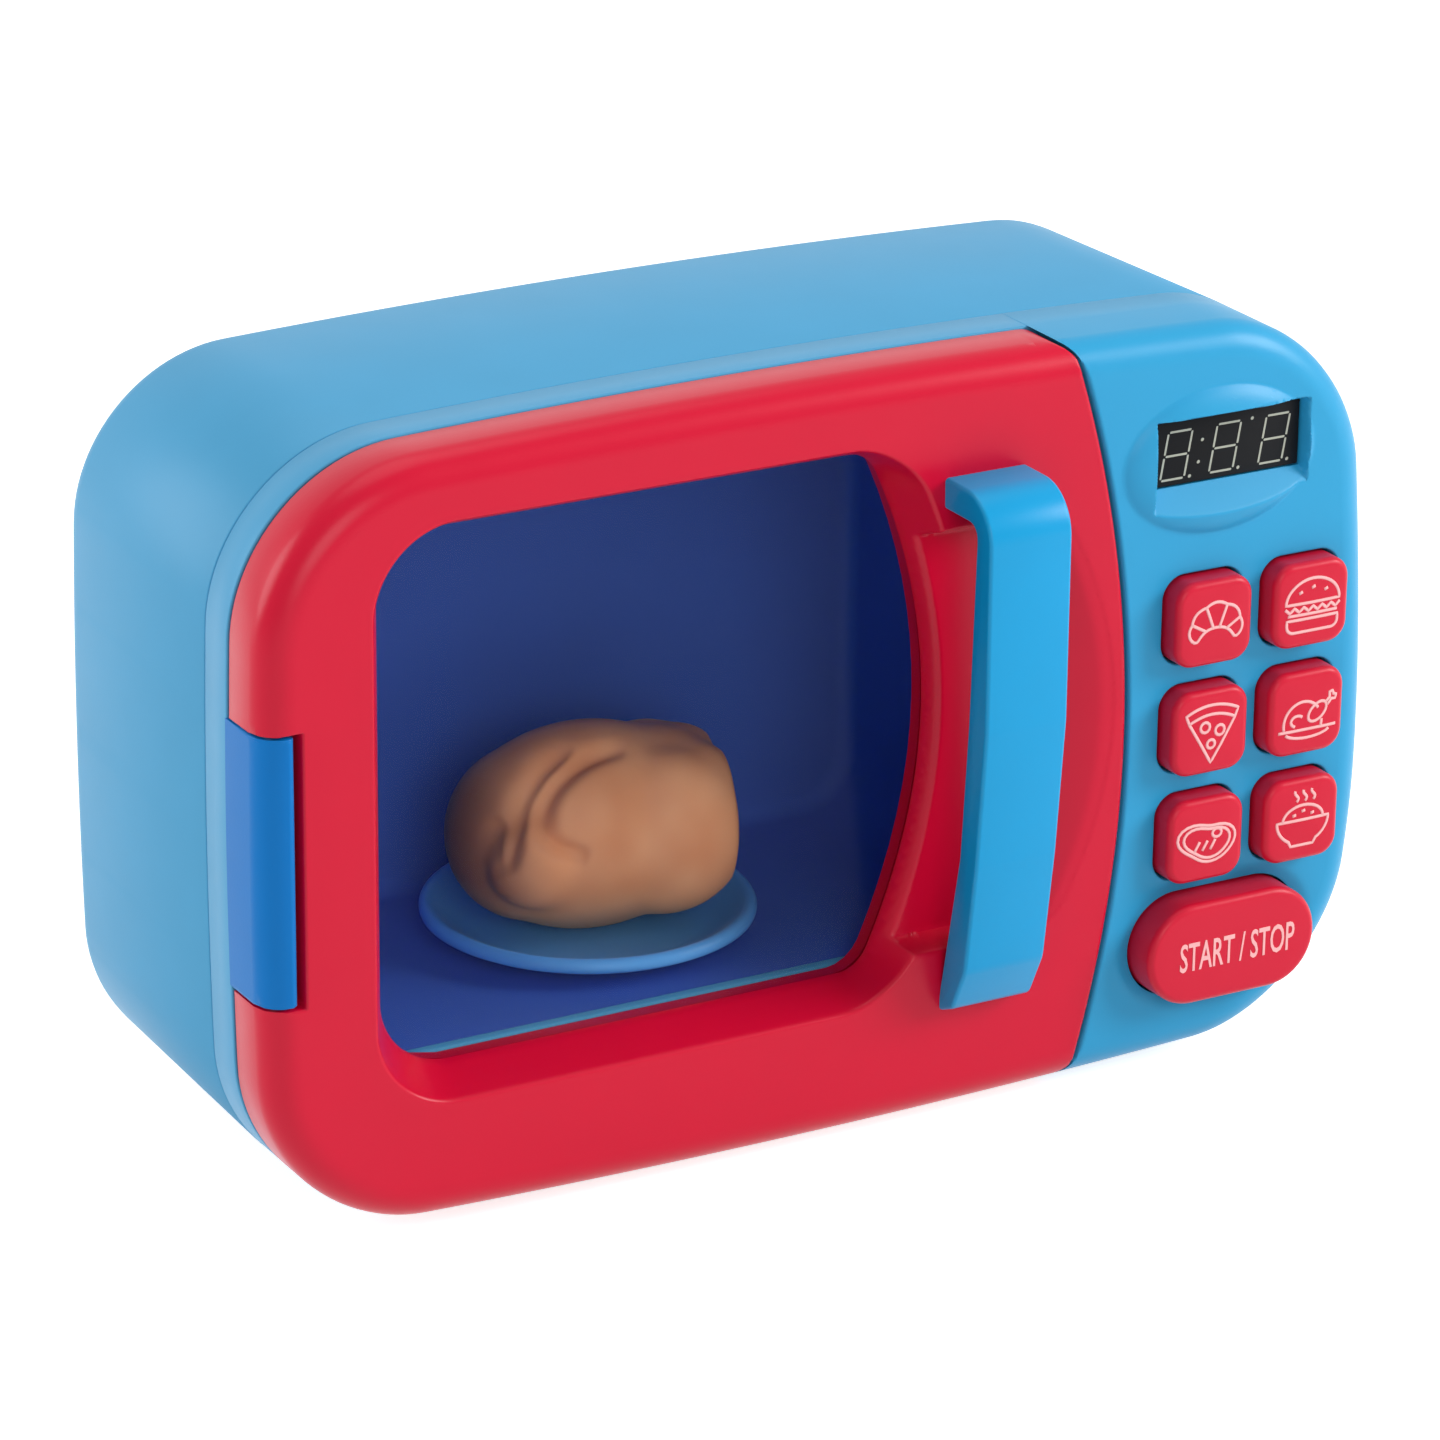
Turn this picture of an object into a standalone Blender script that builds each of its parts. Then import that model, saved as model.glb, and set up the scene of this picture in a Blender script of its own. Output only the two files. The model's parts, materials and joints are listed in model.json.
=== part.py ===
"""Toy microwave oven with a hinged window door, a driven turntable and sprung keys.

Metres, +Z up. The front looks along -Y. X is zero halfway across the case with the swell of its
panel side, Z is zero on the surface that the feet stand on, and Y is zero halfway between the handle's
front and the case's back.
Shapes on the front are drawn in face coordinates: x to the right and z up from the case's centre,
and a depth behind the door's front face.
"""
import math

import bmesh
import bpy
from mathutils import Matrix, Vector

# Clearances and general sizes
GAP = 0.0003
OVERRUN = 0.002
WELD = 0.00001
FLAT_ANGLE = math.radians(35)

# Case
CASE_WIDTH = 0.3048
CASE_HEIGHT = 0.196
CASE_DEPTH = 0.116
CORNER_RADIUS = 0.041
SIDE_BOW = 0.0024
TOP_BOW = 0.004
PANEL_BOW = 0.0045
PANEL_BOW_Z = -0.025
WALL = 0.0025
FRONT_ROUND_IN = 0.0084
FRONT_ROUND_DEEP = 0.0075
BACK_ROUND = 0.008
DRAFT = 0.0018
SPLIT_DEPTH = 0.031
GROUND_CLEARANCE = 0.0025
CORNER_STEPS = 8
TOP_STEPS = 8
SIDE_STEPS = 4
EDGE_STEPS = 3

# Door
DOOR_THICKNESS = 0.0186
DOOR_BACK_GAP = 0.0007
DOOR_SIDE_GAP = 0.0008
DOOR_CHAMFER = 0.001
DOOR_ARC_RADIUS = 0.305
DOOR_ARC_PEAK_X = 0.0834
DOOR_ARC_PEAK_Z = -0.007
DOOR_FILLET = 0.008
DOOR_ARC_STEPS = 14
DOOR_FILLET_STEPS = 4
DOOR_BACK_THICKNESS = 0.0025

# Window in the door: lip on the front face, and the narrower inner edge at the pane
WINDOW_DEPTH = 0.012
WINDOW_RIM = 0.0125
LIP_LEFT = -0.1235
LIP_RIGHT = 0.0183
LIP_BOTTOM = -0.0655
LIP_TOP = 0.08
LIP_BULGE = 0.0192
LIP_CORNERS = (0.022, 0.015)
SIGHT_LEFT = -0.117
SIGHT_RIGHT = 0.0143
SIGHT_BOTTOM = -0.06
SIGHT_TOP = 0.075
SIGHT_BULGE = 0.017
SIGHT_CORNERS = (0.018, 0.005)
PANE_THICKNESS = 0.0015
PANE_OVERLAP = 0.003
BACK_OPENING_STEP = 0.001

# Finger scoop behind the handle
SCOOP_LEFT = -0.02
SCOOP_RIGHT = 0.0625
SCOOP_BOTTOM = -0.054
SCOOP_TOP = 0.056
SCOOP_BULGE = 0.017
SCOOP_CORNERS = (0.003, 0.007)
SCOOP_DEPTH = 0.0075
SCOOP_FLOOR_RIGHT = 0.0259
SCOOP_FLOOR_BULGE = 0.0084
SCOOP_FLOOR_STEP = 0.002
SCOOP_STEPS = 5

# Handle
HANDLE_X = 0.0426
HANDLE_LEAN = -0.002
HANDLE_WIDTH = 0.0231
HANDLE_REACH = 0.021
HANDLE_TOP = 0.0695
HANDLE_BOTTOM = -0.07
HANDLE_CORNER = 0.012
HANDLE_KNEE_Z = -0.026
HANDLE_KNEE_REACH = 0.0163
HANDLE_LOW_Z = -0.0556
HANDLE_LOW_REACH = 0.0116
HANDLE_TOE_Z = -0.0674
HANDLE_TOE_REACH = 0.0057
HANDLE_MID_Z = 0.01
HANDLE_MID_REACH = 0.0202
HANDLE_FOOT = 0.0079
HANDLE_END_FOOT = 0.006
HANDLE_THICKNESS = 0.0066
HANDLE_MID_THICKNESS = 0.0087
HANDLE_KNEE_THICKNESS = 0.0081
HANDLE_EDGE = 0.0017
HANDLE_BOSS_RADIUS = 0.0024
HANDLE_BOSS_INSET = 0.0042
HANDLE_INNER_ROUND = 0.003

# Hinge at the left edge
HINGE_X = -0.148
HINGE_DEPTH = 0.005
HINGE_Z = 0.0005
KNUCKLE_HALF = 0.0335
KNUCKLE_RIGHT = -0.1436
KNUCKLE_ROUND = 0.002
KNUCKLE_END_GAP = 0.0007
NOTCH_RIGHT = -0.1419
HINGE_PIN_RADIUS = 0.00125
HINGE_PIN_TAIL = 0.008

# Cavity
CAVITY_LEFT = -0.128
CAVITY_RIGHT = 0.07
CAVITY_FLOOR = -0.0605
CAVITY_TOP = 0.082
CAVITY_CORNER = 0.016
CAVITY_BACK = 0.1115
LINER_WALL = 0.0016

# Turntable and its drive
TABLE_X = -0.031
TABLE_DEPTH = 0.0682
PLATE_RADIUS = 0.0425
PLATE_HEIGHT = 0.0075
PLATE_THICKNESS = 0.002
PLATE_LIFT = 0.0012
PLATE_WELL_RADIUS = 0.033
SPINDLE_RADIUS = 0.004
JOURNAL_RADIUS = 0.0026
GEAR_MODULE = 0.001
GEAR_TEETH = 36
PINION_TEETH = 12
GEAR_THICKNESS = 0.004
GEAR_DROP = 0.004
TOOTH_TIP = 0.0009
TOOTH_ROOT = 0.00125
TOOTH_TIP_HALF = 0.00028
TOOTH_ROOT_HALF = 0.0009
GEAR_HUB_RADIUS = 0.0075
GEAR_HUB_HEIGHT = 0.002
PINION_SHAFT_RADIUS = 0.0015
PINION_SHAFT_DEPTH = 0.006
BRACKET_FLOOR = 0.002
BRACKET_WALL = 0.002
BRACKET_ROOM = 0.002
MOTOR_RADIUS = 0.0122
MOTOR_HEIGHT = 0.0123
MOTOR_BOSS_RADIUS = 0.003

# Play food
FOOD_X = -0.031
FOOD_DEPTH = 0.065
FOOD_LENGTH = 0.078
FOOD_WIDTH = 0.05
FOOD_HEIGHT = 0.055
FOOD_TURN = math.radians(-12)
LEG_TURN = math.radians(18)
# Each lump of the food: its centre, then its size, as shares of the length, width and height
FOOD_BODY_SHARES = ((-0.03, 0, 0.46), (0.86, 0.9, 0.94))
FOOD_MIDDLE_SHARES = {"breast": ((-0.24, 0, 0.48), (0.5, 0.78, 0.8)),
                      "rump": ((0.22, 0, 0.58), (0.5, 0.7, 0.84)),
                      "neck": ((-0.46, 0, 0.44), (0.14, 0.26, 0.24))}
FOOD_PAIR_SHARES = {"thigh": ((0.14, 0.32, 0.46), (0.5, 0.38, 0.66)),
                    "shank": ((0.34, 0.22, 0.6), (0.32, 0.26, 0.4)),
                    "ankle": ((0.46, 0.17, 0.68), (0.12, 0.19, 0.24)),
                    "wing": ((-0.2, 0.42, 0.46), (0.36, 0.2, 0.3))}
FOOD_TURN_SHARES = {"thigh": 1, "shank": -1, "ankle": 0, "wing": -1}

# Control panel
KEY_SIZE = 0.0224
KEY_CORNER = 0.0055
KEY_PITCH_X = 0.0288
KEY_PITCH_Z = 0.0289
KEYS_X = 0.1192
KEYS_Z = -0.0074
KEY_PROUD = 0.006
KEY_EDGE = 0.0018
KEY_CLEARANCE = 0.0006
KEY_WELL = 0.0062
KEY_TAB = 0.0015
KEY_TAB_WIDTH = 0.014
KEY_NAMES = ("croissant_key", "burger_key", "pizza_key", "roast_key", "steak_key", "rice_bowl_key")
START_X = 0.1125
START_Z = -0.066
START_LENGTH = 0.05
START_HEIGHT = 0.027
START_PROUD = 0.0085
START_RING_DEPTH = 0.0012
START_RING_WIDTH = 0.0035
START_TAB_WIDTH = 0.022
KEY_TRAVEL = 0.002
MAT_THICKNESS = 0.0012
DOME_HEIGHT = 0.0016
DOME_RADIUS = 0.0045
DOME_TAPER_SHARE = 0.7
BOARD_THICKNESS = 0.0016
BOARD_LEFT = 0.0895
BOARD_RIGHT = 0.14
BOARD_TOP = 0.0725
BOARD_BOTTOM = -0.0715
BOARD_POST_RADIUS = 0.0028
PILLOW_X = 0.108
PILLOW_Z = 0.062
PILLOW_WIDTH = 0.059
PILLOW_HEIGHT = 0.0398
PILLOW_RISE = 0.0038
PILLOW_SINK = 0.0022
DISPLAY_X = 0.1119
DISPLAY_Z = 0.0646
DISPLAY_WIDTH = 0.0427
DISPLAY_HEIGHT = 0.017
DISPLAY_FACE = 0.0028
MOUTH_MARGIN = 0.0004
MOUTH_SIDE_DRAFT = 0.0022
MOUTH_SILL_DRAFT = 0.0085

# Fasteners
CASE_SCREW_SHARES = ((-0.623, 0.906), (0.144, 0.913), (0.873, 0.786),
                     (-0.735, -0.816), (0.079, -0.903), (0.577, -0.883))
CASE_POST_RADIUS = 0.0036
CASE_POST_END = 0.045
CASE_POST_START = 0.0015
CASE_SCREW_RADIUS = 0.0013
CASE_SCREW_HEAD_RADIUS = 0.0024
CASE_SCREW_HEAD_HEIGHT = 0.0018
CASE_SCREW_LENGTH = 0.012
CASE_SCREW_SEAT = 0.0025
SMALL_SCREW_RADIUS = 0.001
SMALL_SCREW_HEAD_RADIUS = 0.0028
SMALL_SCREW_HEAD_HEIGHT = 0.0014
BOARD_SCREW_LENGTH = 0.006
HANDLE_SCREW_LENGTH = 0.01
HANDLE_SHORT_SCREW = 0.0026
HEAD_TAPER_SHARE = 0.8
FORWARD = Vector((0, -1, 0))

# Battery box, in the back
BATTERY_X = 0.109
BATTERY_Z = 0.022
BATTERY_RADIUS = 0.0072
BATTERY_LENGTH = 0.0505
BATTERY_PITCH = 0.0152
BATTERY_TIP_RADIUS = 0.0026
BATTERY_TIP_HEIGHT = 0.001
BATTERY_COUNT = 3
BATTERY_SIDE_ROOM = 0.0006
CONTACT_THICKNESS = 0.0004
CONTACT_WIDTH = 0.011
TRAY_WALL = 0.0018
COVER_THICKNESS = 0.0022
COVER_LEDGE = 0.002
COVER_SCREW_TAB = 0.009
COVER_SCREW_LENGTH = 0.007
COVER_BOSS_DEPTH = 0.009

# Speaker, magnet catch, lamp and feet
SPEAKER_X = 0.109
SPEAKER_Z = -0.05
SPEAKER_RADIUS = 0.018
SPEAKER_RIM = 0.002
SPEAKER_CONE_DEPTH = 0.0035
SPEAKER_MAGNET_RADIUS = 0.009
SPEAKER_MAGNET_DEPTH = 0.004
SPEAKER_FENCE = 0.0015
SPEAKER_FENCE_HEIGHT = 0.004
GRILLE_SLOT_WIDTH = 0.0022
GRILLE_SLOT_PITCH = 0.0052
GRILLE_SLOTS = 5
MAGNET_X = 0.0775
MAGNET_WIDTH = 0.006
MAGNET_HEIGHT = 0.02
MAGNET_DEPTH = 0.003
KEEPER_X = 0.0755
KEEPER_WIDTH = 0.005
KEEPER_HEIGHT = 0.022
KEEPER_THICKNESS = 0.001
LAMP_X = -0.03
LAMP_DEPTH = 0.05
LAMP_RADIUS = 0.005
LAMP_FLANGE_RADIUS = 0.0075
LAMP_FLANGE_HEIGHT = 0.002
LAMP_DOME = 0.003
FOOT_RADIUS = 0.007
FOOT_PLUG_RADIUS = 0.0025
FOOT_PLUG_LENGTH = 0.004
FOOT_X = 0.1
FRONT_FOOT_DEPTH = 0.0265
REAR_FOOT_DEPTH = 0.1
FOOT_RIM = 0.001

# Rounding counts
ROUND_STEPS = 16
SMALL_STEPS = 10
CORNER_POINTS = 4

FRONT_Y = (HANDLE_REACH - CASE_DEPTH) / 2
CENTRE_Z = GROUND_CLEARANCE + CASE_HEIGHT / 2
HALF_FLAT_WIDTH = CASE_WIDTH / 2 - SIDE_BOW
HALF_FLAT_HEIGHT = CASE_HEIGHT / 2 - TOP_BOW
HOUSING_FACE = DOOR_THICKNESS + DOOR_BACK_GAP
SHEET_BACK = WALL + KEY_TRAVEL + GAP + KEY_TAB + GAP + DOME_HEIGHT + MAT_THICKNESS
BOARD_FACE = SHEET_BACK + GAP

BLUE = ("blue_plastic", (0.07, 0.36, 0.68), 0.34, 0.0)
RED = ("red_plastic", (0.62, 0.01, 0.045), 0.3, 0.0)
LINER_BLUE = ("liner_plastic", (0.02, 0.07, 0.36), 0.4, 0.0)
CLEAR = ("clear_plastic", (0.8, 0.86, 0.95), 0.08, 0.0)
STEEL = ("steel", (0.6, 0.6, 0.62), 0.32, 1.0)
WHITE = ("white_plastic", (0.75, 0.75, 0.72), 0.45, 0.0)
BLACK = ("black_plastic", (0.015, 0.015, 0.018), 0.35, 0.0)
GREY_RUBBER = ("grey_rubber", (0.3, 0.3, 0.32), 0.8, 0.0)
GREEN = ("board_green", (0.02, 0.22, 0.07), 0.5, 0.0)
FOOD = ("food_plastic", (0.42, 0.18, 0.06), 0.5, 0.0)
CELL = ("cell_wrap", (0.1, 0.12, 0.16), 0.35, 0.2)
LENS = ("lamp_lens", (0.9, 0.86, 0.7), 0.2, 0.0)


def clear_scene():
    """Remove whatever the file holds."""
    for thing in list(bpy.data.objects):
        bpy.data.objects.remove(thing, do_unlink=True)


def collection(name):
    """Return a collection of this name, linked to the scene."""
    group = bpy.data.collections.new(name)
    bpy.context.scene.collection.children.link(group)
    return group


clear_scene()
PIECES = collection("toy_microwave")
CUTTERS = collection("cutters")
MATERIALS = {}


def material(spec):
    """Return the Principled material of a (name, colour, roughness, metallic) tuple."""
    name, colour, roughness, metallic = spec
    if name not in MATERIALS:
        made = bpy.data.materials.new(name)
        made.use_nodes = True
        shader = made.node_tree.nodes["Principled BSDF"]
        shader.inputs["Base Color"].default_value = (*colour, 1.0)
        shader.inputs["Roughness"].default_value = roughness
        shader.inputs["Metallic"].default_value = metallic
        made.diffuse_color = (*colour, 1.0)
        MATERIALS[name] = made
    return MATERIALS[name]


def at(x, depth, z):
    """World place of a point in face coordinates."""
    return Vector((CENTRE_X + x, FRONT_Y + depth, CENTRE_Z + z))


def new_object(name, mesh):
    """Link a mesh as a guide until it is finished as a piece."""
    thing = bpy.data.objects.new(name, mesh)
    CUTTERS.objects.link(thing)
    thing.hide_render = True
    thing.display_type = "WIRE"
    return thing


def from_bmesh(name, bm):
    """Turn a bmesh into an object whose faces point out."""
    bmesh.ops.recalc_face_normals(bm, faces=bm.faces)
    mesh = bpy.data.meshes.new(name)
    bm.to_mesh(mesh)
    bm.free()
    return new_object(name, mesh)


def loft(name, rings):
    """Skin over rings of equal counts, closed by a face at each end."""
    bm = bmesh.new()
    loops = [[bm.verts.new(point) for point in ring] for ring in rings]
    for near, far in zip(loops, loops[1:]):
        for index, vert in enumerate(near):
            after = (index + 1) % len(near)
            bm.faces.new((vert, near[after], far[after], far[index]))
    bm.faces.new(loops[0])
    bm.faces.new(loops[-1])
    return from_bmesh(name, bm)


def extrude(name, outline, low, high, turn=Matrix.Identity(4)):
    """A filled flat outline, extruded from low to high along its normal, as a welded mesh."""
    curve = bpy.data.curves.new(name, "CURVE")
    curve.dimensions = "2D"
    curve.fill_mode = "BOTH"
    curve.extrude = (high - low) / 2
    spline = curve.splines.new("POLY")
    spline.points.add(len(outline) - 1)
    for point, (u, v) in zip(spline.points, outline):
        point.co = (u, v, 0, 1)
    spline.use_cyclic_u = True
    drawn = bpy.data.objects.new(name + "_outline", curve)
    CUTTERS.objects.link(drawn)
    bpy.context.view_layer.update()
    graph = bpy.context.evaluated_depsgraph_get()
    mesh = bpy.data.meshes.new_from_object(drawn.evaluated_get(graph))
    bpy.data.objects.remove(drawn, do_unlink=True)
    bm = bmesh.new()
    bm.from_mesh(mesh)
    bpy.data.meshes.remove(mesh)
    bmesh.ops.remove_doubles(bm, verts=bm.verts, dist=WELD)
    for side in (1, -1):
        cap = [face for face in bm.faces if face.normal.z * side > 0.9]
        bmesh.ops.dissolve_faces(bm, faces=cap)
    middle = Matrix.Translation(Vector((0, 0, (low + high) / 2)))
    bmesh.ops.transform(bm, matrix=turn @ middle, verts=bm.verts)
    return from_bmesh(name, bm)


def extrude_front(name, outline, near, far):
    """Extrude an (x, z) outline in face coordinates between two depths."""
    turn = Matrix.Translation(at(0, 0, 0)) @ Matrix.Rotation(math.radians(90), 4, "X")
    return extrude(name, outline, -far, -near, turn)


def extrude_up(name, outline, low, high):
    """Extrude an (x, depth) outline between two heights."""
    return extrude(name, outline, low, high, Matrix.Translation(at(0, 0, 0)))


def extrude_across(name, outline, left, right):
    """Extrude a (depth, z) outline between two places along X."""
    turn = Matrix.Translation(at(0, 0, 0)) @ Matrix(((0, 0, 1, 0), (1, 0, 0, 0), (0, 1, 0, 0), (0, 0, 0, 1)))
    return extrude(name, outline, left, right, turn)


def box(name, x_range, depth_range, z_range):
    """A cube stretched over three ranges in face coordinates."""
    low = at(x_range[0], depth_range[0], z_range[0])
    high = at(x_range[1], depth_range[1], z_range[1])
    bm = bmesh.new()
    bmesh.ops.create_cube(bm, size=1.0)
    size = high - low
    bmesh.ops.scale(bm, vec=size, verts=bm.verts)
    bmesh.ops.translate(bm, vec=(low + high) / 2, verts=bm.verts)
    return from_bmesh(name, bm)


def rod(name, start, end, radius, end_radius=None, steps=ROUND_STEPS):
    """A closed cylinder or cone between two world places."""
    along = end - start
    bm = bmesh.new()
    bmesh.ops.create_cone(bm, cap_ends=True, segments=steps, radius1=radius,
                          radius2=radius if end_radius is None else end_radius, depth=along.length)
    turn = along.to_track_quat("Z", "Y").to_matrix().to_4x4()
    place = Matrix.Translation((start + end) / 2) @ turn
    bmesh.ops.transform(bm, matrix=place, verts=bm.verts)
    return from_bmesh(name, bm)


def turned(name, profile, centre, steps=ROUND_STEPS, tip_to_y=False):
    """A profile of (radius, height) points, top to bottom, turned about its axis by a Screw modifier."""
    bm = bmesh.new()
    verts = [bm.verts.new((radius, 0, height)) for radius, height in profile]
    for first, second in zip(verts, verts[1:]):
        bm.edges.new((first, second))
    mesh = bpy.data.meshes.new(name)
    bm.to_mesh(mesh)
    bm.free()
    thing = new_object(name, mesh)
    screw = thing.modifiers.new("turn", "SCREW")
    screw.steps = screw.render_steps = steps
    screw.use_merge_vertices = True
    screw.merge_threshold = WELD
    thing.location = centre
    if tip_to_y:
        thing.rotation_euler.x = math.radians(90)
    return thing


def sphere(name, centre, radii, turn=0.0, steps=ROUND_STEPS):
    """A UV sphere stretched to three half sizes and turned about Z."""
    bm = bmesh.new()
    bmesh.ops.create_uvsphere(bm, u_segments=steps, v_segments=steps // 2, radius=1.0)
    place = Matrix.Translation(centre) @ Matrix.Rotation(turn, 4, "Z")
    bmesh.ops.scale(bm, vec=radii, verts=bm.verts)
    bmesh.ops.transform(bm, matrix=place, verts=bm.verts)
    return from_bmesh(name, bm)


def combine(target, operation, tools):
    """Add one live Boolean, with a single tool or with a collection of them."""
    step = target.modifiers.new(operation.lower(), "BOOLEAN")
    step.operation = operation
    step.solver = "EXACT"
    if len(tools) == 1:
        step.object = tools[0]
    else:
        group = bpy.data.collections.new(target.name + "_" + operation.lower())
        CUTTERS.children.link(group)
        for tool in tools:
            group.objects.link(tool)
            CUTTERS.objects.unlink(tool)
        step.operand_type = "COLLECTION"
        step.collection = group
    return target


def cut(target, *tools):
    """Take the tools away from the target."""
    return combine(target, "DIFFERENCE", tools)


def join(target, *tools):
    """Add the tools to the target."""
    return combine(target, "UNION", tools)


def common(target, *tools):
    """Keep what the target shares with each tool."""
    return combine(target, "INTERSECT", tools)


def round_front(thing, width, segments=2):
    """Bevel the edges of the face that looks to the front."""
    bm = bmesh.new()
    bm.from_mesh(thing.data)
    nearest = min(vert.co.y for vert in bm.verts)
    edges = [edge for edge in bm.edges if all(abs(vert.co.y - nearest) < WELD for vert in edge.verts)]
    bmesh.ops.bevel(bm, geom=edges, offset=width, segments=segments, profile=0.5, affect="EDGES",
                    clamp_overlap=True, material=-1)
    bmesh.ops.remove_doubles(bm, verts=bm.verts, dist=WELD)
    bm.to_mesh(thing.data)
    bm.free()
    return thing


def round_sides(thing, width, segments=2):
    """Bevel the edges round the left and right faces, except where the piece sits on its seat."""
    bm = bmesh.new()
    bm.from_mesh(thing.data)
    left = min(vert.co.x for vert in bm.verts)
    right = max(vert.co.x for vert in bm.verts)
    seat = max(vert.co.y for vert in bm.verts)
    edges = [edge for edge in bm.edges for side in (left, right)
             if all(abs(vert.co.x - side) < WELD for vert in edge.verts)
             and any(abs(vert.co.y - seat) > WELD for vert in edge.verts)]
    bmesh.ops.bevel(bm, geom=edges, offset=width, segments=segments, profile=0.5, affect="EDGES",
                    clamp_overlap=True, material=-1)
    bmesh.ops.remove_doubles(bm, verts=bm.verts, dist=WELD)
    bm.to_mesh(thing.data)
    bm.free()
    return thing


def piece(thing, name, finish, origin=None, parent=None):
    """Turn a guide into a named piece with its material, origin and parent."""
    thing.name = name
    thing.data.name = name
    thing.hide_render = False
    thing.display_type = "TEXTURED"
    CUTTERS.objects.unlink(thing)
    PIECES.objects.link(thing)
    thing.data.materials.clear()
    thing.data.materials.append(material(finish))
    thing.data.shade_smooth()
    thing.data.set_sharp_from_angle(angle=FLAT_ANGLE)
    if origin is not None:
        shift = origin - thing.location
        thing.data.transform(Matrix.Translation(-shift))
        thing.location = origin
    if parent is not None:
        thing.parent = parent
        thing.matrix_parent_inverse = Matrix.Translation(-parent.location)
    return thing


def pivot(name, place):
    """An empty on a joint's axis, which carries the pieces that move with it."""
    empty = bpy.data.objects.new(name, None)
    empty.location = place
    PIECES.objects.link(empty)
    return empty


def rounded_rect(x, z, width, height, radius, points=CORNER_POINTS):
    """Outline of a rectangle with round corners."""
    corners = ((1, 1, 0), (-1, 1, 90), (-1, -1, 180), (1, -1, 270))
    outline = []
    for side_x, side_z, start in corners:
        for step in range(points + 1):
            angle = math.radians(start + 90 * step / points)
            outline.append((x + side_x * (width / 2 - radius) + radius * math.cos(angle),
                            z + side_z * (height / 2 - radius) + radius * math.sin(angle)))
    return outline


def between(first, second, steps):
    """Points strictly between two places."""
    return [(first[0] + (second[0] - first[0]) * step / steps,
             first[1] + (second[1] - first[1]) * step / steps)
            for step in range(1, steps)]


def case_outline(inset):
    """The case's bowed outline in face coordinates, moved in by an inset."""
    half_width = HALF_FLAT_WIDTH - inset
    half_height = HALF_FLAT_HEIGHT - inset
    radius = CORNER_RADIUS - inset
    corners = rounded_rect(0, 0, 2 * half_width, 2 * half_height, radius, CORNER_STEPS)
    outline = []
    per_corner = CORNER_STEPS + 1
    for corner in range(4):
        run = corners[corner * per_corner:(corner + 1) * per_corner]
        following = corners[((corner + 1) * per_corner) % len(corners)]
        steps = TOP_STEPS if corner % 2 == 0 else SIDE_STEPS
        outline += run + between(run[-1], following, steps)
    return [(x + SIDE_BOW * (1 - (z / half_height) ** 2) * x / half_width + panel_bow(x / half_width, z,
                                                                                      half_height),
             z + TOP_BOW * (1 - (x / half_width) ** 2) * z / half_height) for x, z in outline]


def panel_bow(across, z, half_height):
    """How far the control panel's side swells beyond the case's bow, most of all below its middle."""
    reach = half_height + (PANEL_BOW_Z if z < PANEL_BOW_Z else -PANEL_BOW_Z)
    lobe = 1 - ((z - PANEL_BOW_Z) / reach) ** 2
    return PANEL_BOW * lobe ** 2 * max(0.0, across) ** 2


CASE_REACHES = [x for x, _ in case_outline(0)]
CENTRE_X = -(max(CASE_REACHES) + min(CASE_REACHES)) / 2


def case_top(x):
    """Height of the case's top surface above its centre."""
    return HALF_FLAT_HEIGHT + TOP_BOW * (1 - (x / HALF_FLAT_WIDTH) ** 2)


def case_ring(inset, depth):
    """One section of the case."""
    return [at(x, depth, z) for x, z in case_outline(inset)]


def front_rings(inset, depth):
    """Sections of the rounded front edge, from its face to where the sides run straight."""
    rings = []
    for step in range(EDGE_STEPS + 1):
        angle = math.radians(90 * step / EDGE_STEPS)
        rings.append(case_ring(inset + FRONT_ROUND_IN * (1 - math.sin(angle)),
                               depth + FRONT_ROUND_DEEP * (1 - math.cos(angle))))
    return rings


def back_rings(inset, depth, radius):
    """Sections of the rounded back edge."""
    rings = []
    for step in range(EDGE_STEPS + 1):
        angle = math.radians(90 * step / EDGE_STEPS)
        rings.append(case_ring(inset + radius * (1 - math.cos(angle)),
                               depth - radius * (1 - math.sin(angle))))
    return rings


def arc_x(z, grow=0.0):
    """Place of the door's curved right edge at a height."""
    centre = DOOR_ARC_PEAK_X - DOOR_ARC_RADIUS
    return centre + math.sqrt((DOOR_ARC_RADIUS + grow) ** 2 - (z - DOOR_ARC_PEAK_Z) ** 2)


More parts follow.
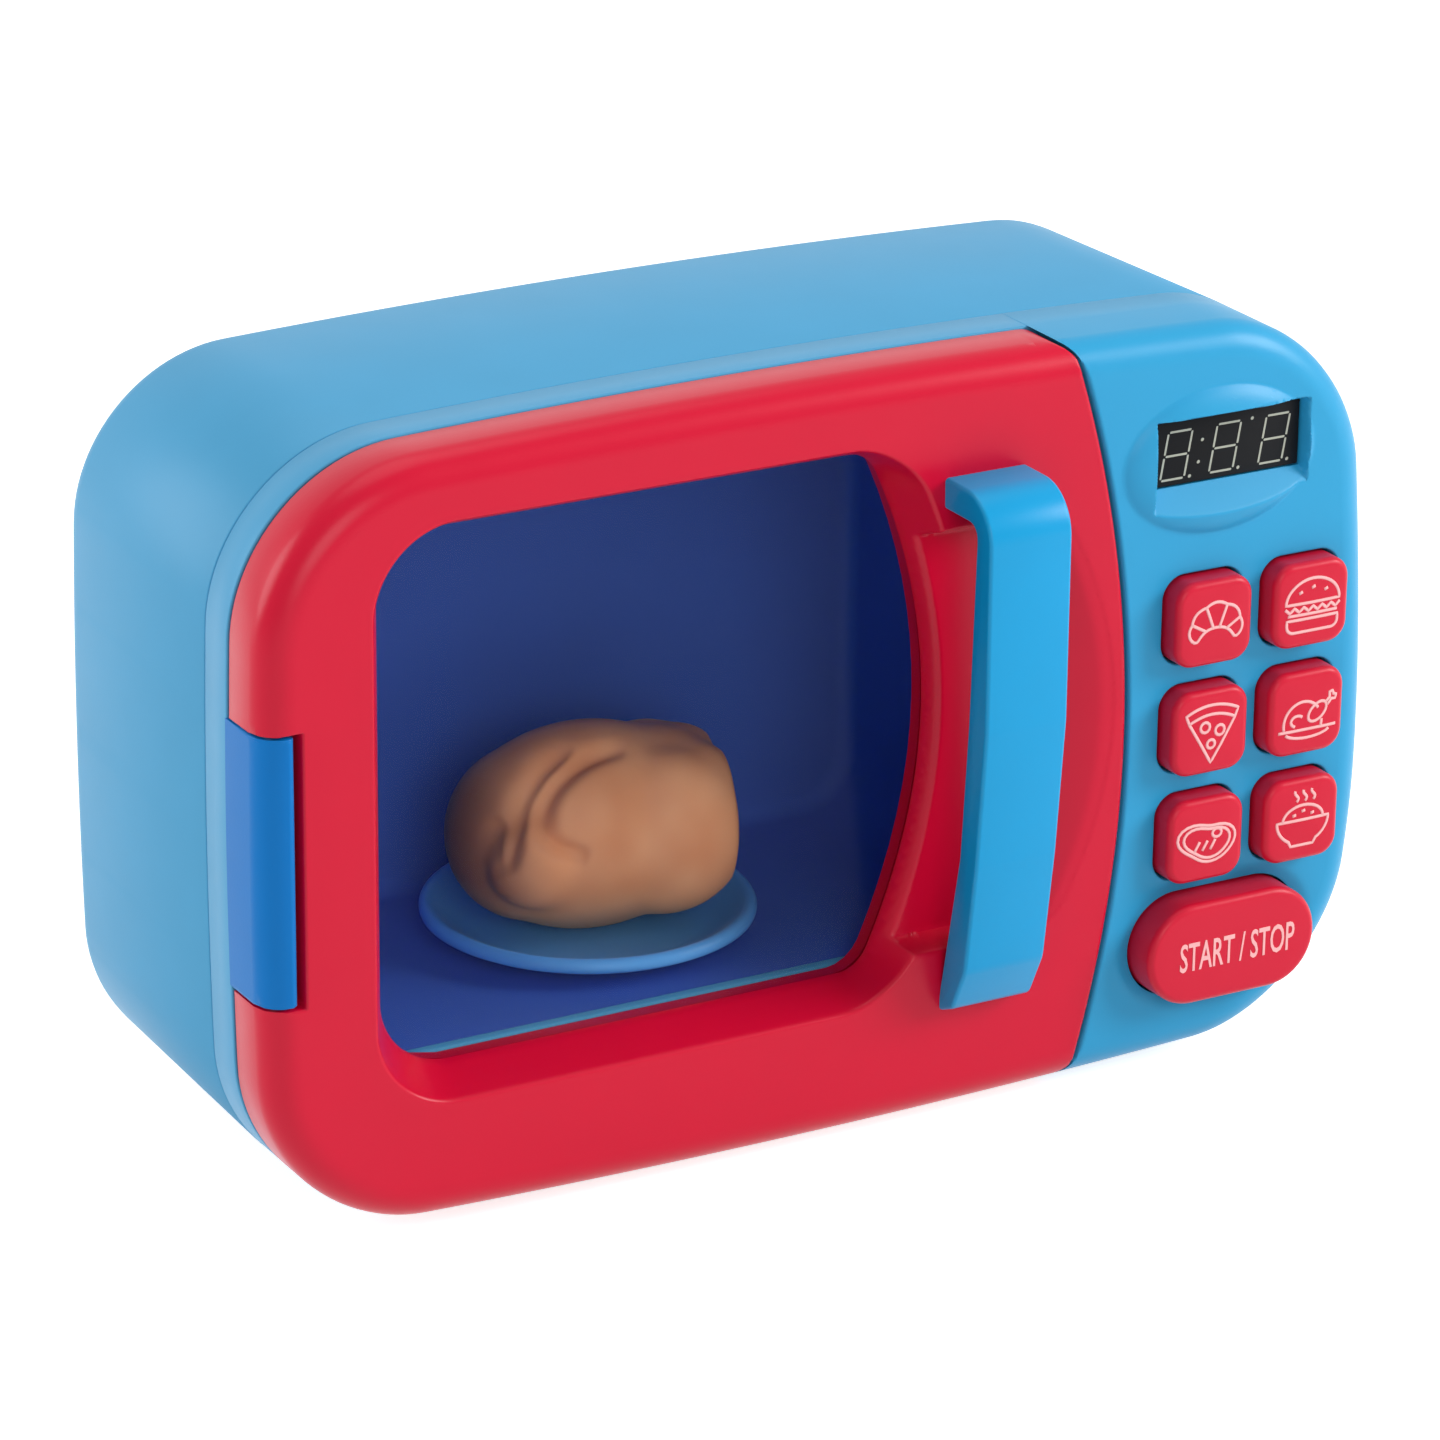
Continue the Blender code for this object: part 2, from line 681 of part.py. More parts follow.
def door_region(grow):
    """Outline that bounds the door on its right, with the rounded corners where it meets the case."""
    centre_x = DOOR_ARC_PEAK_X - DOOR_ARC_RADIUS
    reach = DOOR_ARC_RADIUS - DOOR_FILLET
    far = CASE_WIDTH
    arcs = []
    for side in (1, -1):
        x = DOOR_ARC_PEAK_X
        for _ in range(DOOR_FILLET_STEPS):
            z = side * (case_top(x) - DOOR_FILLET)
            x = centre_x + math.sqrt(reach ** 2 - (z - DOOR_ARC_PEAK_Z) ** 2)
        end = math.atan2(z - DOOR_ARC_PEAK_Z, x - centre_x)
        arc = []
        for step in range(DOOR_FILLET_STEPS + 1):
            angle = side * math.radians(90) + (end - side * math.radians(90)) * step / DOOR_FILLET_STEPS
            arc.append((x + (DOOR_FILLET + grow) * math.cos(angle),
                        z + (DOOR_FILLET + grow) * math.sin(angle)))
        arcs.append(arc)
    top, bottom = arcs
    start = math.atan2(top[-1][1] - DOOR_ARC_PEAK_Z, top[-1][0] - centre_x)
    stop = math.atan2(bottom[-1][1] - DOOR_ARC_PEAK_Z, bottom[-1][0] - centre_x)
    edge = []
    for step in range(1, DOOR_ARC_STEPS):
        angle = start + (stop - start) * step / DOOR_ARC_STEPS
        edge.append((centre_x + (DOOR_ARC_RADIUS + grow) * math.cos(angle),
                     DOOR_ARC_PEAK_Z + (DOOR_ARC_RADIUS + grow) * math.sin(angle)))
    outline = [(-far, far), (top[0][0], far)] + top + edge + bottom[::-1] + [(bottom[0][0], -far),
                                                                             (-far, -far)]
    return outline


def bulged_ring(sides, corners, bulge, depth, grow=0.0):
    """Rounded rectangle whose right side bows out, as one section at a depth."""
    left, right, bottom, top = sides[0] - grow, sides[1] + grow, sides[2] - grow, sides[3] + grow
    left_radius, right_radius = corners[0] + grow, corners[1] + grow
    middle, half = (top + bottom) / 2, (top - bottom) / 2
    places = ((right, top, right_radius, 0), (left, top, left_radius, 90),
              (left, bottom, left_radius, 180), (right, bottom, right_radius, 270))
    outline = []
    for x, z, radius, start in places:
        centre_x = x - radius if x == right else x + radius
        centre_z = z - radius if z == top else z + radius
        for step in range(CORNER_POINTS + 1):
            angle = math.radians(start + 90 * step / CORNER_POINTS)
            outline.append((centre_x + radius * math.cos(angle), centre_z + radius * math.sin(angle)))
    outline += between(outline[-1], outline[0], 2 * TOP_STEPS)
    return [at(x + bulge * (1 - ((z - middle) / half) ** 2) * (x - left) / (right - left), depth, z)
            for x, z in outline]


def lip_ring(depth, grow=0.0):
    """The window's opening on the door's front face."""
    return bulged_ring((LIP_LEFT, LIP_RIGHT, LIP_BOTTOM, LIP_TOP), LIP_CORNERS, LIP_BULGE, depth, grow)


def sight_ring(depth, grow=0.0):
    """The window's inner edge, in front of the pane."""
    return bulged_ring((SIGHT_LEFT, SIGHT_RIGHT, SIGHT_BOTTOM, SIGHT_TOP), SIGHT_CORNERS, SIGHT_BULGE,
                       depth, grow)


def window_tunnel(name, near, far, grow=0.0):
    """The funnel from the lip to the inner edge, straight beyond it."""
    return loft(name, [lip_ring(near, grow), lip_ring(0, grow), sight_ring(WINDOW_DEPTH, grow),
                       sight_ring(far, grow)])


def scoop_rings(grow=0.0):
    """Sections of the finger scoop: steep at its right, flattening towards the window."""
    rings = []
    for step in range(SCOOP_STEPS + 1):
        share = step / SCOOP_STEPS
        right = SCOOP_RIGHT + (SCOOP_FLOOR_RIGHT - SCOOP_RIGHT) * share
        bulge = SCOOP_BULGE + (SCOOP_FLOOR_BULGE - SCOOP_BULGE) * share
        shrink = SCOOP_FLOOR_STEP * share
        sides = (SCOOP_LEFT + shrink, right, SCOOP_BOTTOM + shrink, SCOOP_TOP - shrink)
        depth = SCOOP_DEPTH * math.sin(math.radians(90) * share)
        rings.append(bulged_ring(sides, SCOOP_CORNERS, bulge, depth + grow, grow))
    return rings


def scoop(name, grow=0.0):
    """The scoop as a solid that starts in front of the door."""
    rings = scoop_rings(grow)
    lead = [point + Vector((0, -OVERRUN - grow, 0)) for point in rings[0]]
    return loft(name, [lead] + rings)


def notch(name, grow=0.0):
    """Room for the hinge knuckle in the door."""
    half = KNUCKLE_HALF + KNUCKLE_END_GAP + grow
    return box(name, (-CASE_WIDTH, NOTCH_RIGHT + grow), (-CASE_DEPTH, CASE_DEPTH),
               (HINGE_Z - half, HINGE_Z + half))


def screw(name, place, direction, length, radius, head_radius, head_height, finish=STEEL, parent=None):
    """A pan-head screw whose head sits at a place, with its shank along a direction."""
    shank = rod(name, place - direction * head_height / 2, place + direction * length, radius,
                steps=SMALL_STEPS)
    head = rod(name + "_head", place, place - direction * head_height, head_radius,
               head_radius * HEAD_TAPER_SHARE,
               steps=SMALL_STEPS)
    join(shank, head)
    return piece(shank, name, finish, parent=parent)


def door_front(door):
    """Red outer shell of the door: a rounded slab, hollow at the back, with its window funnel and scoop."""
    rings = front_rings(0, 0) + [case_ring(0, DOOR_THICKNESS - DOOR_CHAMFER),
                                 case_ring(DOOR_CHAMFER, DOOR_THICKNESS)]
    shell = loft("door_blank", rings)
    common(shell, extrude_front("door_shape", door_region(0), -OVERRUN, CASE_DEPTH))
    pocket = loft("door_pocket", front_rings(WALL, WALL) + [case_ring(WALL, DOOR_THICKNESS + OVERRUN)])
    common(pocket, extrude_front("pocket_shape", door_region(-WALL), 0, CASE_DEPTH))
    funnel_wall = window_tunnel("funnel_wall", -OVERRUN, WINDOW_RIM, WALL)
    cut(pocket, notch("notch_wall", WALL), funnel_wall, scoop("scoop_wall", WALL))
    holes = [rod("boss_hole", at(x, -OVERRUN, z), at(x, WALL + OVERRUN, z), HANDLE_BOSS_RADIUS + GAP,
                 steps=SMALL_STEPS)
             for x, z in (handle_boss_place(1), handle_boss_place(-1))]
    reach = KNUCKLE_HALF + HINGE_PIN_TAIL + GAP
    pin_hole = rod("door_pin_hole", at(HINGE_X, HINGE_DEPTH, HINGE_Z - reach),
                   at(HINGE_X, HINGE_DEPTH, HINGE_Z + reach),
                   HINGE_PIN_RADIUS + GAP, steps=SMALL_STEPS)
    cut(shell, notch("door_notch"), pocket, window_tunnel("window_cut", -OVERRUN, CASE_DEPTH / 2),
        scoop("scoop_cut"),
        pin_hole, *holes)
    return piece(shell, "door_front", RED, parent=door)


def handle_x(z):
    """Middle of the leaning handle at a height."""
    return HANDLE_X + HANDLE_LEAN * (z - HANDLE_BOTTOM) / (HANDLE_TOP - HANDLE_BOTTOM)


def handle_boss_place(side):
    """Centre of the handle's fixing boss at its top (1) or bottom (-1) end."""
    z = HANDLE_TOP - HANDLE_BOSS_INSET if side > 0 else HANDLE_BOTTOM + HANDLE_BOSS_INSET
    return handle_x(z), z


def door_back(door):
    """Inner cover of the door, which closes the shell and holds the pane."""
    near = DOOR_THICKNESS - DOOR_BACK_THICKNESS
    inset = WALL + GAP
    plate = loft("back_blank", [case_ring(inset, near), case_ring(inset, DOOR_THICKNESS)])
    common(plate, extrude_front("back_shape", door_region(-inset), 0, CASE_DEPTH))
    cut(plate, notch("back_notch", inset))
    rim_near = WINDOW_RIM + GAP + PANE_THICKNESS + GAP
    rim = loft("pane_rim",
               [sight_ring(rim_near, PANE_OVERLAP), sight_ring(near + OVERRUN / 2, PANE_OVERLAP)])
    join(plate, rim)
    opening = loft("back_opening",
                   [sight_ring(0, BACK_OPENING_STEP), sight_ring(CASE_DEPTH, BACK_OPENING_STEP)])
    keeper_slot = box("keeper_slot", (KEEPER_X - KEEPER_WIDTH / 2 - GAP, KEEPER_X + KEEPER_WIDTH / 2 + GAP),
                      (DOOR_THICKNESS - KEEPER_THICKNESS - GAP, CASE_DEPTH),
                      (DOOR_ARC_PEAK_Z - KEEPER_HEIGHT / 2 - GAP, DOOR_ARC_PEAK_Z + KEEPER_HEIGHT / 2 + GAP))
    cut(plate, opening, keeper_slot)
    keeper = box("keeper_blank", (KEEPER_X - KEEPER_WIDTH / 2, KEEPER_X + KEEPER_WIDTH / 2),
                 (DOOR_THICKNESS - KEEPER_THICKNESS, DOOR_THICKNESS),
                 (DOOR_ARC_PEAK_Z - KEEPER_HEIGHT / 2, DOOR_ARC_PEAK_Z + KEEPER_HEIGHT / 2))
    piece(keeper, "catch_plate", STEEL, parent=door)
    return piece(plate, "door_back", RED, parent=door)


def door_window(door):
    """Clear pane behind the window's inner edge."""
    near = WINDOW_RIM + GAP
    pane = loft("pane", [sight_ring(near, PANE_OVERLAP - GAP),
                         sight_ring(near + PANE_THICKNESS, PANE_OVERLAP - GAP)])
    return piece(pane, "door_window", CLEAR, parent=door)


def handle_profile():
    """Side view of the handle as (depth, z) points, down its outer side and up its inner side."""
    outline = [(-GAP, HANDLE_TOP)]
    for step in range(CORNER_POINTS + 1):
        angle = math.radians(90 * step / CORNER_POINTS)
        outline.append((HANDLE_CORNER - HANDLE_REACH - HANDLE_CORNER * math.sin(angle),
                        HANDLE_TOP - HANDLE_CORNER + HANDLE_CORNER * math.cos(angle)))
    foot = HANDLE_TOP - HANDLE_FOOT
    inner = HANDLE_THICKNESS - HANDLE_REACH
    outline += [(-HANDLE_MID_REACH, HANDLE_MID_Z), (-HANDLE_KNEE_REACH, HANDLE_KNEE_Z),
                (-HANDLE_LOW_REACH, HANDLE_LOW_Z), (-HANDLE_TOE_REACH, HANDLE_TOE_Z),
                (-GAP, HANDLE_BOTTOM), (-GAP, HANDLE_BOTTOM + HANDLE_END_FOOT),
                (HANDLE_KNEE_THICKNESS - HANDLE_KNEE_REACH, HANDLE_KNEE_Z),
                (HANDLE_MID_THICKNESS - HANDLE_MID_REACH, HANDLE_MID_Z),
                (inner, foot - HANDLE_INNER_ROUND), (inner + HANDLE_INNER_ROUND, foot), (-GAP, foot)]
    return outline


def door_handle(door):
    """Blue strap with a boss at each end that passes through the door's skin, and its screws."""
    strap = extrude_across("strap", handle_profile(), HANDLE_X - HANDLE_WIDTH / 2,
                           HANDLE_X + HANDLE_WIDTH / 2)
    round_sides(strap, HANDLE_EDGE)
    for vert in strap.data.vertices:
        vert.co.x += handle_x(vert.co.z - CENTRE_Z) - HANDLE_X
    bosses = []
    pilots = []
    for side, length, word in ((1, HANDLE_SCREW_LENGTH, "upper"), (-1, HANDLE_SHORT_SCREW, "lower")):
        x, z = handle_boss_place(side)
        bosses.append(rod("handle_boss", at(x, -3 * GAP, z), at(x, WALL, z), HANDLE_BOSS_RADIUS,
                          steps=SMALL_STEPS))
        pilots.append(rod("pilot", at(x, WALL + OVERRUN, z), at(x, WALL - length, z),
                          SMALL_SCREW_RADIUS + GAP,
                          steps=SMALL_STEPS))
        screw("handle_screw_" + word, at(x, WALL + GAP, z), FORWARD, length, SMALL_SCREW_RADIUS,
              SMALL_SCREW_HEAD_RADIUS, SMALL_SCREW_HEAD_HEIGHT, parent=door)
    join(strap, *bosses)
    cut(strap, *pilots)
    return piece(strap, "door_handle", BLUE, parent=door)


def cavity_outline(grow):
    """Outline of the oven cavity."""
    return rounded_rect((CAVITY_LEFT + CAVITY_RIGHT) / 2, (CAVITY_TOP + CAVITY_FLOOR) / 2,
                        CAVITY_RIGHT - CAVITY_LEFT + 2 * grow, CAVITY_TOP - CAVITY_FLOOR + 2 * grow,
                        CAVITY_CORNER + grow)


def key_places():
    """Name and centre of each food key, row by row from the top left."""
    places = []
    for index, name in enumerate(KEY_NAMES):
        row, column = divmod(index, 2)
        places.append((name, KEYS_X + (column * 2 - 1) * KEY_PITCH_X / 2, KEYS_Z + (1 - row) * KEY_PITCH_Z))
    return places


def board_screw_places():
    """Centres of the two screws between the key columns."""
    return [(KEYS_X, KEYS_Z + side * KEY_PITCH_Z / 2) for side in (1, -1)]


def start_outline(grow):
    """Stadium outline of the start and stop key."""
    return rounded_rect(START_X, START_Z, START_LENGTH + 2 * grow, START_HEIGHT + 2 * grow,
                        START_HEIGHT / 2 + grow - WELD, 2 * CORNER_POINTS)


def front_housing():
    """Blue front moulding: ring behind the door, control panel beside it and the hinge knuckle."""
    shell = loft("housing_blank", front_rings(0, 0) + [case_ring(0, SPLIT_DEPTH)])
    door_room = extrude_front("door_room", door_region(DOOR_SIDE_GAP), -OVERRUN, HOUSING_FACE)
    knuckle_face = [(-CASE_WIDTH, -CASE_DEPTH), (KNUCKLE_RIGHT - KNUCKLE_ROUND, -CASE_DEPTH)]
    for step in range(CORNER_POINTS + 1):
        angle = math.radians(90 * step / CORNER_POINTS)
        knuckle_face.append((KNUCKLE_RIGHT - KNUCKLE_ROUND + KNUCKLE_ROUND * math.sin(angle),
                             KNUCKLE_ROUND - KNUCKLE_ROUND * math.cos(angle)))
    knuckle_face += [(KNUCKLE_RIGHT, CASE_DEPTH), (-CASE_WIDTH, CASE_DEPTH)]
    knuckle = extrude_up("knuckle", knuckle_face, HINGE_Z - KNUCKLE_HALF, HINGE_Z + KNUCKLE_HALF)
    cut(door_room, knuckle)
    pocket = loft("housing_pocket", front_rings(WALL, WALL) + [case_ring(WALL, SPLIT_DEPTH + OVERRUN)])
    cut(pocket, extrude_front("door_side", door_region(DOOR_SIDE_GAP + WALL), 0, HOUSING_FACE + WALL))
    posts = [case_post(index, x, z) for index, (x, z) in enumerate(case_screw_places())]
    board_posts = [rod("board_post", at(x, WALL / 2, z), at(x, BOARD_FACE - GAP, z), BOARD_POST_RADIUS,
                       steps=SMALL_STEPS)
                   for x, z in board_screw_places()]
    cut(shell, door_room, pocket)
    pillow = sphere("pillow", at(PILLOW_X, PILLOW_SINK, PILLOW_Z),
                    (PILLOW_WIDTH / 2, PILLOW_RISE + PILLOW_SINK, PILLOW_HEIGHT / 2), steps=2 * ROUND_STEPS)
    common(pillow, box("pillow_front", (0, CASE_WIDTH), (-CASE_DEPTH, WALL / 2),
                       (-CASE_HEIGHT, CASE_HEIGHT)))
    join(shell, pillow, *posts, *board_posts)
    tools = [extrude_front("cavity_mouth", cavity_outline(0), 0, CASE_DEPTH)] + panel_openings()
    for x, z in case_screw_places():
        tip = CASE_POST_END + GAP + CASE_SCREW_SEAT - CASE_SCREW_LENGTH
        tools.append(rod("case_pilot", at(x, tip, z), at(x, CASE_POST_END + OVERRUN, z),
                         CASE_SCREW_RADIUS + GAP,
                         steps=SMALL_STEPS))
    for x, z in board_screw_places():
        tip = BOARD_FACE + BOARD_THICKNESS - BOARD_SCREW_LENGTH
        tools.append(rod("board_pilot", at(x, tip, z), at(x, BOARD_FACE + OVERRUN, z),
                         SMALL_SCREW_RADIUS + GAP,
                         steps=SMALL_STEPS))
    reach = KNUCKLE_HALF + OVERRUN
    tools.append(rod("knuckle_hole", at(HINGE_X, HINGE_DEPTH, HINGE_Z - reach),
                     at(HINGE_X, HINGE_DEPTH, HINGE_Z + reach),
                     HINGE_PIN_RADIUS + GAP, steps=SMALL_STEPS))
    tools += [foot_hole(side * FOOT_X, FRONT_FOOT_DEPTH) for side in (1, -1)]
    cut(shell, *tools)
    return piece(shell, "front_housing", BLUE)


def case_screw_places():
    """Centres of the case's screws, as shares of its half width and half height."""
    return [(across * CASE_WIDTH / 2, up * CASE_HEIGHT / 2) for across, up in CASE_SCREW_SHARES]


def case_post(index, x, z):
    """Screw post of the front housing, from its ring or from beside its wall."""
    start = CASE_POST_START if x > arc_x(z) else HOUSING_FACE + WALL / 2
    return rod("case_post_%d" % index, at(x, start, z), at(x, CASE_POST_END, z), CASE_POST_RADIUS,
               steps=SMALL_STEPS)


def panel_openings():
    """Cutters for the keys, the start key with the dish around it, and the display's mouth."""
    tools = []
    for name, x, z in key_places():
        size = KEY_SIZE + 2 * KEY_CLEARANCE
        tools.append(extrude_front(name + "_hole",
                                   rounded_rect(x, z, size, size, KEY_CORNER + KEY_CLEARANCE),
                                   -OVERRUN, KEY_WELL))
    tools.append(loft("start_hole",
                      [[at(x, -START_RING_DEPTH, z) for x, z in start_outline(2 * START_RING_WIDTH)],
                                     [at(x, START_RING_DEPTH, z) for x, z in start_outline(KEY_CLEARANCE)],
                                     [at(x, KEY_WELL, z) for x, z in start_outline(KEY_CLEARANCE)]]))
    front = -PILLOW_RISE - OVERRUN
    run = DISPLAY_FACE - front
    slope = run / (DISPLAY_FACE + PILLOW_RISE)
    inner = mouth_outline(0, 0)
    tools.append(loft("mouth", [[at(x, front, z)
                                 for x, z in mouth_outline(MOUTH_SIDE_DRAFT * slope,
                                                           MOUTH_SILL_DRAFT * slope)],
                                [at(x, DISPLAY_FACE, z) for x, z in inner],
                                [at(x, BOARD_FACE, z) for x, z in inner]]))
    return tools


def mouth_outline(side, sill):
    """Opening over the display, widened at its sides and more at its sill."""
    width = DISPLAY_WIDTH + 2 * MOUTH_MARGIN + 2 * side
    low = DISPLAY_Z - DISPLAY_HEIGHT / 2 - MOUTH_MARGIN - sill
    high = DISPLAY_Z + DISPLAY_HEIGHT / 2 + MOUTH_MARGIN + side / 2
    return [(DISPLAY_X - width / 2, low), (DISPLAY_X + width / 2, low),
            (DISPLAY_X + width / 2, high), (DISPLAY_X - width / 2, high)]


def panel_keys():
    """The six food keys and the start and stop key, each with tabs that hold it behind the panel."""
    back = WALL + GAP + KEY_TAB
    for name, x, z in key_places():
        cap = round_front(extrude_front(name, rounded_rect(x, z, KEY_SIZE, KEY_SIZE, KEY_CORNER),
                                        -KEY_PROUD, back), KEY_EDGE)
        tab = box(name + "_tab", (x - KEY_TAB_WIDTH / 2, x + KEY_TAB_WIDTH / 2), (WALL + GAP, back),
                  (z - KEY_SIZE / 2 - KEY_TAB, z + KEY_SIZE / 2 + KEY_TAB))
        piece(join(cap, tab), name, RED, origin=at(x, 0, z))
    cap = round_front(extrude_front("start", start_outline(0), -START_PROUD, back), KEY_EDGE)
    tab = box("start_tab", (START_X - START_TAB_WIDTH / 2, START_X + START_TAB_WIDTH / 2),
              (WALL + GAP, back),
              (START_Z - START_HEIGHT / 2 - KEY_TAB, START_Z + START_HEIGHT / 2 + KEY_TAB))
    piece(join(cap, tab), "start_stop_key", RED, origin=at(START_X, 0, START_Z))


def electronics():
    """Keypad mat with a dome behind each key, circuit board, display and board screws."""
    mat_near = SHEET_BACK - MAT_THICKNESS
    left = KEYS_X - KEY_PITCH_X / 2 - KEY_SIZE / 2
    right = KEYS_X + KEY_PITCH_X / 2 + KEY_CORNER
    low = START_Z - DOME_RADIUS
    high = KEYS_Z + KEY_PITCH_Z + KEY_SIZE / 2
    mat = box("mat", (left, right), (mat_near, SHEET_BACK), (low, high))
    centres = [(x, z) for _, x, z in key_places()] + [(START_X, START_Z)]
    for x, z in centres:
        join(mat, rod("dome", at(x, SHEET_BACK - MAT_THICKNESS / 2, z), at(x, mat_near - DOME_HEIGHT, z),
                      DOME_RADIUS,
                      DOME_RADIUS * DOME_TAPER_SHARE, steps=SMALL_STEPS))
    board = box("board", (BOARD_LEFT, BOARD_RIGHT), (BOARD_FACE, BOARD_FACE + BOARD_THICKNESS),
                (BOARD_BOTTOM, BOARD_TOP))
    for index, (x, z) in enumerate(board_screw_places()):
        cut(mat, rod("mat_hole", at(x, 0, z), at(x, CASE_DEPTH, z), BOARD_POST_RADIUS + GAP,
                     steps=SMALL_STEPS))
        cut(board, rod("board_hole", at(x, 0, z), at(x, CASE_DEPTH, z), SMALL_SCREW_RADIUS + GAP,
                       steps=SMALL_STEPS))
        name = "board_screw_upper" if index == 0 else "board_screw_lower"
        screw(name, at(x, BOARD_FACE + BOARD_THICKNESS + GAP, z), FORWARD, BOARD_SCREW_LENGTH,
              SMALL_SCREW_RADIUS,
              SMALL_SCREW_HEAD_RADIUS, SMALL_SCREW_HEAD_HEIGHT)
    piece(mat, "keypad_mat", GREY_RUBBER)
    piece(board, "circuit_board", GREEN)
    display = box("display", (DISPLAY_X - DISPLAY_WIDTH / 2, DISPLAY_X + DISPLAY_WIDTH / 2),
                  (DISPLAY_FACE, BOARD_FACE - GAP),
                  (DISPLAY_Z - DISPLAY_HEIGHT / 2, DISPLAY_Z + DISPLAY_HEIGHT / 2))
    piece(display, "clock_display", BLACK)


def rear_housing():
    """Blue rear moulding: cup with screw towers, battery tray, speaker fence and grille."""
    near = SPLIT_DEPTH + GAP
    shell = loft("rear_blank", [case_ring(0, near)] + back_rings(DRAFT, CASE_DEPTH, BACK_ROUND))
    hollow = loft("rear_hollow", [case_ring(WALL, near - OVERRUN), case_ring(WALL, near)]
                  + back_rings(DRAFT + WALL, CASE_DEPTH - WALL, BACK_ROUND - WALL))
    cut(shell, hollow)
    outer = loft("rear_bound", [case_ring(0, near)] + back_rings(DRAFT, CASE_DEPTH, BACK_ROUND))
    tower_near = CASE_POST_END + GAP
    towers = [common(rod("tower", at(x, tower_near, z), at(x, CASE_DEPTH - WALL / 2, z), CASE_POST_RADIUS,
                         steps=SMALL_STEPS), outer) for x, z in case_screw_places()]
    tray_half_x, tray_half_z = tray_half_sizes()
    tray_near = CASE_DEPTH - COVER_THICKNESS - 2 * GAP - 2 * BATTERY_RADIUS - 2 * BATTERY_SIDE_ROOM
    tray = box("tray", (BATTERY_X - tray_half_x - TRAY_WALL, BATTERY_X + tray_half_x + TRAY_WALL),
               (tray_near - TRAY_WALL, CASE_DEPTH - WALL / 2),
               (BATTERY_Z - tray_half_z - TRAY_WALL, BATTERY_Z + tray_half_z + TRAY_WALL))
    collar = extrude_front("collar", cover_outline(GAP + TRAY_WALL),
                           CASE_DEPTH - COVER_THICKNESS - GAP - TRAY_WALL,
                           CASE_DEPTH - WALL / 2)
    screw_x, screw_z = cover_screw_place()
    cover_boss = rod("cover_boss", at(screw_x, CASE_DEPTH - COVER_BOSS_DEPTH, screw_z),
                     at(screw_x, CASE_DEPTH - WALL / 2, screw_z), CASE_POST_RADIUS, steps=SMALL_STEPS)
    fence = rod("fence", at(SPEAKER_X, CASE_DEPTH - WALL - SPEAKER_FENCE_HEIGHT, SPEAKER_Z),
                at(SPEAKER_X, CASE_DEPTH - WALL / 2, SPEAKER_Z), SPEAKER_RADIUS + GAP + SPEAKER_FENCE,
                steps=2 * ROUND_STEPS)
    cut(fence, rod("fence_hole", at(SPEAKER_X, 0, SPEAKER_Z), at(SPEAKER_X, CASE_DEPTH - WALL, SPEAKER_Z),
                   SPEAKER_RADIUS + GAP, steps=2 * ROUND_STEPS))
    join(shell, tray, collar, cover_boss, fence, *towers)
    tools = [box("tray_hollow", (BATTERY_X - tray_half_x, BATTERY_X + tray_half_x),
                 (tray_near, CASE_DEPTH + OVERRUN),
                 (BATTERY_Z - tray_half_z, BATTERY_Z + tray_half_z)),
             extrude_front("cover_rebate", cover_outline(GAP), CASE_DEPTH - COVER_THICKNESS - GAP,
                           CASE_DEPTH + OVERRUN),
             rod("cover_pilot", at(screw_x, CASE_DEPTH - COVER_SCREW_LENGTH - GAP, screw_z),
                 at(screw_x, CASE_DEPTH, screw_z), SMALL_SCREW_RADIUS + GAP, steps=SMALL_STEPS)]
    for x, z in case_screw_places():
        seat = tower_near + CASE_SCREW_SEAT
        tools += [rod("screw_way", at(x, seat, z), at(x, CASE_DEPTH + OVERRUN, z),
                      CASE_SCREW_HEAD_RADIUS + GAP,
                      steps=SMALL_STEPS),
                  rod("screw_hole", at(x, tower_near - OVERRUN, z), at(x, seat + OVERRUN, z),
                      CASE_SCREW_RADIUS + GAP,
                      steps=SMALL_STEPS)]
    for slot in range(GRILLE_SLOTS):
        z = SPEAKER_Z + (slot - (GRILLE_SLOTS - 1) / 2) * GRILLE_SLOT_PITCH
        half = math.sqrt((SPEAKER_RADIUS - GRILLE_SLOT_PITCH) ** 2 - (z - SPEAKER_Z) ** 2)
        tools.append(extrude_front("grille", rounded_rect(SPEAKER_X, z, 2 * half, GRILLE_SLOT_WIDTH,
                                                          GRILLE_SLOT_WIDTH / 2 - WELD, 2),
                                   CASE_DEPTH - 2 * WALL, CASE_DEPTH + OVERRUN))
    tools += [foot_hole(side * FOOT_X, REAR_FOOT_DEPTH) for side in (1, -1)]
    cut(shell, *tools)
    return piece(shell, "rear_housing", BLUE)


def tray_half_sizes():
    """Half width and half height of the battery tray's inside."""
    half_x = (BATTERY_COUNT - 1) * BATTERY_PITCH / 2 + BATTERY_RADIUS + BATTERY_SIDE_ROOM
    half_z = BATTERY_LENGTH / 2 + 2 * GAP + CONTACT_THICKNESS + BATTERY_TIP_HEIGHT
    return half_x, half_z


def cover_outline(grow):
    """Battery cover with its screw tab above it."""
    half_x, half_z = tray_half_sizes()
    width = 2 * (half_x + COVER_LEDGE + grow)
    low = BATTERY_Z - half_z - COVER_LEDGE - grow
    high = BATTERY_Z + half_z + COVER_SCREW_TAB + grow
    return rounded_rect(BATTERY_X, (low + high) / 2, width, high - low, COVER_LEDGE + grow, 2)


def cover_screw_place():
    """Centre of the battery cover's screw."""
    half_z = tray_half_sizes()[1]
    return BATTERY_X, BATTERY_Z + half_z + COVER_SCREW_TAB / 2


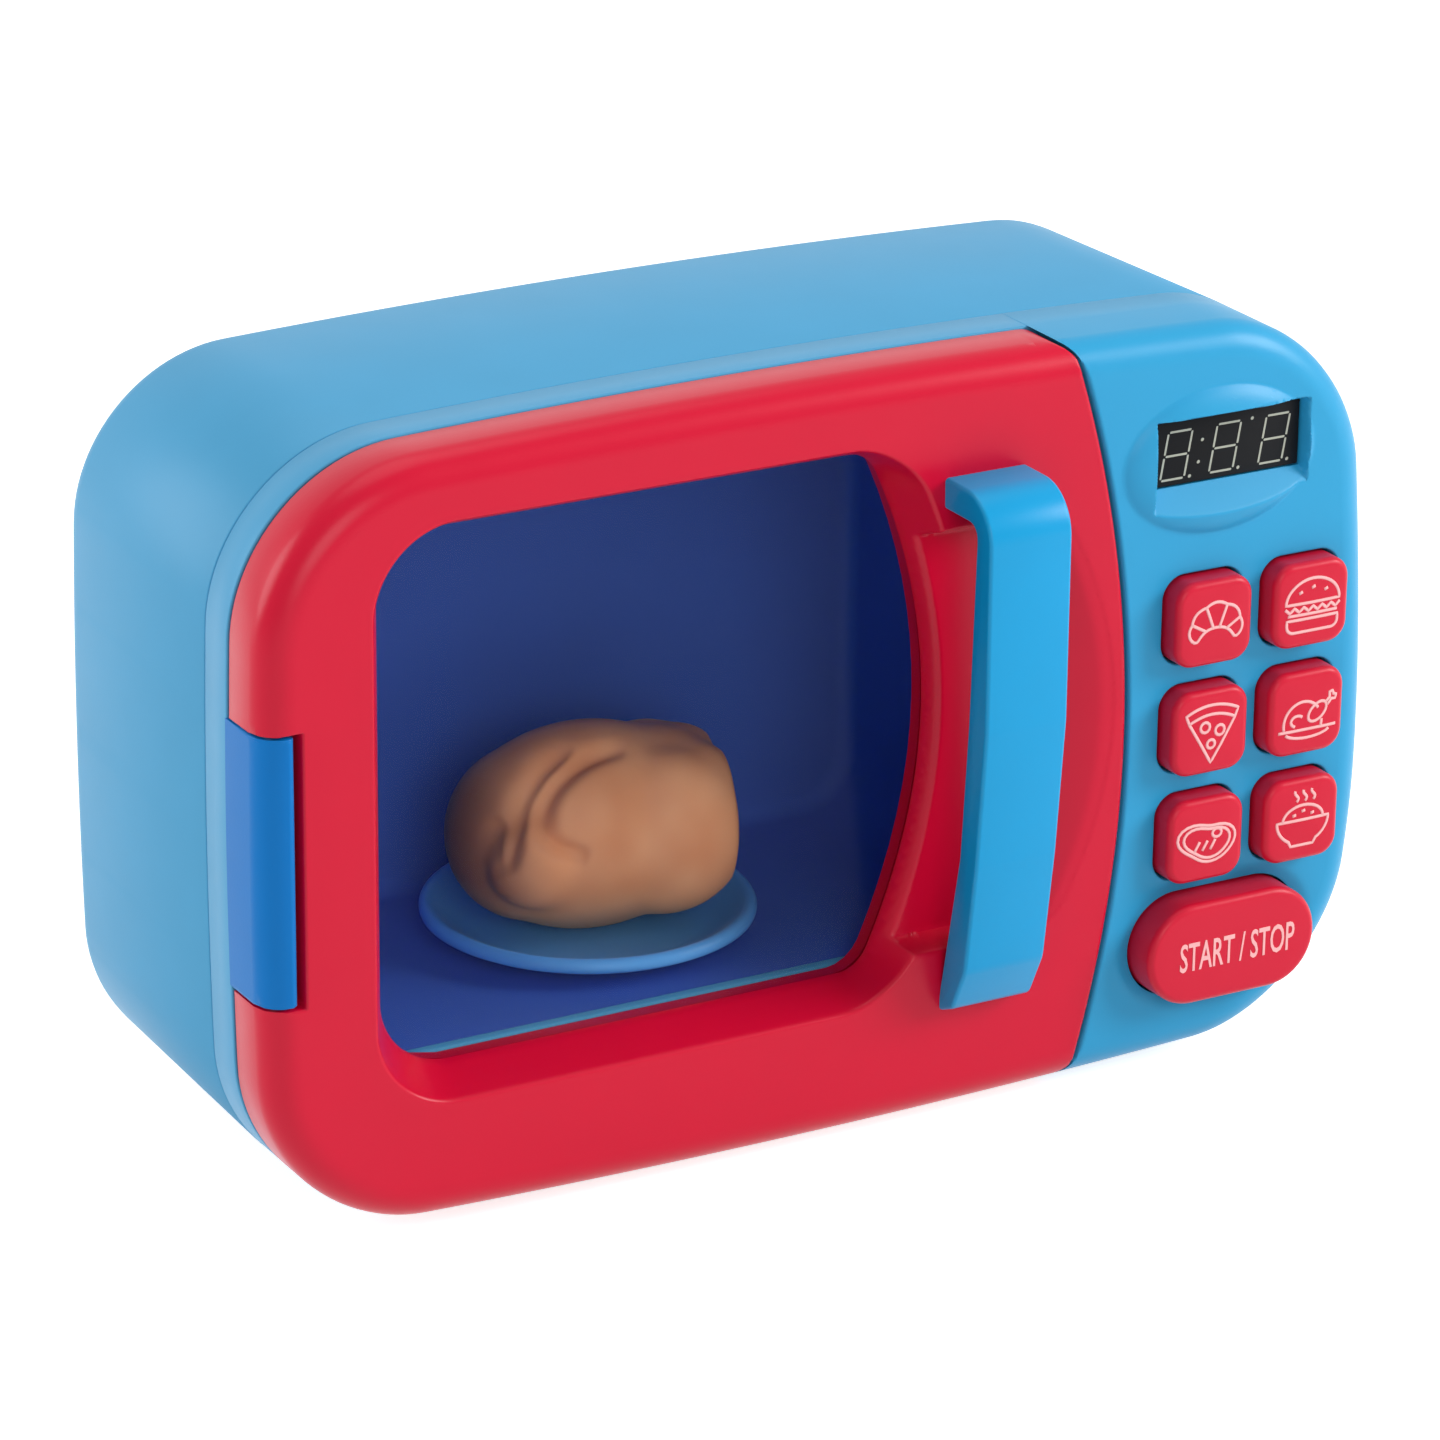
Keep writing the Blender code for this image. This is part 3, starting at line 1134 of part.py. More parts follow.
def battery_parts():
    """Cells, contacts, and the cover with its screw."""
    half_x, half_z = tray_half_sizes()
    depth = CASE_DEPTH - COVER_THICKNESS - 2 * GAP - BATTERY_RADIUS - BATTERY_SIDE_ROOM
    for cell in range(BATTERY_COUNT):
        x = BATTERY_X + (cell - (BATTERY_COUNT - 1) / 2) * BATTERY_PITCH
        up = 1 if cell % 2 == 0 else -1
        tip = BATTERY_LENGTH / 2 + BATTERY_TIP_HEIGHT
        body = rod("cell", at(x, depth, BATTERY_Z - BATTERY_LENGTH / 2),
                   at(x, depth, BATTERY_Z + BATTERY_LENGTH / 2),
                   BATTERY_RADIUS)
        nub = rod("nub", at(x, depth, BATTERY_Z), at(x, depth, BATTERY_Z + up * tip), BATTERY_TIP_RADIUS,
                  steps=SMALL_STEPS)
        piece(join(body, nub), "battery_%d" % (cell + 1), CELL)
    for side, name in ((1, "battery_contact_upper"), (-1, "battery_contact_lower")):
        seat = BATTERY_Z + side * (half_z - GAP)
        edges = sorted((seat, seat - side * CONTACT_THICKNESS))
        contact = box(name, (BATTERY_X - half_x + GAP, BATTERY_X + half_x - GAP),
                      (depth - CONTACT_WIDTH / 2, depth + CONTACT_WIDTH / 2), edges)
        piece(contact, name, STEEL)
    cover = extrude_front("cover", cover_outline(0), CASE_DEPTH - COVER_THICKNESS, CASE_DEPTH)
    screw_x, screw_z = cover_screw_place()
    head_room = SMALL_SCREW_HEAD_HEIGHT
    cut(cover, rod("cover_hole", at(screw_x, 0, screw_z), at(screw_x, CASE_DEPTH + OVERRUN, screw_z),
                   SMALL_SCREW_RADIUS + GAP, steps=SMALL_STEPS),
        rod("cover_sink", at(screw_x, CASE_DEPTH - head_room, screw_z),
            at(screw_x, CASE_DEPTH + OVERRUN, screw_z),
            SMALL_SCREW_HEAD_RADIUS + GAP, steps=SMALL_STEPS))
    piece(cover, "battery_cover", BLUE)
    screw("battery_cover_screw", at(screw_x, CASE_DEPTH - head_room + GAP, screw_z), FORWARD,
          COVER_SCREW_LENGTH - head_room, SMALL_SCREW_RADIUS, SMALL_SCREW_HEAD_RADIUS,
          SMALL_SCREW_HEAD_HEIGHT - GAP)


def cavity_liner():
    """Dark blue box that lines the oven, open to the front."""
    near = HOUSING_FACE + WALL + GAP
    liner = extrude_front("liner", cavity_outline(LINER_WALL), near, CAVITY_BACK + LINER_WALL)
    hollow = extrude_front("liner_hollow", cavity_outline(0), near - OVERRUN, CAVITY_BACK)
    spindle_hole = rod("spindle_hole", at(TABLE_X, TABLE_DEPTH, CAVITY_FLOOR - 2 * LINER_WALL),
                       at(TABLE_X, TABLE_DEPTH, CAVITY_FLOOR + LINER_WALL), SPINDLE_RADIUS + 2 * GAP)
    lamp_hole = rod("lamp_hole", at(LAMP_X, LAMP_DEPTH, CAVITY_TOP - LINER_WALL),
                    at(LAMP_X, LAMP_DEPTH, CAVITY_TOP + 2 * LINER_WALL), LAMP_RADIUS + GAP)
    cut(liner, hollow, spindle_hole, lamp_hole)
    return piece(liner, "cavity_liner", LINER_BLUE)


def cavity_lamp():
    """Lamp lens that drops through the liner's ceiling."""
    low = CAVITY_TOP - LAMP_DOME
    seat = CAVITY_TOP + LINER_WALL + GAP
    profile = [(0, seat + LAMP_FLANGE_HEIGHT), (LAMP_FLANGE_RADIUS, seat + LAMP_FLANGE_HEIGHT),
               (LAMP_FLANGE_RADIUS, seat),
               (LAMP_RADIUS, seat), (LAMP_RADIUS, CAVITY_TOP)]
    for step in range(1, CORNER_POINTS):
        angle = math.radians(90 * step / CORNER_POINTS)
        profile.append((LAMP_RADIUS * math.cos(angle), CAVITY_TOP - LAMP_DOME * math.sin(angle)))
    profile.append((0, low))
    return piece(turned("lamp", profile, at(LAMP_X, LAMP_DEPTH, 0)), "cavity_lamp", LENS)


def spindle_levels():
    """Heights that the drive is stacked on: gear top, gear underside and bracket floor."""
    gear_top = CAVITY_FLOOR - LINER_WALL - GEAR_DROP
    gear_low = gear_top - GEAR_THICKNESS
    return gear_top, gear_low, gear_low - GEAR_HUB_HEIGHT - GAP


def gear_radius(teeth):
    """Pitch radius of a gear."""
    return GEAR_MODULE * teeth / 2


def gear_outline(x, depth, teeth, turn):
    """Tooth outline of a gear, with straight flanks."""
    pitch = gear_radius(teeth)
    outline = []
    for tooth in range(teeth):
        middle = turn + 2 * math.pi * tooth / teeth
        for radius, half in ((pitch - TOOTH_ROOT, -TOOTH_ROOT_HALF), (pitch + TOOTH_TIP, -TOOTH_TIP_HALF),
                             (pitch + TOOTH_TIP, TOOTH_TIP_HALF), (pitch - TOOTH_ROOT, TOOTH_ROOT_HALF)):
            angle = middle + half / radius
            outline.append((x + radius * math.cos(angle), depth + radius * math.sin(angle)))
    return outline


def turntable(table):
    """Plate, spindle and gear, which turn together."""
    gear_top, gear_low, floor = spindle_levels()
    under = CAVITY_FLOOR + PLATE_LIFT
    well = under + PLATE_THICKNESS
    rim = under + PLATE_HEIGHT
    profile = [(0, well), (PLATE_WELL_RADIUS, well),
               (PLATE_RADIUS - PLATE_THICKNESS, rim - PLATE_THICKNESS / 4),
               (PLATE_RADIUS - PLATE_THICKNESS / 2, rim), (PLATE_RADIUS, rim - PLATE_THICKNESS / 2),
               (PLATE_WELL_RADIUS + PLATE_THICKNESS / 2, under), (0, under)]
    plate = turned("plate", profile, at(TABLE_X, TABLE_DEPTH, 0), steps=2 * ROUND_STEPS)
    piece(plate, "turntable_plate", LINER_BLUE, parent=table)
    journal_end = floor - BRACKET_FLOOR
    profile = [(0, under - GAP), (SPINDLE_RADIUS, under - GAP), (SPINDLE_RADIUS, floor + GAP),
               (JOURNAL_RADIUS, floor + GAP), (JOURNAL_RADIUS, journal_end), (0, journal_end)]
    piece(turned("spindle", profile, at(TABLE_X, TABLE_DEPTH, 0)), "turntable_spindle", WHITE, parent=table)
    gear = extrude_up("gear", gear_outline(TABLE_X, TABLE_DEPTH, GEAR_TEETH, 0), gear_low, gear_top)
    hub = rod("gear_hub", at(TABLE_X, TABLE_DEPTH, floor + GAP),
              at(TABLE_X, TABLE_DEPTH, gear_top - GEAR_THICKNESS / 2),
              GEAR_HUB_RADIUS)
    bore = rod("gear_bore", at(TABLE_X, TABLE_DEPTH, floor - OVERRUN),
               at(TABLE_X, TABLE_DEPTH, gear_top + OVERRUN),
               SPINDLE_RADIUS + GAP)
    piece(cut(join(gear, hub), bore), "turntable_gear", WHITE, parent=table)


def drive_pinion():
    """Small gear and its shaft, which the motor turns."""
    x = pinion_x()
    gear_top, gear_low, floor = spindle_levels()
    gear = extrude_up("pinion", gear_outline(x, TABLE_DEPTH, PINION_TEETH, math.pi / PINION_TEETH + math.pi),
                      gear_low, gear_top)
    shaft = rod("pinion_shaft", at(x, TABLE_DEPTH, floor - BRACKET_FLOOR - PINION_SHAFT_DEPTH),
                at(x, TABLE_DEPTH, gear_top - GEAR_THICKNESS / 2), PINION_SHAFT_RADIUS, steps=SMALL_STEPS)
    piece(join(gear, shaft), "drive_pinion", WHITE, origin=at(x, TABLE_DEPTH, gear_low))


def pinion_x():
    """Place of the pinion beside the gear."""
    return TABLE_X + gear_radius(GEAR_TEETH) + gear_radius(PINION_TEETH)


def drive_bracket():
    """Open box that hangs under the liner, carries the spindle's lower end and holds the motor."""
    floor = spindle_levels()[2]
    top = CAVITY_FLOOR - LINER_WALL - GAP
    gear_reach = gear_radius(GEAR_TEETH) + TOOTH_TIP + BRACKET_ROOM
    pinion_reach = gear_radius(PINION_TEETH) + TOOTH_TIP + BRACKET_ROOM
    x_range = (TABLE_X - gear_reach, pinion_x() + pinion_reach)
    depth_range = (TABLE_DEPTH - gear_reach, TABLE_DEPTH + gear_reach)
    bracket = box("bracket", (x_range[0] - BRACKET_WALL, x_range[1] + BRACKET_WALL),
                  (depth_range[0] - BRACKET_WALL, depth_range[1] + BRACKET_WALL),
                  (floor - BRACKET_FLOOR, top))
    hollow = box("bracket_hollow", x_range, depth_range, (floor, top + OVERRUN))
    journal = rod("journal_hole", at(TABLE_X, TABLE_DEPTH, floor - 2 * BRACKET_FLOOR),
                  at(TABLE_X, TABLE_DEPTH, top),
                  JOURNAL_RADIUS + GAP)
    boss = rod("motor_boss_hole", at(pinion_x(), TABLE_DEPTH, floor - 2 * BRACKET_FLOOR),
               at(pinion_x(), TABLE_DEPTH, top), MOTOR_BOSS_RADIUS + GAP)
    piece(cut(bracket, hollow, journal, boss), "drive_bracket", WHITE)
    x = pinion_x()
    motor_top = floor - BRACKET_FLOOR - GAP
    motor = rod("motor", at(x, TABLE_DEPTH, motor_top - MOTOR_HEIGHT), at(x, TABLE_DEPTH, motor_top),
                MOTOR_RADIUS)
    boss = rod("motor_boss", at(x, TABLE_DEPTH, motor_top - MOTOR_HEIGHT / 2), at(x, TABLE_DEPTH, floor),
               MOTOR_BOSS_RADIUS)
    hole = rod("shaft_hole", at(x, TABLE_DEPTH, floor - BRACKET_FLOOR - PINION_SHAFT_DEPTH - GAP),
               at(x, TABLE_DEPTH, top),
               PINION_SHAFT_RADIUS + GAP, steps=SMALL_STEPS)
    piece(cut(join(motor, boss), hole), "gear_motor", STEEL)


def play_chicken():
    """Roast chicken on the plate: a plump body with legs, ankle ends, wings and a tail."""
    level = CAVITY_FLOOR + PLATE_LIFT + PLATE_THICKNESS + GAP

    def lump(name, shares, size_shares, turn=0.0):
        along, across, up = shares
        centre = at(FOOD_X, FOOD_DEPTH, level) + Matrix.Rotation(FOOD_TURN, 3, "Z") @ Vector(
            (along * FOOD_LENGTH, across * FOOD_WIDTH, up * FOOD_HEIGHT))
        half_sizes = Vector((size_shares[0] * FOOD_LENGTH, size_shares[1] * FOOD_WIDTH,
                             size_shares[2] * FOOD_HEIGHT)) / 2
        return sphere(name, centre, half_sizes, FOOD_TURN + turn)

    body = lump("food_body", *FOOD_BODY_SHARES)
    lumps = [lump("food_" + name, *shares) for name, shares in FOOD_MIDDLE_SHARES.items()]
    for name, ((along, across, up), size_shares) in FOOD_PAIR_SHARES.items():
        for side in (1, -1):
            turn = side * FOOD_TURN_SHARES[name] * LEG_TURN
            lumps.append(lump("food_" + name, (along, side * across, up), size_shares, turn))
    join(body, *lumps)
    flat = box("food_flat", (-CASE_WIDTH, CASE_WIDTH), (-CASE_DEPTH, 2 * CASE_DEPTH), (-CASE_HEIGHT, level))
    cut(body, flat)
    piece(body, "play_chicken", FOOD, origin=at(FOOD_X, FOOD_DEPTH, level))


def case_inset(depth):
    """How far the drafted side has moved in at a depth."""
    run = CASE_DEPTH - BACK_ROUND - SPLIT_DEPTH - GAP
    return max(0.0, depth - SPLIT_DEPTH - GAP) * DRAFT / run


def foot_top(depth):
    """Highest level that a foot under the case can reach."""
    return case_inset(depth - FOOT_RADIUS) - case_top(FOOT_X - FOOT_RADIUS) - GAP


def foot_hole(x, depth):
    """Hole for a foot's plug."""
    level = foot_top(depth)
    return rod("foot_hole", at(x, depth, level - OVERRUN), at(x, depth, level + FOOT_PLUG_LENGTH + OVERRUN),
               FOOT_PLUG_RADIUS + GAP, steps=SMALL_STEPS)


def feet():
    """Four rubber feet, each with a plug in the case's floor."""
    ground = -CASE_HEIGHT / 2 - GROUND_CLEARANCE
    for end, depth in (("front", FRONT_FOOT_DEPTH), ("rear", REAR_FOOT_DEPTH)):
        top = foot_top(depth)
        for side, word in ((-1, "left"), (1, "right")):
            profile = [(0, top + FOOT_PLUG_LENGTH), (FOOT_PLUG_RADIUS, top + FOOT_PLUG_LENGTH),
                       (FOOT_PLUG_RADIUS, top),
                       (FOOT_RADIUS, top), (FOOT_RADIUS, ground + FOOT_RIM),
                       (FOOT_RADIUS - FOOT_RIM, ground), (0, ground)]
            piece(turned("foot", profile, at(side * FOOT_X, depth, 0)), "foot_%s_%s" % (end, word),
                  GREY_RUBBER)


def hinge_and_catch():
    """Hinge pin in the knuckle and the door, and the magnet behind the housing's ring."""
    reach = KNUCKLE_HALF + HINGE_PIN_TAIL
    pin = rod("pin", at(HINGE_X, HINGE_DEPTH, HINGE_Z - reach), at(HINGE_X, HINGE_DEPTH, HINGE_Z + reach),
              HINGE_PIN_RADIUS,
              steps=SMALL_STEPS)
    piece(pin, "hinge_pin", STEEL)
    near = HOUSING_FACE + WALL + GAP
    magnet = box("magnet", (MAGNET_X - MAGNET_WIDTH / 2, MAGNET_X + MAGNET_WIDTH / 2),
                 (near, near + MAGNET_DEPTH),
                 (DOOR_ARC_PEAK_Z - MAGNET_HEIGHT / 2, DOOR_ARC_PEAK_Z + MAGNET_HEIGHT / 2))
    piece(magnet, "door_magnet", STEEL)


def case_screws():
    """The screws that hold the two housings together."""
    seat = CASE_POST_END + GAP + CASE_SCREW_SEAT + GAP
    for index, (x, z) in enumerate(case_screw_places()):
        screw("case_screw_%d" % (index + 1), at(x, seat, z), FORWARD, CASE_SCREW_LENGTH, CASE_SCREW_RADIUS,
              CASE_SCREW_HEAD_RADIUS, CASE_SCREW_HEAD_HEIGHT)


def speaker():
    """Speaker that faces the grille, with its cone and magnet towards the front."""
    cone = SPEAKER_RIM + SPEAKER_CONE_DEPTH
    deep = cone + SPEAKER_MAGNET_DEPTH
    profile = [(0, deep), (SPEAKER_MAGNET_RADIUS, deep), (SPEAKER_MAGNET_RADIUS, cone),
               (SPEAKER_RADIUS, SPEAKER_RIM),
               (SPEAKER_RADIUS, 0), (0, 0)]
    body = turned("speaker_body", profile, at(SPEAKER_X, CASE_DEPTH - WALL - GAP, SPEAKER_Z),
                  steps=2 * ROUND_STEPS,
                  tip_to_y=True)
    piece(body, "speaker", BLACK)


def build():
    """Make every piece."""
    door = pivot("door_axis", at(HINGE_X, HINGE_DEPTH, HINGE_Z))
    door_front(door)
    door_back(door)
    door_window(door)
    door_handle(door)
    front_housing()
    panel_keys()
    electronics()
    rear_housing()
    battery_parts()
    case_screws()
    speaker()
    hinge_and_catch()
    cavity_liner()
    cavity_lamp()
    turntable(pivot("turntable_axis", at(TABLE_X, TABLE_DEPTH, CAVITY_FLOOR)))
    drive_pinion()
    drive_bracket()
    play_chicken()
    feet()


build()
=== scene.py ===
"""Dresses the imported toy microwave: moulded shells, window door, keys, oven and play food.

Sizes are in metres. Shapes are drawn in face coordinates: x to the right and z up from the case's
centre, and a depth behind the door's front face. A finished mesh is then shifted to the row frame.
"""
from __future__ import annotations

import json
import logging
import math
from collections.abc import Callable, Sequence
from dataclasses import dataclass
from enum import Enum

import bmesh
import bpy
import numpy as np
from mathutils import Matrix, Vector
from mathutils.geometry import delaunay_2d_cdt
from mathutils.kdtree import KDTree

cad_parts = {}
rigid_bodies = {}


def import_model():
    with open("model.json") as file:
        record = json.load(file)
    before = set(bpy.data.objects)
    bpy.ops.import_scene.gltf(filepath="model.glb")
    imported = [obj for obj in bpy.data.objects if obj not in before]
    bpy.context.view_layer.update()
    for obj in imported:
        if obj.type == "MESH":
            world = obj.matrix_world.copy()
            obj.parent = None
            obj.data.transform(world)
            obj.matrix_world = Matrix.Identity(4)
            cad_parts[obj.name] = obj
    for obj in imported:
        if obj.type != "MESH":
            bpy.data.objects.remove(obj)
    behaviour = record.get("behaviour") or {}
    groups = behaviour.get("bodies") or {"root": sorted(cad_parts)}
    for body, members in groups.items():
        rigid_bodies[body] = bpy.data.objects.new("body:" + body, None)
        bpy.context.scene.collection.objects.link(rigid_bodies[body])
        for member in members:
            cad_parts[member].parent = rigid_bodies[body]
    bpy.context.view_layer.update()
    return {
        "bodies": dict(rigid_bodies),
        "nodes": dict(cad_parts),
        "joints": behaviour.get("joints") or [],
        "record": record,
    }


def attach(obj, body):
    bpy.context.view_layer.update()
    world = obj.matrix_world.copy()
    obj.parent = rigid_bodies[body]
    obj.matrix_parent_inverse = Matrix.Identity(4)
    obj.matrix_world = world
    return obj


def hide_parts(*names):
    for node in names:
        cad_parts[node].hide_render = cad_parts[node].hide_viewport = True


LOG = logging.getLogger("toy_microwave")
FACE_ORIGIN = Vector((-0.0021525, -0.0475, 0.1005))
CORNERS = ((1, 1), (-1, 1), (-1, -1), (1, -1))
HAIR = 1e-6
MERGE = 0.00001
NO_LENGTH = 1e-7
NO_AREA = 1e-18
GUIDE_CLEARANCE = 0.00012
SLIGHT = 0.00005
BATCH = 3000

Points = np.ndarray
Field = Callable[[Points], Points]
Pair = tuple[float, float]
Triple = tuple[float, float, float]
Drawing = list[tuple[list[Pair], bool]]
Mesh = bmesh.types.BMesh
Edges = list[bmesh.types.BMEdge]
Verts = list[bmesh.types.BMVert]
Tree = bpy.types.NodeTree


def srgb(red: int, green: int, blue: int) -> Triple:
    """Linear colour of an eight-bit screen colour."""
    shares = (red / 255, green / 255, blue / 255)
    return tuple(s / 12.92 if s <= 0.04045 else ((s + 0.055) / 1.055) ** 2.4 for s in shares)


def find_node(tree: Tree, kind: str) -> bpy.types.Node:
    """First node of a type."""
    return next(node for node in tree.nodes if node.type == kind)


def feed(tree: Tree, node: bpy.types.Node, inputs: dict[str | int, object]) -> None:
    """Set a node's inputs, and link those whose value is a socket.

    Args:
        tree: The nodes.
        node: The node.
        inputs: Values or sockets by the input's name or place.
    """
    for key, value in inputs.items():
        if isinstance(value, bpy.types.NodeSocket):
            tree.links.new(value, node.inputs[key])
        else:
            node.inputs[key].default_value = value


def add_node(
    tree: Tree, kind: str, inputs: dict[str | int, object], **settings: str
) -> bpy.types.NodeOutputs:
    """Add a shader node.

    Args:
        tree: The nodes.
        kind: Its type, without ShaderNode.
        inputs: Values or sockets by the input's name or place.
        settings: The node's own settings.

    Returns:
        Its outputs.
    """
    node = tree.nodes.new("ShaderNode" + kind)
    for name, value in settings.items():
        setattr(node, name, value)
    feed(tree, node, inputs)
    return node.outputs


class Slot(Enum):
    """Material slots of the record."""

    BLUE = "blue_plastic"
    RED = "red_plastic"
    LINER = "liner_plastic"
    CLEAR = "clear_plastic"
    STEEL = "steel"
    WHITE = "white_plastic"
    BLACK = "black_plastic"
    RUBBER = "grey_rubber"
    BOARD = "board_green"
    FOOD = "food_plastic"
    CELL = "cell_wrap"
    LENS = "lamp_lens"


@dataclass(frozen=True)
class Finish:
    """A moulded, turned or printed surface with its mottling, gloss and grain."""

    name: str
    slot: Slot
    colour: Triple
    roughness: float = 0.32
    mottle: float = 0.03
    mottle_scale: float = 45.0
    grain: float = 0.00003
    grain_scale: float = 900.0
    metallic: float = 0.0
    alpha: float = 1.0
    specular: float = 0.25
    sheen_tint: Triple | None = None

    def material(self) -> bpy.types.Material:
        """Node material, built at the first call.

        Returns:
            The material.
        """
        found = bpy.data.materials.get(self.name)
        if found is not None:
            return found
        made = bpy.data.materials.new(self.name)
        made.use_nodes = True
        tree = made.node_tree
        place = add_node(tree, "TexCoord", {})["Object"]

        def noise(scale: float, detail: float) -> bpy.types.NodeSocket:
            """Noise over the piece's own coordinates."""
            return add_node(tree, "TexNoise", {"Scale": scale, "Detail": detail, "Vector": place})["Fac"]

        dark = [max(0.0, c * (1 - self.mottle)) for c in self.colour]
        light = self.sheen_tint or [min(1.0, c * (1 + self.mottle)) for c in self.colour]
        blend = {"Factor": noise(self.mottle_scale, 1.0), 6: (*dark, 1), 7: (*light, 1)}
        gloss = {
            "Value": noise(self.mottle_scale * 3, 1.0),
            "To Min": max(0.02, self.roughness - 0.02),
            "To Max": self.roughness + 0.02,
        }
        relief_of = {"Strength": 0.5, "Distance": self.grain, "Height": noise(self.grain_scale, 2.0)}
        surface = {
            "Metallic": self.metallic,
            "Alpha": self.alpha,
            "Specular IOR Level": self.specular,
            "Base Color": add_node(tree, "Mix", blend, data_type="RGBA")[2],
            "Roughness": add_node(tree, "MapRange", gloss)["Result"],
            "Normal": add_node(tree, "Bump", relief_of)["Normal"],
        }
        feed(tree, find_node(tree, "BSDF_PRINCIPLED"), surface)
        made.diffuse_color = (*self.colour, 1)
        return made


@dataclass(frozen=True)
class RoastFinish(Finish):
    """Painted roast skin that darkens towards one end of the bird: partly browning, partly painted shade."""

    # Colour of the dark end: the roast's browning with painted shade laid in.
    brown_and_shade: Triple = (0.0, 0.0, 0.0)
    darken_from: float = -0.05
    darken_to: float = -0.076

    def material(self) -> bpy.types.Material:
        """Node material with its darker end, which is browning and painted shade together.

        Returns:
            The material.
        """
        if self.name in bpy.data.materials:
            return bpy.data.materials[self.name]
        made = super().material()
        tree = made.node_tree
        shader = find_node(tree, "BSDF_PRINCIPLED")
        place = find_node(tree, "TEX_COORD").outputs["Object"]
        across = add_node(tree, "SeparateXYZ", {"Vector": place})["X"]
        reach = {"Value": across, "From Min": self.darken_from, "From Max": self.darken_to}
        share = add_node(tree, "MapRange", reach, interpolation_type="SMOOTHSTEP")["Result"]
        plain = shader.inputs["Base Color"].links[0].from_socket
        blend = {"Factor": share, 6: plain, 7: (*self.brown_and_shade, 1)}
        feed(tree, shader, {"Base Color": add_node(tree, "Mix", blend, data_type="RGBA")[2]})
        return made


# The case's blue is a lighter, greyer copy of the panel's blue. It is painted sheen: the white reflection
# that the top and sides show at grazing angles, laid into the colour.
SHEENED_CASE_BLUE = Finish("case_blue_painted_sheen", Slot.BLUE, srgb(76, 159, 203), 0.4)
PANEL_BLUE = Finish("panel_blue", Slot.BLUE, srgb(44, 157, 206), 0.36)
KNUCKLE_BLUE = Finish("knuckle_blue", Slot.BLUE, srgb(0, 116, 194), 0.34, specular=0.15)
HANDLE_BLUE = Finish("handle_blue", Slot.BLUE, srgb(8, 156, 213), 0.3)
DOOR_RED = Finish("door_red", Slot.RED, srgb(208, 4, 48), 0.3)
KEY_RED = Finish("key_red", Slot.RED, srgb(208, 20, 52), 0.36)
PRINT_PINK = Finish("print_pink", Slot.RED, srgb(250, 184, 184), 0.5, 0.08, 300.0)
OVEN_BLUE = Finish("oven_blue", Slot.LINER, srgb(64, 106, 200), 0.5, specular=0.15)
PLATE_BLUE = Finish("plate_blue", Slot.LINER, srgb(96, 178, 250), 0.32)
PANE_CLEAR = Finish("pane_clear", Slot.CLEAR, srgb(14, 20, 44), 0.06, 0.02, alpha=0.06, specular=0.5)
SCREEN_BLACK = Finish("screen_black", Slot.BLACK, srgb(14, 15, 18), 0.45, 0.1, specular=0.12)
DIGIT_GREY = Finish("digit_grey", Slot.BLACK, srgb(172, 174, 160), 0.45, 0.08, 500.0)
SPEAKER_BLACK = Finish("speaker_black", Slot.BLACK, srgb(38, 38, 42), 0.6, 0.1)
SCREW_STEEL = Finish("screw_steel", Slot.STEEL, (0.4, 0.4, 0.42), 0.38, 0.08, metallic=1.0)
GEAR_WHITE = Finish("gear_white", Slot.WHITE, srgb(226, 224, 216), 0.45)
FOOT_RUBBER = Finish("foot_rubber", Slot.RUBBER, srgb(120, 122, 128), 0.75, 0.1, grain=0.00006)
BOARD_GREEN = Finish("circuit_green", Slot.BOARD, srgb(24, 110, 52), 0.45, 0.15)
# Its left end darkens to a colour that holds both browning and painted shade.
FOOD_BROWN = RoastFinish(
    "roast_brown", Slot.FOOD, srgb(234, 150, 98), 0.46, 0.12, 70.0, 0.0001, 420.0,
    sheen_tint=srgb(250, 186, 138), brown_and_shade=srgb(112, 64, 52),
)
CELL_WRAP = Finish("cell_wrap", Slot.CELL, srgb(70, 78, 92), 0.35, 0.1, metallic=0.2)
LAMP_LENS = Finish("lamp_lens", Slot.LENS, srgb(240, 234, 210), 0.15, 0.04)

PLAIN_FINISHES = (
    SHEENED_CASE_BLUE, DOOR_RED, OVEN_BLUE, PANE_CLEAR, SCREW_STEEL, GEAR_WHITE, SPEAKER_BLACK, FOOT_RUBBER,
    BOARD_GREEN, FOOD_BROWN, CELL_WRAP, LAMP_LENS,
)
FINISH_OF_SLOT = {finish.slot: finish for finish in PLAIN_FINISHES}


def polar(x: float, z: float, radius: float, angle: float) -> Pair:
    """Point at an angle round a centre."""
    return x + radius * math.cos(angle), z + radius * math.sin(angle)


def smooth_max(first: Points, second: Points | float, blend: float) -> Points:
    """Larger of two fields, with the crease between them rounded.

    Args:
        first: One field's values.
        second: The other field's values.
        blend: How far apart the values are where the rounding starts.

    Returns:
        The blended values.
    """
    share = np.clip(0.5 + 0.5 * (first - second) / blend, 0, 1)
    return share * first + (1 - share) * second + blend * share * (1 - share)


def edge_round(inset: Points, reach: float, fall: float) -> Points:
    """Depth of a rounded edge at an inset from the outline.

    Args:
        inset: Distance inside the outline.
        reach: How far in the rounding goes.
        fall: Its depth at the outline.

    Returns:
        The depths.
    """
    share = np.clip(1 - inset / reach, 0, 1)
    return fall * (1 - np.sqrt(1 - share**2))


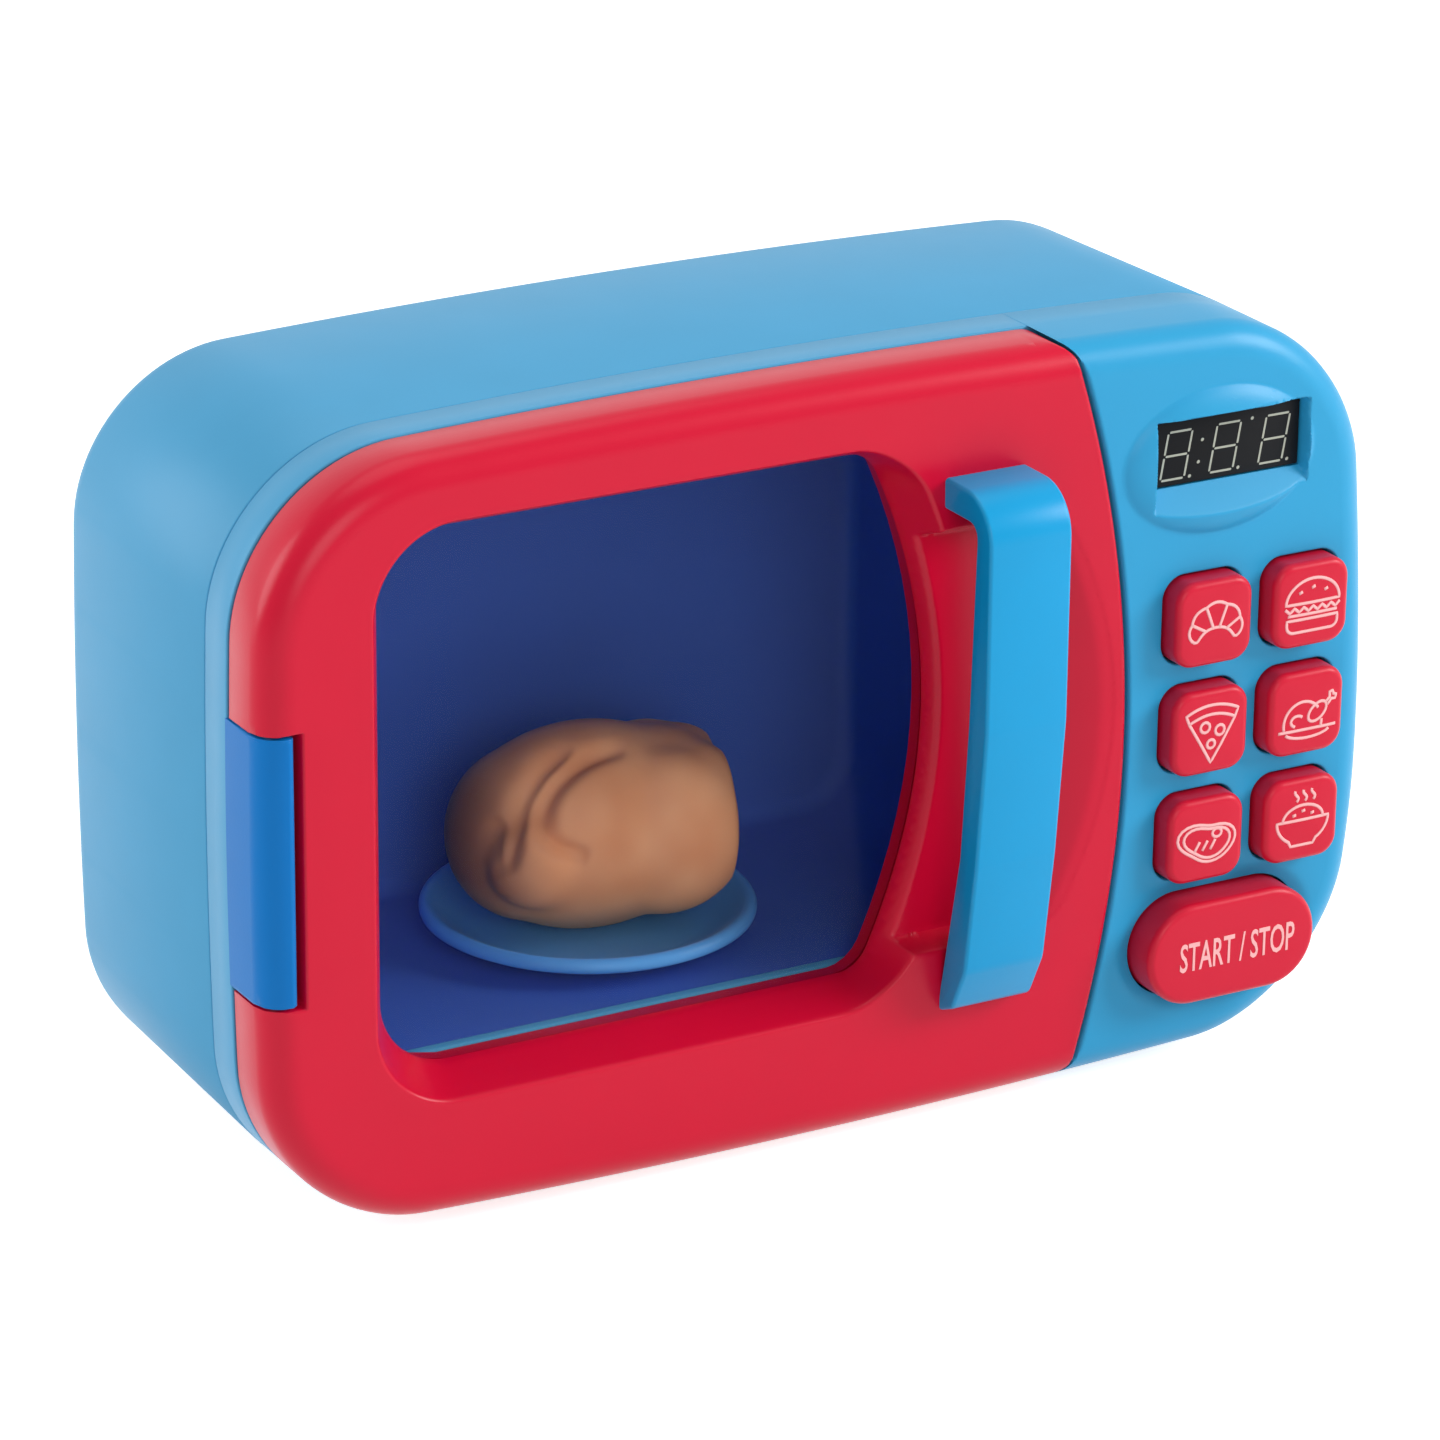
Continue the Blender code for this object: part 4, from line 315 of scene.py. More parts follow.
def ring_inset(points: Points, ring: Points) -> Points:
    """Distance of each point inside a closed ring, negative outside it.

    Args:
        points: The places.
        ring: The outline's corners.

    Returns:
        The signed distances.
    """
    run = np.roll(ring, -1, axis=0) - ring
    length = (run**2).sum(1) + NO_AREA
    lift = np.where(run[:, 1] == 0, NO_AREA, run[:, 1])
    inset = np.empty(len(points))
    for low in range(0, len(points), BATCH):
        block = points[low : low + BATCH, None, :] - ring[None]
        share = np.clip((block * run).sum(2) / length, 0, 1)
        near = np.sqrt(((block - share[..., None] * run) ** 2).sum(2)).min(1)
        passes = (block[..., 1] < 0) != (block[..., 1] < run[:, 1])
        passes &= block[..., 0] < block[..., 1] / lift * run[:, 0]
        inset[low : low + BATCH] = np.where(passes.sum(1) % 2 == 1, near, -near)
    return inset


def inset_of(ring: Points) -> Field:
    """Field that gives the distance inside a closed ring."""
    return lambda points: ring_inset(points, ring)


def fill_run(ring: Points, step: float) -> Points:
    """Add points along the long edges of a closed ring.

    Args:
        ring: The ring.
        step: Longest edge wanted.

    Returns:
        The denser ring.
    """
    made = []
    for start, stop in zip(ring, np.roll(ring, -1, axis=0)):
        length = float(np.hypot(*(stop - start)))
        if length < NO_LENGTH:
            continue
        parts = max(1, math.ceil(length / step))
        made += [start + (stop - start) * part / parts for part in range(parts)]
    return np.array(made)


@dataclass(frozen=True)
class Plot:
    """Rounded rectangle in the face's plane. With its corner at half its height, it is a bar or disc."""

    centre: Pair
    half: Pair
    corner: float = 0.0

    def grown(self, away: float) -> Plot:
        """The same shape, moved outwards by a distance."""
        return Plot(self.centre, (self.half[0] + away, self.half[1] + away), self.corner + away)

    def gap(self, points: Points) -> Points:
        """Distance of each point outside, negative inside.

        Args:
            points: The places.

        Returns:
            The signed distances.
        """
        reach = np.abs(points - np.array(self.centre)) - (np.array(self.half) - self.corner)
        outside = np.sqrt((np.maximum(reach, 0) ** 2).sum(1))
        return -(self.corner - outside - np.minimum(reach.max(1), 0))

    def arcs(self, turns: int) -> Points:
        """Points of the four corners, anticlockwise.

        Args:
            turns: How many steps each corner has.

        Returns:
            The points.
        """
        corner = min(self.corner, self.half[1] - HAIR)
        made = []
        for index, (side, up) in enumerate(CORNERS):
            x = self.centre[0] + side * (self.half[0] - corner)
            z = self.centre[1] + up * (self.half[1] - corner)
            angles = [math.radians(90 * index + 90 * i / turns) for i in range(turns + 1)]
            made += [polar(x, z, corner, angle) for angle in angles]
        return np.array(made)

    def ring(self, step: float) -> Points:
        """Closed outline with points at a spacing, anticlockwise."""
        corner = min(self.corner, self.half[1] - HAIR)
        return fill_run(self.arcs(max(3, round(corner * math.pi / 2 / step))), step)

    def halos(self, aways: Sequence[float], step: float) -> list[Points]:
        """Outlines at several distances outside."""
        return [self.grown(away).ring(step) for away in aways]


def shift_ring(ring: Points, distance: float) -> Points:
    """Move a closed anticlockwise ring inwards along its normals.

    Args:
        ring: The ring.
        distance: How far in.

    Returns:
        The moved ring.
    """
    along = np.roll(ring, -1, axis=0) - np.roll(ring, 1, axis=0)
    along /= np.sqrt((along**2).sum(1))[:, None]
    return ring + distance * np.stack([-along[:, 1], along[:, 0]], axis=1)


def grow_edges(mesh: Mesh, edges: Edges, verts: Verts, places: Sequence[Points]) -> tuple[Verts, Edges]:
    """Extrude edges once and put the new vertices at their places.

    Args:
        mesh: The mesh.
        edges: The edges.
        verts: Their vertices.
        places: The new vertices' places, in the order of the old ones.

    Returns:
        The new vertices, in the old order, and the new edges.
    """
    grown = bmesh.ops.extrude_edge_only(mesh, edges=edges)["geom"]
    spot = {vert: index for index, vert in enumerate(verts)}
    made = [None] * len(verts)
    for vert in (g for g in grown if isinstance(g, bmesh.types.BMVert)):
        old = next(e.other_vert(vert) for e in vert.link_edges if e.other_vert(vert) in spot)
        made[spot[old]] = vert
    for vert, place in zip(made, places):
        vert.co = Vector(tuple(map(float, place)))
    fresh = set(made)
    return made, [g for g in grown if isinstance(g, bmesh.types.BMEdge) and set(g.verts) <= fresh]


def at_depth(ring: Points, depth: float) -> Points:
    """Places of a flat ring at a depth."""
    return np.stack([ring[:, 0], np.full(len(ring), depth), ring[:, 1]], axis=1)


def loft(mesh: Mesh, sections: Sequence[Points]) -> tuple[Verts, Verts]:
    """Extrude a closed line of points from section to section.

    Args:
        mesh: The mesh.
        sections: Arrays of places with equal counts.

    Returns:
        The first and last sections' vertices.
    """
    first = [mesh.verts.new(tuple(map(float, place))) for place in sections[0]]
    edges = [mesh.edges.new(pair) for pair in zip(first, first[1:] + first[:1])]
    last = first
    for section in sections[1:]:
        last, edges = grow_edges(mesh, edges, last, section)
    return first, last


def round_steps(reach: float, fall: float, count: int) -> list[Pair]:
    """Insets and depths of a rounded edge, from the face to the side.

    Args:
        reach: How far in it goes.
        fall: How deep it goes.
        count: How many steps.

    Returns:
        The pairs.
    """
    angles = [math.radians(90 * step / count) for step in range(count + 1)]
    return [(reach * (1 - math.sin(a)), fall * (1 - math.cos(a))) for a in angles]


def relief(
    mesh: Mesh,
    inside: Field,
    depth: Field,
    borders: Sequence[Points],
    guides: Sequence[Points],
    patches: Sequence[tuple[float, Field]],
) -> None:
    """Skin of a face that rises and sinks, with its edges on the outlines.

    Args:
        mesh: The mesh.
        inside: Signed distance inside the face.
        depth: Depth of the surface.
        borders: Closed outlines of the face and its holes.
        guides: Closed lines that the triangles follow where they are inside.
        patches: Spacings, finest first, each with the field that is positive where it holds.
    """
    points, edges = [], []
    for ring in borders:
        count = len(points)
        points += [tuple(p) for p in ring]
        edges += [(count + i, count + (i + 1) % len(ring)) for i in range(len(ring))]
    for ring in guides:
        index = {}
        for i in np.flatnonzero(inside(ring) > GUIDE_CLEARANCE):
            index[int(i)] = len(points)
            points.append(tuple(ring[i]))
        edges += [(index[i], index[(i + 1) % len(ring)]) for i in index if (i + 1) % len(ring) in index]
    tree = KDTree(len(points))
    for i, (x, z) in enumerate(points):
        tree.insert((x, z, 0), i)
    tree.balance()
    low, high = borders[0].min(0), borders[0].max(0)
    taken = None
    for spacing, where in patches:
        rows = np.arange(low[1], high[1], spacing * math.sqrt(3) / 2)
        columns = np.arange(low[0], high[0], spacing)
        grid = np.array([(x + (row % 2) * spacing / 2, z) for row, z in enumerate(rows) for x in columns])
        held = where(grid) > 0
        if taken is not None:
            held &= np.array(taken(grid) <= spacing * 0.3)
        grid = grid[held]
        grid = grid[inside(grid) > spacing * 0.45]
        points += [tuple(p) for p in grid if tree.find((p[0], p[1], 0))[2] > spacing * 0.5]
        taken = where
    flat = [Vector((float(x), float(z))) for x, z in points]
    corners, _, faces, *_ = delaunay_2d_cdt(flat, edges, [], 0, NO_LENGTH)
    places = np.array([tuple(c) for c in corners])
    wanted = inside(np.array([places[list(f)].mean(0) for f in faces])) > 0
    depths = depth(places)
    verts = {}
    for face, keep in zip(faces, wanted):
        if not keep:
            continue
        loop = places[list(face)]
        turn = np.cross(loop[1] - loop[0], loop[2] - loop[0])
        order = face if turn > 0 else face[::-1]
        for i in order:
            if i not in verts:
                verts[i] = mesh.verts.new((places[i][0], depths[i], places[i][1]))
        mesh.faces.new([verts[i] for i in order])


def open_edges(mesh: Mesh, held: Field) -> Edges:
    """Edges with one face whose two ends lie where a field is positive.

    Args:
        mesh: The mesh.
        held: The field.

    Returns:
        The edges.
    """
    edges = [e for e in mesh.edges if len(e.link_faces) == 1]
    ends = np.array([(v.co.x, v.co.z) for e in edges for v in e.verts])
    good = (held(ends) > 0).reshape(-1, 2).all(1)
    return [e for e, keep in zip(edges, good) if keep]


def wall(mesh: Mesh, edges: Edges, inside: Field, steps: Sequence[Pair]) -> Edges:
    """Extrude a skin's edge backwards through insets and depths.

    Args:
        mesh: The mesh.
        edges: The edge to start from.
        inside: Signed distance inside the outline, whose slope gives the inset's direction.
        steps: Pairs of an inset and a depth.

    Returns:
        The last edges.
    """
    verts = list({v for e in edges for v in e.verts})
    base = np.array([(v.co.x, v.co.z) for v in verts])
    pushes = ((SLIGHT, 0), (0, SLIGHT))
    slope = np.stack([inside(base + push) - inside(base - push) for push in pushes], axis=1)
    slope /= np.sqrt((slope**2).sum(1))[:, None] + 1e-12
    for inset, depth in steps:
        verts, edges = grow_edges(mesh, edges, verts, at_depth(base + slope * inset, depth))
    return edges


def wall_along(
    mesh: Mesh, line: Field, steps: Sequence[Pair], off: float = 0.0002, slope: Field | None = None
) -> Edges:
    """Extrude the open edge that runs where a field is zero.

    Args:
        mesh: The mesh.
        line: The field.
        steps: Pairs of an inset and a depth.
        off: How far from zero an end may be.
        slope: Field whose slope gives the inset's direction, where it isn't the line's.

    Returns:
        The last edges.
    """
    return wall(mesh, open_edges(mesh, lambda p: off - np.abs(line(p))), slope or line, steps)


def absorb(mesh: Mesh, part: Mesh) -> None:
    """Add a part to a mesh, and free it.

    Args:
        mesh: The mesh.
        part: The part.
    """
    data = bpy.data.meshes.new("part")
    part.to_mesh(data)
    part.free()
    mesh.from_mesh(data)
    bpy.data.meshes.remove(data)


@dataclass
class CaseForm:
    """Outline of the case: a rounded box whose sides bow out, with more swell beside the keys."""

    width: float = 0.3048
    height: float = 0.196
    depth: float = 0.116
    corner: float = 0.041
    side_bow: float = 0.0024
    top_bow: float = 0.004
    panel_bow: float = 0.0045
    panel_bow_z: float = -0.025
    front_reach: float = 0.0084
    front_fall: float = 0.0075
    back_round: float = 0.008
    draft: float = 0.0018
    split: float = 0.031
    wall: float = 0.0025

    def ring(self, inset: float = 0.0) -> Points:
        """The outline moved in by an inset.

        Args:
            inset: How far in.

        Returns:
            The points, anticlockwise from the right.
        """
        half_x = self.width / 2 - self.side_bow
        half_z = self.height / 2 - self.top_bow
        flat = Plot((0, 0), (half_x, half_z), self.corner).ring(0.0026)
        x, z = flat[:, 0], flat[:, 1]
        reach = half_z + np.where(z < self.panel_bow_z, self.panel_bow_z, -self.panel_bow_z)
        lobe = 1 - ((z - self.panel_bow_z) / reach) ** 2
        swell = self.panel_bow * lobe**2 * np.maximum(0, x / half_x) ** 2
        wide = x + self.side_bow * (1 - (z / half_z) ** 2) * x / half_x + swell
        tall = z + self.top_bow * (1 - (x / half_x) ** 2) * z / half_z
        bowed = np.stack([wide, tall], axis=1)
        return shift_ring(bowed, inset) if inset else bowed

    def round_lines(self, reach: float, inset: float = 0.0) -> list[Points]:
        """Lines that the triangles of a rounded edge follow, with one just inside it at the end."""
        insets = [i for i, _ in round_steps(reach, reach, 9)[:-1]] + [reach + 0.0004]
        return [self.ring(inset + i) for i in insets]

    def front_round(self, points: Points) -> Points:
        """Depth of the rounded front edge."""
        return edge_round(ring_inset(points, CASE_RING), self.front_reach, self.front_fall)

    def top(self, x: float) -> float:
        """Height of the case's top above its centre."""
        half_x = self.width / 2 - self.side_bow
        return self.height / 2 - self.top_bow + self.top_bow * (1 - (x / half_x) ** 2)


@dataclass
class DoorForm:
    """Outline of the door: the case's outline, cut by a long arc beside the keys."""

    case: CaseForm
    thickness: float = 0.0186
    arc_radius: float = 0.305
    peak_x: float = 0.0834
    peak_z: float = -0.007
    fillet: float = 0.008
    side_gap: float = 0.0008
    housing_face: float = 0.0193
    fillet_steps: int = 14
    arc_steps: int = 80
    fine_reach: float = 0.004
    fine_parts: int = 10

    def region(self, grow: float = 0.0) -> Points:
        """Closed outline that bounds the door on its right.

        Args:
            grow: How far out the arc is moved.

        Returns:
            The points, anticlockwise.
        """
        centre_x = self.peak_x - self.arc_radius
        reach = self.arc_radius - self.fillet
        arcs = []
        for side in (1, -1):
            x = self.peak_x
            for _ in range(6):
                z = side * (self.case.top(x) - self.fillet)
                x = centre_x + math.sqrt(reach**2 - (z - self.peak_z) ** 2)
            end = math.atan2(z - self.peak_z, x - centre_x)
            start = side * math.pi / 2
            turns = self.fillet_steps
            turn = [start + (end - start) * step / turns for step in range(turns + 1)]
            arcs.append([polar(x, z, self.fillet + grow, a) for a in turn])
        top, bottom = arcs
        first, last = (math.atan2(arc[-1][1] - self.peak_z, arc[-1][0] - centre_x) for arc in arcs)
        turns = self.arc_steps
        turn = [first + (last - first) * step / turns for step in range(1, turns)]
        edge = [polar(centre_x, self.peak_z, self.arc_radius + grow, a) for a in turn]
        far = self.case.width
        above = [(-far, far), (top[0][0], far)]
        below = [(bottom[0][0], -far), (-far, -far)]
        return np.array(above + top + edge + bottom[::-1] + below)[::-1]

    def composite(self, grow: float, keep_left: bool, inset: float = 0.0) -> Points:
        """Closed outline of the door, or of the panel beside it.

        Args:
            grow: How far the arc is moved towards the panel.
            keep_left: True for the door, False for the panel.
            inset: How far the case's outline is moved in.

        Returns:
            The points, anticlockwise.
        """
        region = self.region(grow)
        plain = self.case.ring(inset)
        near = np.abs(ring_inset(plain, region)) < self.fine_reach
        case = []
        for i, (place, following) in enumerate(zip(plain, np.roll(plain, -1, axis=0))):
            parts = self.fine_parts if near[i] or near[(i + 1) % len(plain)] else 1
            case += [place + (following - place) * part / parts for part in range(parts)]
        case = np.array(case)
        side = ring_inset(case, region) if keep_left else -ring_inset(case, region)
        kept = side > SLIGHT
        start = next(i for i in range(len(case)) if kept[i] and not kept[i - 1])
        case, kept = np.roll(case, -start, axis=0), np.roll(kept, -start)
        run = case[: int(np.argmin(kept))]
        arc = region[ring_inset(region, case) > SLIGHT]
        return np.concatenate([run, arc if keep_left else arc[::-1]])


@dataclass
class BulgedForm:
    """Rounded rectangle whose right side bows out."""

    left: float
    right: float
    bottom: float
    top: float
    bulge: float
    left_corner: float
    right_corner: float

    def ring(self, grow: float = 0.0, step: float = 0.0011) -> Points:
        """The closed outline, anticlockwise.

        Args:
            grow: How far out it is moved.
            step: Spacing of the points.

        Returns:
            The points.
        """
        left, right, bottom, top = self.left - grow, self.right + grow, self.bottom - grow, self.top + grow
        outline = []
        for index, (side, up) in enumerate(CORNERS):
            radius = (self.right_corner if side > 0 else self.left_corner) + grow
            x = right - radius if side > 0 else left + radius
            z = top - radius if up > 0 else bottom + radius
            turns = max(4, round(radius * 1.57 / step))
            angles = [math.radians(90 * index + 90 * i / turns) for i in range(turns + 1)]
            outline += [polar(x, z, radius, angle) for angle in angles]
        flat = fill_run(np.array(outline), step)
        lobe = 1 - ((flat[:, 1] - (top + bottom) / 2) / ((top - bottom) / 2)) ** 2
        flat[:, 0] += self.bulge * lobe * (flat[:, 0] - left) / (right - left)
        return flat


CASE = CaseForm()
DOOR = DoorForm(CASE)
LIP = BulgedForm(-0.1235, 0.0183, -0.0655, 0.08, 0.0192, 0.022, 0.015)
SIGHT = BulgedForm(-0.117, 0.0143, -0.06, 0.075, 0.017, 0.018, 0.005)
SCOOP = BulgedForm(-0.02, 0.0625, -0.054, 0.056, 0.017, 0.003, 0.007)
CASE_RING = CASE.ring()
REGION_RING = DOOR.region()
GAP_RING = DOOR.region(DOOR.side_gap)
SIGHT_RING = SIGHT.ring()
LIP_RING = LIP.ring()
SCOOP_RING = SCOOP.ring()


class Dresser:
    """Turns finished meshes into pieces that ride on the CAD bodies."""

    def __init__(self, frame: dict) -> None:
        """Keep the loaded frame.
        """
        self.nodes = frame["nodes"]
        bodies = frame["record"]["behaviour"]["bodies"].items()
        self.body_of = {node: body for body, members in bodies for node in members}
        self.slot_of = {part["node"]: part["material_slot"] for part in frame["record"]["subparts"]}
        self.replaced: set[str] = set()

    def add(
        self,
        name: str,
        mesh: Mesh,
        finish: Finish,
        body: str,
        nodes: Sequence[str] = (),
        sharp: float = 35.0,
        turned: bool = False,
        facing: int = 0,
    ) -> None:
        """Place a mesh in the row frame as a piece.

        Args:
            name: The piece's name.
            mesh: Its mesh in face coordinates, freed here.
            finish: Its finish.
            body: The CAD body that it rides on.
            nodes: CAD nodes that it stands for.
            sharp: Angle in degrees above which an edge stays sharp.
            turned: True for a closed shape whose normals are made to point out.
            facing: For an open skin, -1 where its large side faces the front and 1 the back.
        """
        if turned or facing:
            bmesh.ops.recalc_face_normals(mesh, faces=mesh.faces[:])
        lean = facing * sum(f.normal.y * f.calc_area() for f in mesh.faces)
        if lean < 0:
            bmesh.ops.reverse_faces(mesh, faces=mesh.faces[:])
        bmesh.ops.translate(mesh, vec=FACE_ORIGIN, verts=mesh.verts[:])
        limit = math.radians(sharp)
        for edge in mesh.edges:
            edge.smooth = len(edge.link_faces) != 2 or edge.calc_face_angle(0.0) < limit
        for face in mesh.faces:
            face.smooth = True
        data = bpy.data.meshes.new(name)
        mesh.to_mesh(data)
        mesh.free()
        self.link(name, data, finish, body, nodes)

    def link(
        self, name: str, data: bpy.types.Mesh, finish: Finish, body: str, nodes: Sequence[str] = ()
    ) -> None:
        """Make a piece of finished mesh data.

        Args:
            name: The piece's name.
            data: Its mesh, in the row frame.
            finish: Its finish.
            body: The CAD body that it rides on.
            nodes: CAD nodes that it stands for.
        """
        piece = bpy.data.objects.new(name, data)
        bpy.context.scene.collection.objects.link(piece)
        data.materials.clear()
        data.materials.append(finish.material())
        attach(piece, body)
        if nodes:
            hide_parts(*nodes)
            self.replaced.update(nodes)
        LOG.info("%s: %d faces on %s", name, len(data.polygons), body)

    def dress_rest(self) -> None:
        """Give each CAD node that still shows a smoothed copy with a finish."""
        for name, node in self.nodes.items():
            if name in self.replaced:
                continue
            mesh = bmesh.new()
            mesh.from_mesh(node.data)
            bmesh.ops.remove_doubles(mesh, verts=mesh.verts[:], dist=MERGE)
            bmesh.ops.translate(mesh, vec=-FACE_ORIGIN, verts=mesh.verts[:])
            finish = FINISH_OF_SLOT[Slot(self.slot_of[name])]
            self.add(name + "_dressed", mesh, finish, self.body_of[name], [name])


@dataclass
class DoorShell:
    """Red door: rounded front, window funnel, finger scoop and notch for the hinge."""

    dresser: Dresser
    window_depth: float = 0.012
    rim: float = 0.0125
    scoop_depth: float = 0.0075
    scoop_slope: float = 2.2
    scoop_lip: float = 0.1
    scoop_rim: float = 0.0055
    scoop_blend: float = 0.05
    floor_blend: float = 0.2
    lip_blend: float = 0.0011
    face_blend: float = 0.0009
    floor_right: float = 0.0259
    floor_bulge: float = 0.0084
    arc_round: float = 0.0012
    notch: Plot = Plot((-0.17095, 0.0005), (0.02905, 0.0342))
    notch_round: float = 0.0008
    chamfer: float = 0.001

    def outer_inset(self, points: Points) -> Points:
        """Signed distance inside the door's outer outline."""
        fields = (ring_inset(points, CASE_RING), ring_inset(points, REGION_RING), self.notch.gap(points))
        return np.minimum.reduce(fields)

    def inside(self, points: Points) -> Points:
        """Signed distance inside the door's face, outside its window."""
        return np.minimum(self.outer_inset(points), -ring_inset(points, SIGHT_RING))

    def scooped(self, points: Points) -> Points:
        """Depth of the finger scoop, negative outside it.

        Args:
            points: The places.

        Returns:
            The depths.
        """
        x, z = points[:, 0], points[:, 1]
        middle, half = (SCOOP.top + SCOOP.bottom) / 2, (SCOOP.top - SCOOP.bottom) / 2
        lobe = np.clip(1 - ((z - middle) / half) ** 2, 0, 1)
        right = SCOOP.right + SCOOP.bulge * lobe
        floor = self.floor_right + self.floor_bulge * lobe
        across = (right - x) / (right - floor)
        share = -smooth_max(-across, -ring_inset(points, SCOOP_RING) / self.scoop_rim, self.scoop_blend)
        lip = self.scoop_lip
        bend = np.where(share < lip, np.maximum(share, 0) ** 2 / (2 * lip), share - lip / 2)
        fall = -smooth_max(-self.scoop_slope * bend, -1.0, self.floor_blend)
        return self.scoop_depth * np.where(share < 0, share * self.scoop_slope, fall)

    def depth(self, points: Points) -> Points:
        """Depth of the door's front surface.

        Args:
            points: The places.

        Returns:
            The depths.
        """
        lip = ring_inset(points, LIP_RING)
        sight = np.maximum(-ring_inset(points, SIGHT_RING), 0)
        funnel = self.window_depth * lip / (np.abs(lip) + sight + NO_LENGTH)
        sunk = smooth_max(smooth_max(funnel, self.scooped(points), self.lip_blend), 0.0, self.face_blend)
        edges = (
            CASE.front_round(points),
            edge_round(ring_inset(points, REGION_RING), self.arc_round, self.arc_round),
            edge_round(self.notch.gap(points), self.notch_round, self.notch_round),
        )
        return np.maximum.reduce((sunk, *edges))

    def outline(self) -> Points:
        """Outer outline with the hinge notch cut in.

        Returns:
            The points, anticlockwise.
        """
        ring = DOOR.composite(0.0, True)
        low, high = (self.notch.centre[1] + side * self.notch.half[1] for side in (-1, 1))
        right = self.notch.centre[0] + self.notch.half[0]
        crossed = [i for i in range(len(ring)) if ring[i][1] < high <= ring[i - 1][1]]
        start = next(i for i in crossed if ring[i][0] < -0.13)
        ring = np.roll(ring, -start, axis=0)
        stop = next(i for i in range(len(ring)) if ring[i][1] < low)
        upper, lower = (ring[-1] + ring[0]) / 2, (ring[stop - 1] + ring[stop]) / 2
        bar = fill_run(np.array([(upper[0], high), (right, high), (right, low), (lower[0], low)]), 0.0012)
        cut = next(i for i in range(3, len(bar)) if np.allclose(bar[i], (lower[0], low)))
        return np.concatenate([bar[: cut + 1], ring[stop:]])

    def build(self) -> None:
        """Make the shell and its edges behind the face."""
        mesh = bmesh.new()
        guides = CASE.round_lines(CASE.front_reach)
        guides += [DOOR.region(-i) for i, _ in round_steps(self.arc_round, self.arc_round, 4)[:-1]]
        guides.append(DOOR.region(-self.arc_round - 0.0003))
        guides += self.notch.halos((0.0001, 0.0003, 0.0006, 0.0009), 0.0012)
        guides += [LIP.ring(g) for g in (0.0016, 0.0008, 0.0004, 0.0, -0.0004, -0.0008, -0.0014)]
        guides += [SCOOP.ring(g) for g in (0.0014, 0.0006, 0.0, -0.0006)]

        def worked(points: Points) -> Points:
            """Positive round the window and the scoop."""
            return np.maximum(ring_inset(points, LIP_RING), ring_inset(points, SCOOP_RING)) + 0.0016

        patches = [(0.00095, worked), (0.006, lambda p: self.inside(p) - CASE.front_reach)]
        relief(mesh, self.inside, self.depth, [self.outline(), SIGHT_RING], guides, patches)
        back, cut = DOOR.thickness, self.chamfer
        steps = [(0, back - cut), (cut * 0.3, back - cut * 0.3), (cut, back), (CASE.wall, back)]
        outer = open_edges(mesh, lambda p: -0.001 - ring_inset(p, SIGHT_RING))
        wall(mesh, outer, self.outer_inset, steps + [(CASE.wall, 0.0155)])
        steps = [(0, self.rim), (0.003, self.rim)]
        wall_along(mesh, inset_of(SIGHT_RING), steps, 0.0005, self.inside)
        self.dresser.add("door_shell", mesh, DOOR_RED, "door", ["door_front"], 50, facing=-1)


@dataclass
class StrapHandle:
    """Blue strap handle with a knee near its lower end."""

    dresser: Dresser
    middle_x: float = 0.0426
    lean: float = -0.002
    width: float = 0.0231
    reach: float = 0.021
    top: float = 0.0695
    bottom: float = -0.07
    corner: float = 0.012
    mid: Pair = (-0.0202, 0.01)
    knee: Pair = (-0.0163, -0.026)
    low: Pair = (-0.0116, -0.0556)
    toe: Pair = (-0.0057, -0.0674)
    foot: float = 0.0079
    end_foot: float = 0.006
    thickness: float = 0.0066
    knee_thickness: float = 0.0081
    mid_thickness: float = 0.0087
    edge: float = 0.0024
    hidden: float = 0.0003

    def profile(self) -> list[Pair]:
        """Side view as depth and height pairs, down the outside and up the inside.

        Returns:
            The corners.
        """
        turn = [math.radians(90 * step / 14) for step in range(15)]
        outline = [(self.hidden, self.top)]
        bend = self.corner
        drop = self.top - bend
        outline += [(bend - self.reach - bend * math.sin(a), drop + bend * math.cos(a)) for a in turn]
        end, root = (self.hidden, self.bottom), (self.hidden, self.top - self.foot)
        outline += rounded_turn(outline[-1], self.mid, self.knee, 0.02, 5)
        outline += rounded_turn(self.mid, self.knee, self.low, 0.004, 4)
        outline += rounded_turn(self.knee, self.low, self.toe, 0.009, 5)
        outline += rounded_turn(self.low, self.toe, end, 0.004, 4)
        outline += [end, (self.hidden, self.bottom + self.end_foot)]
        knee_in = (self.knee[0] + self.knee_thickness, self.knee[1])
        mid_in = (self.mid[0] + self.mid_thickness, self.mid[1])
        top_in = (self.thickness - self.reach, self.top - self.foot)
        outline += rounded_turn(outline[-1], knee_in, mid_in, 0.008, 4)
        outline += rounded_turn(knee_in, mid_in, top_in, 0.02, 4)
        outline += rounded_turn(mid_in, top_in, root, 0.004, 6)
        return outline + [root]

    def build(self) -> None:
        """Make the strap: its side view extruded across, with the long edges rounded."""
        mesh = bmesh.new()
        left = self.middle_x - self.width / 2
        face = mesh.faces.new([mesh.verts.new((left, depth, z)) for depth, z in self.profile()])
        push_face(mesh, face, (self.width, 0, 0))
        rims = []
        for edge in mesh.edges:
            ends = [vert.co for vert in edge.verts]
            if abs(ends[0].x - ends[1].x) < HAIR and min(end.y for end in ends) <= -0.0001:
                rims.append(edge)
        bmesh.ops.bevel(
            mesh, geom=rims, offset=self.edge, affect="EDGES", segments=5, profile=0.5, material=-1,
            clamp_overlap=True,
        )
        for vert in mesh.verts:
            vert.co.x += self.lean * (vert.co.z - self.bottom) / (self.top - self.bottom)
        self.dresser.add("handle_strap", mesh, HANDLE_BLUE, "door", ["door_handle"], 28, turned=True)


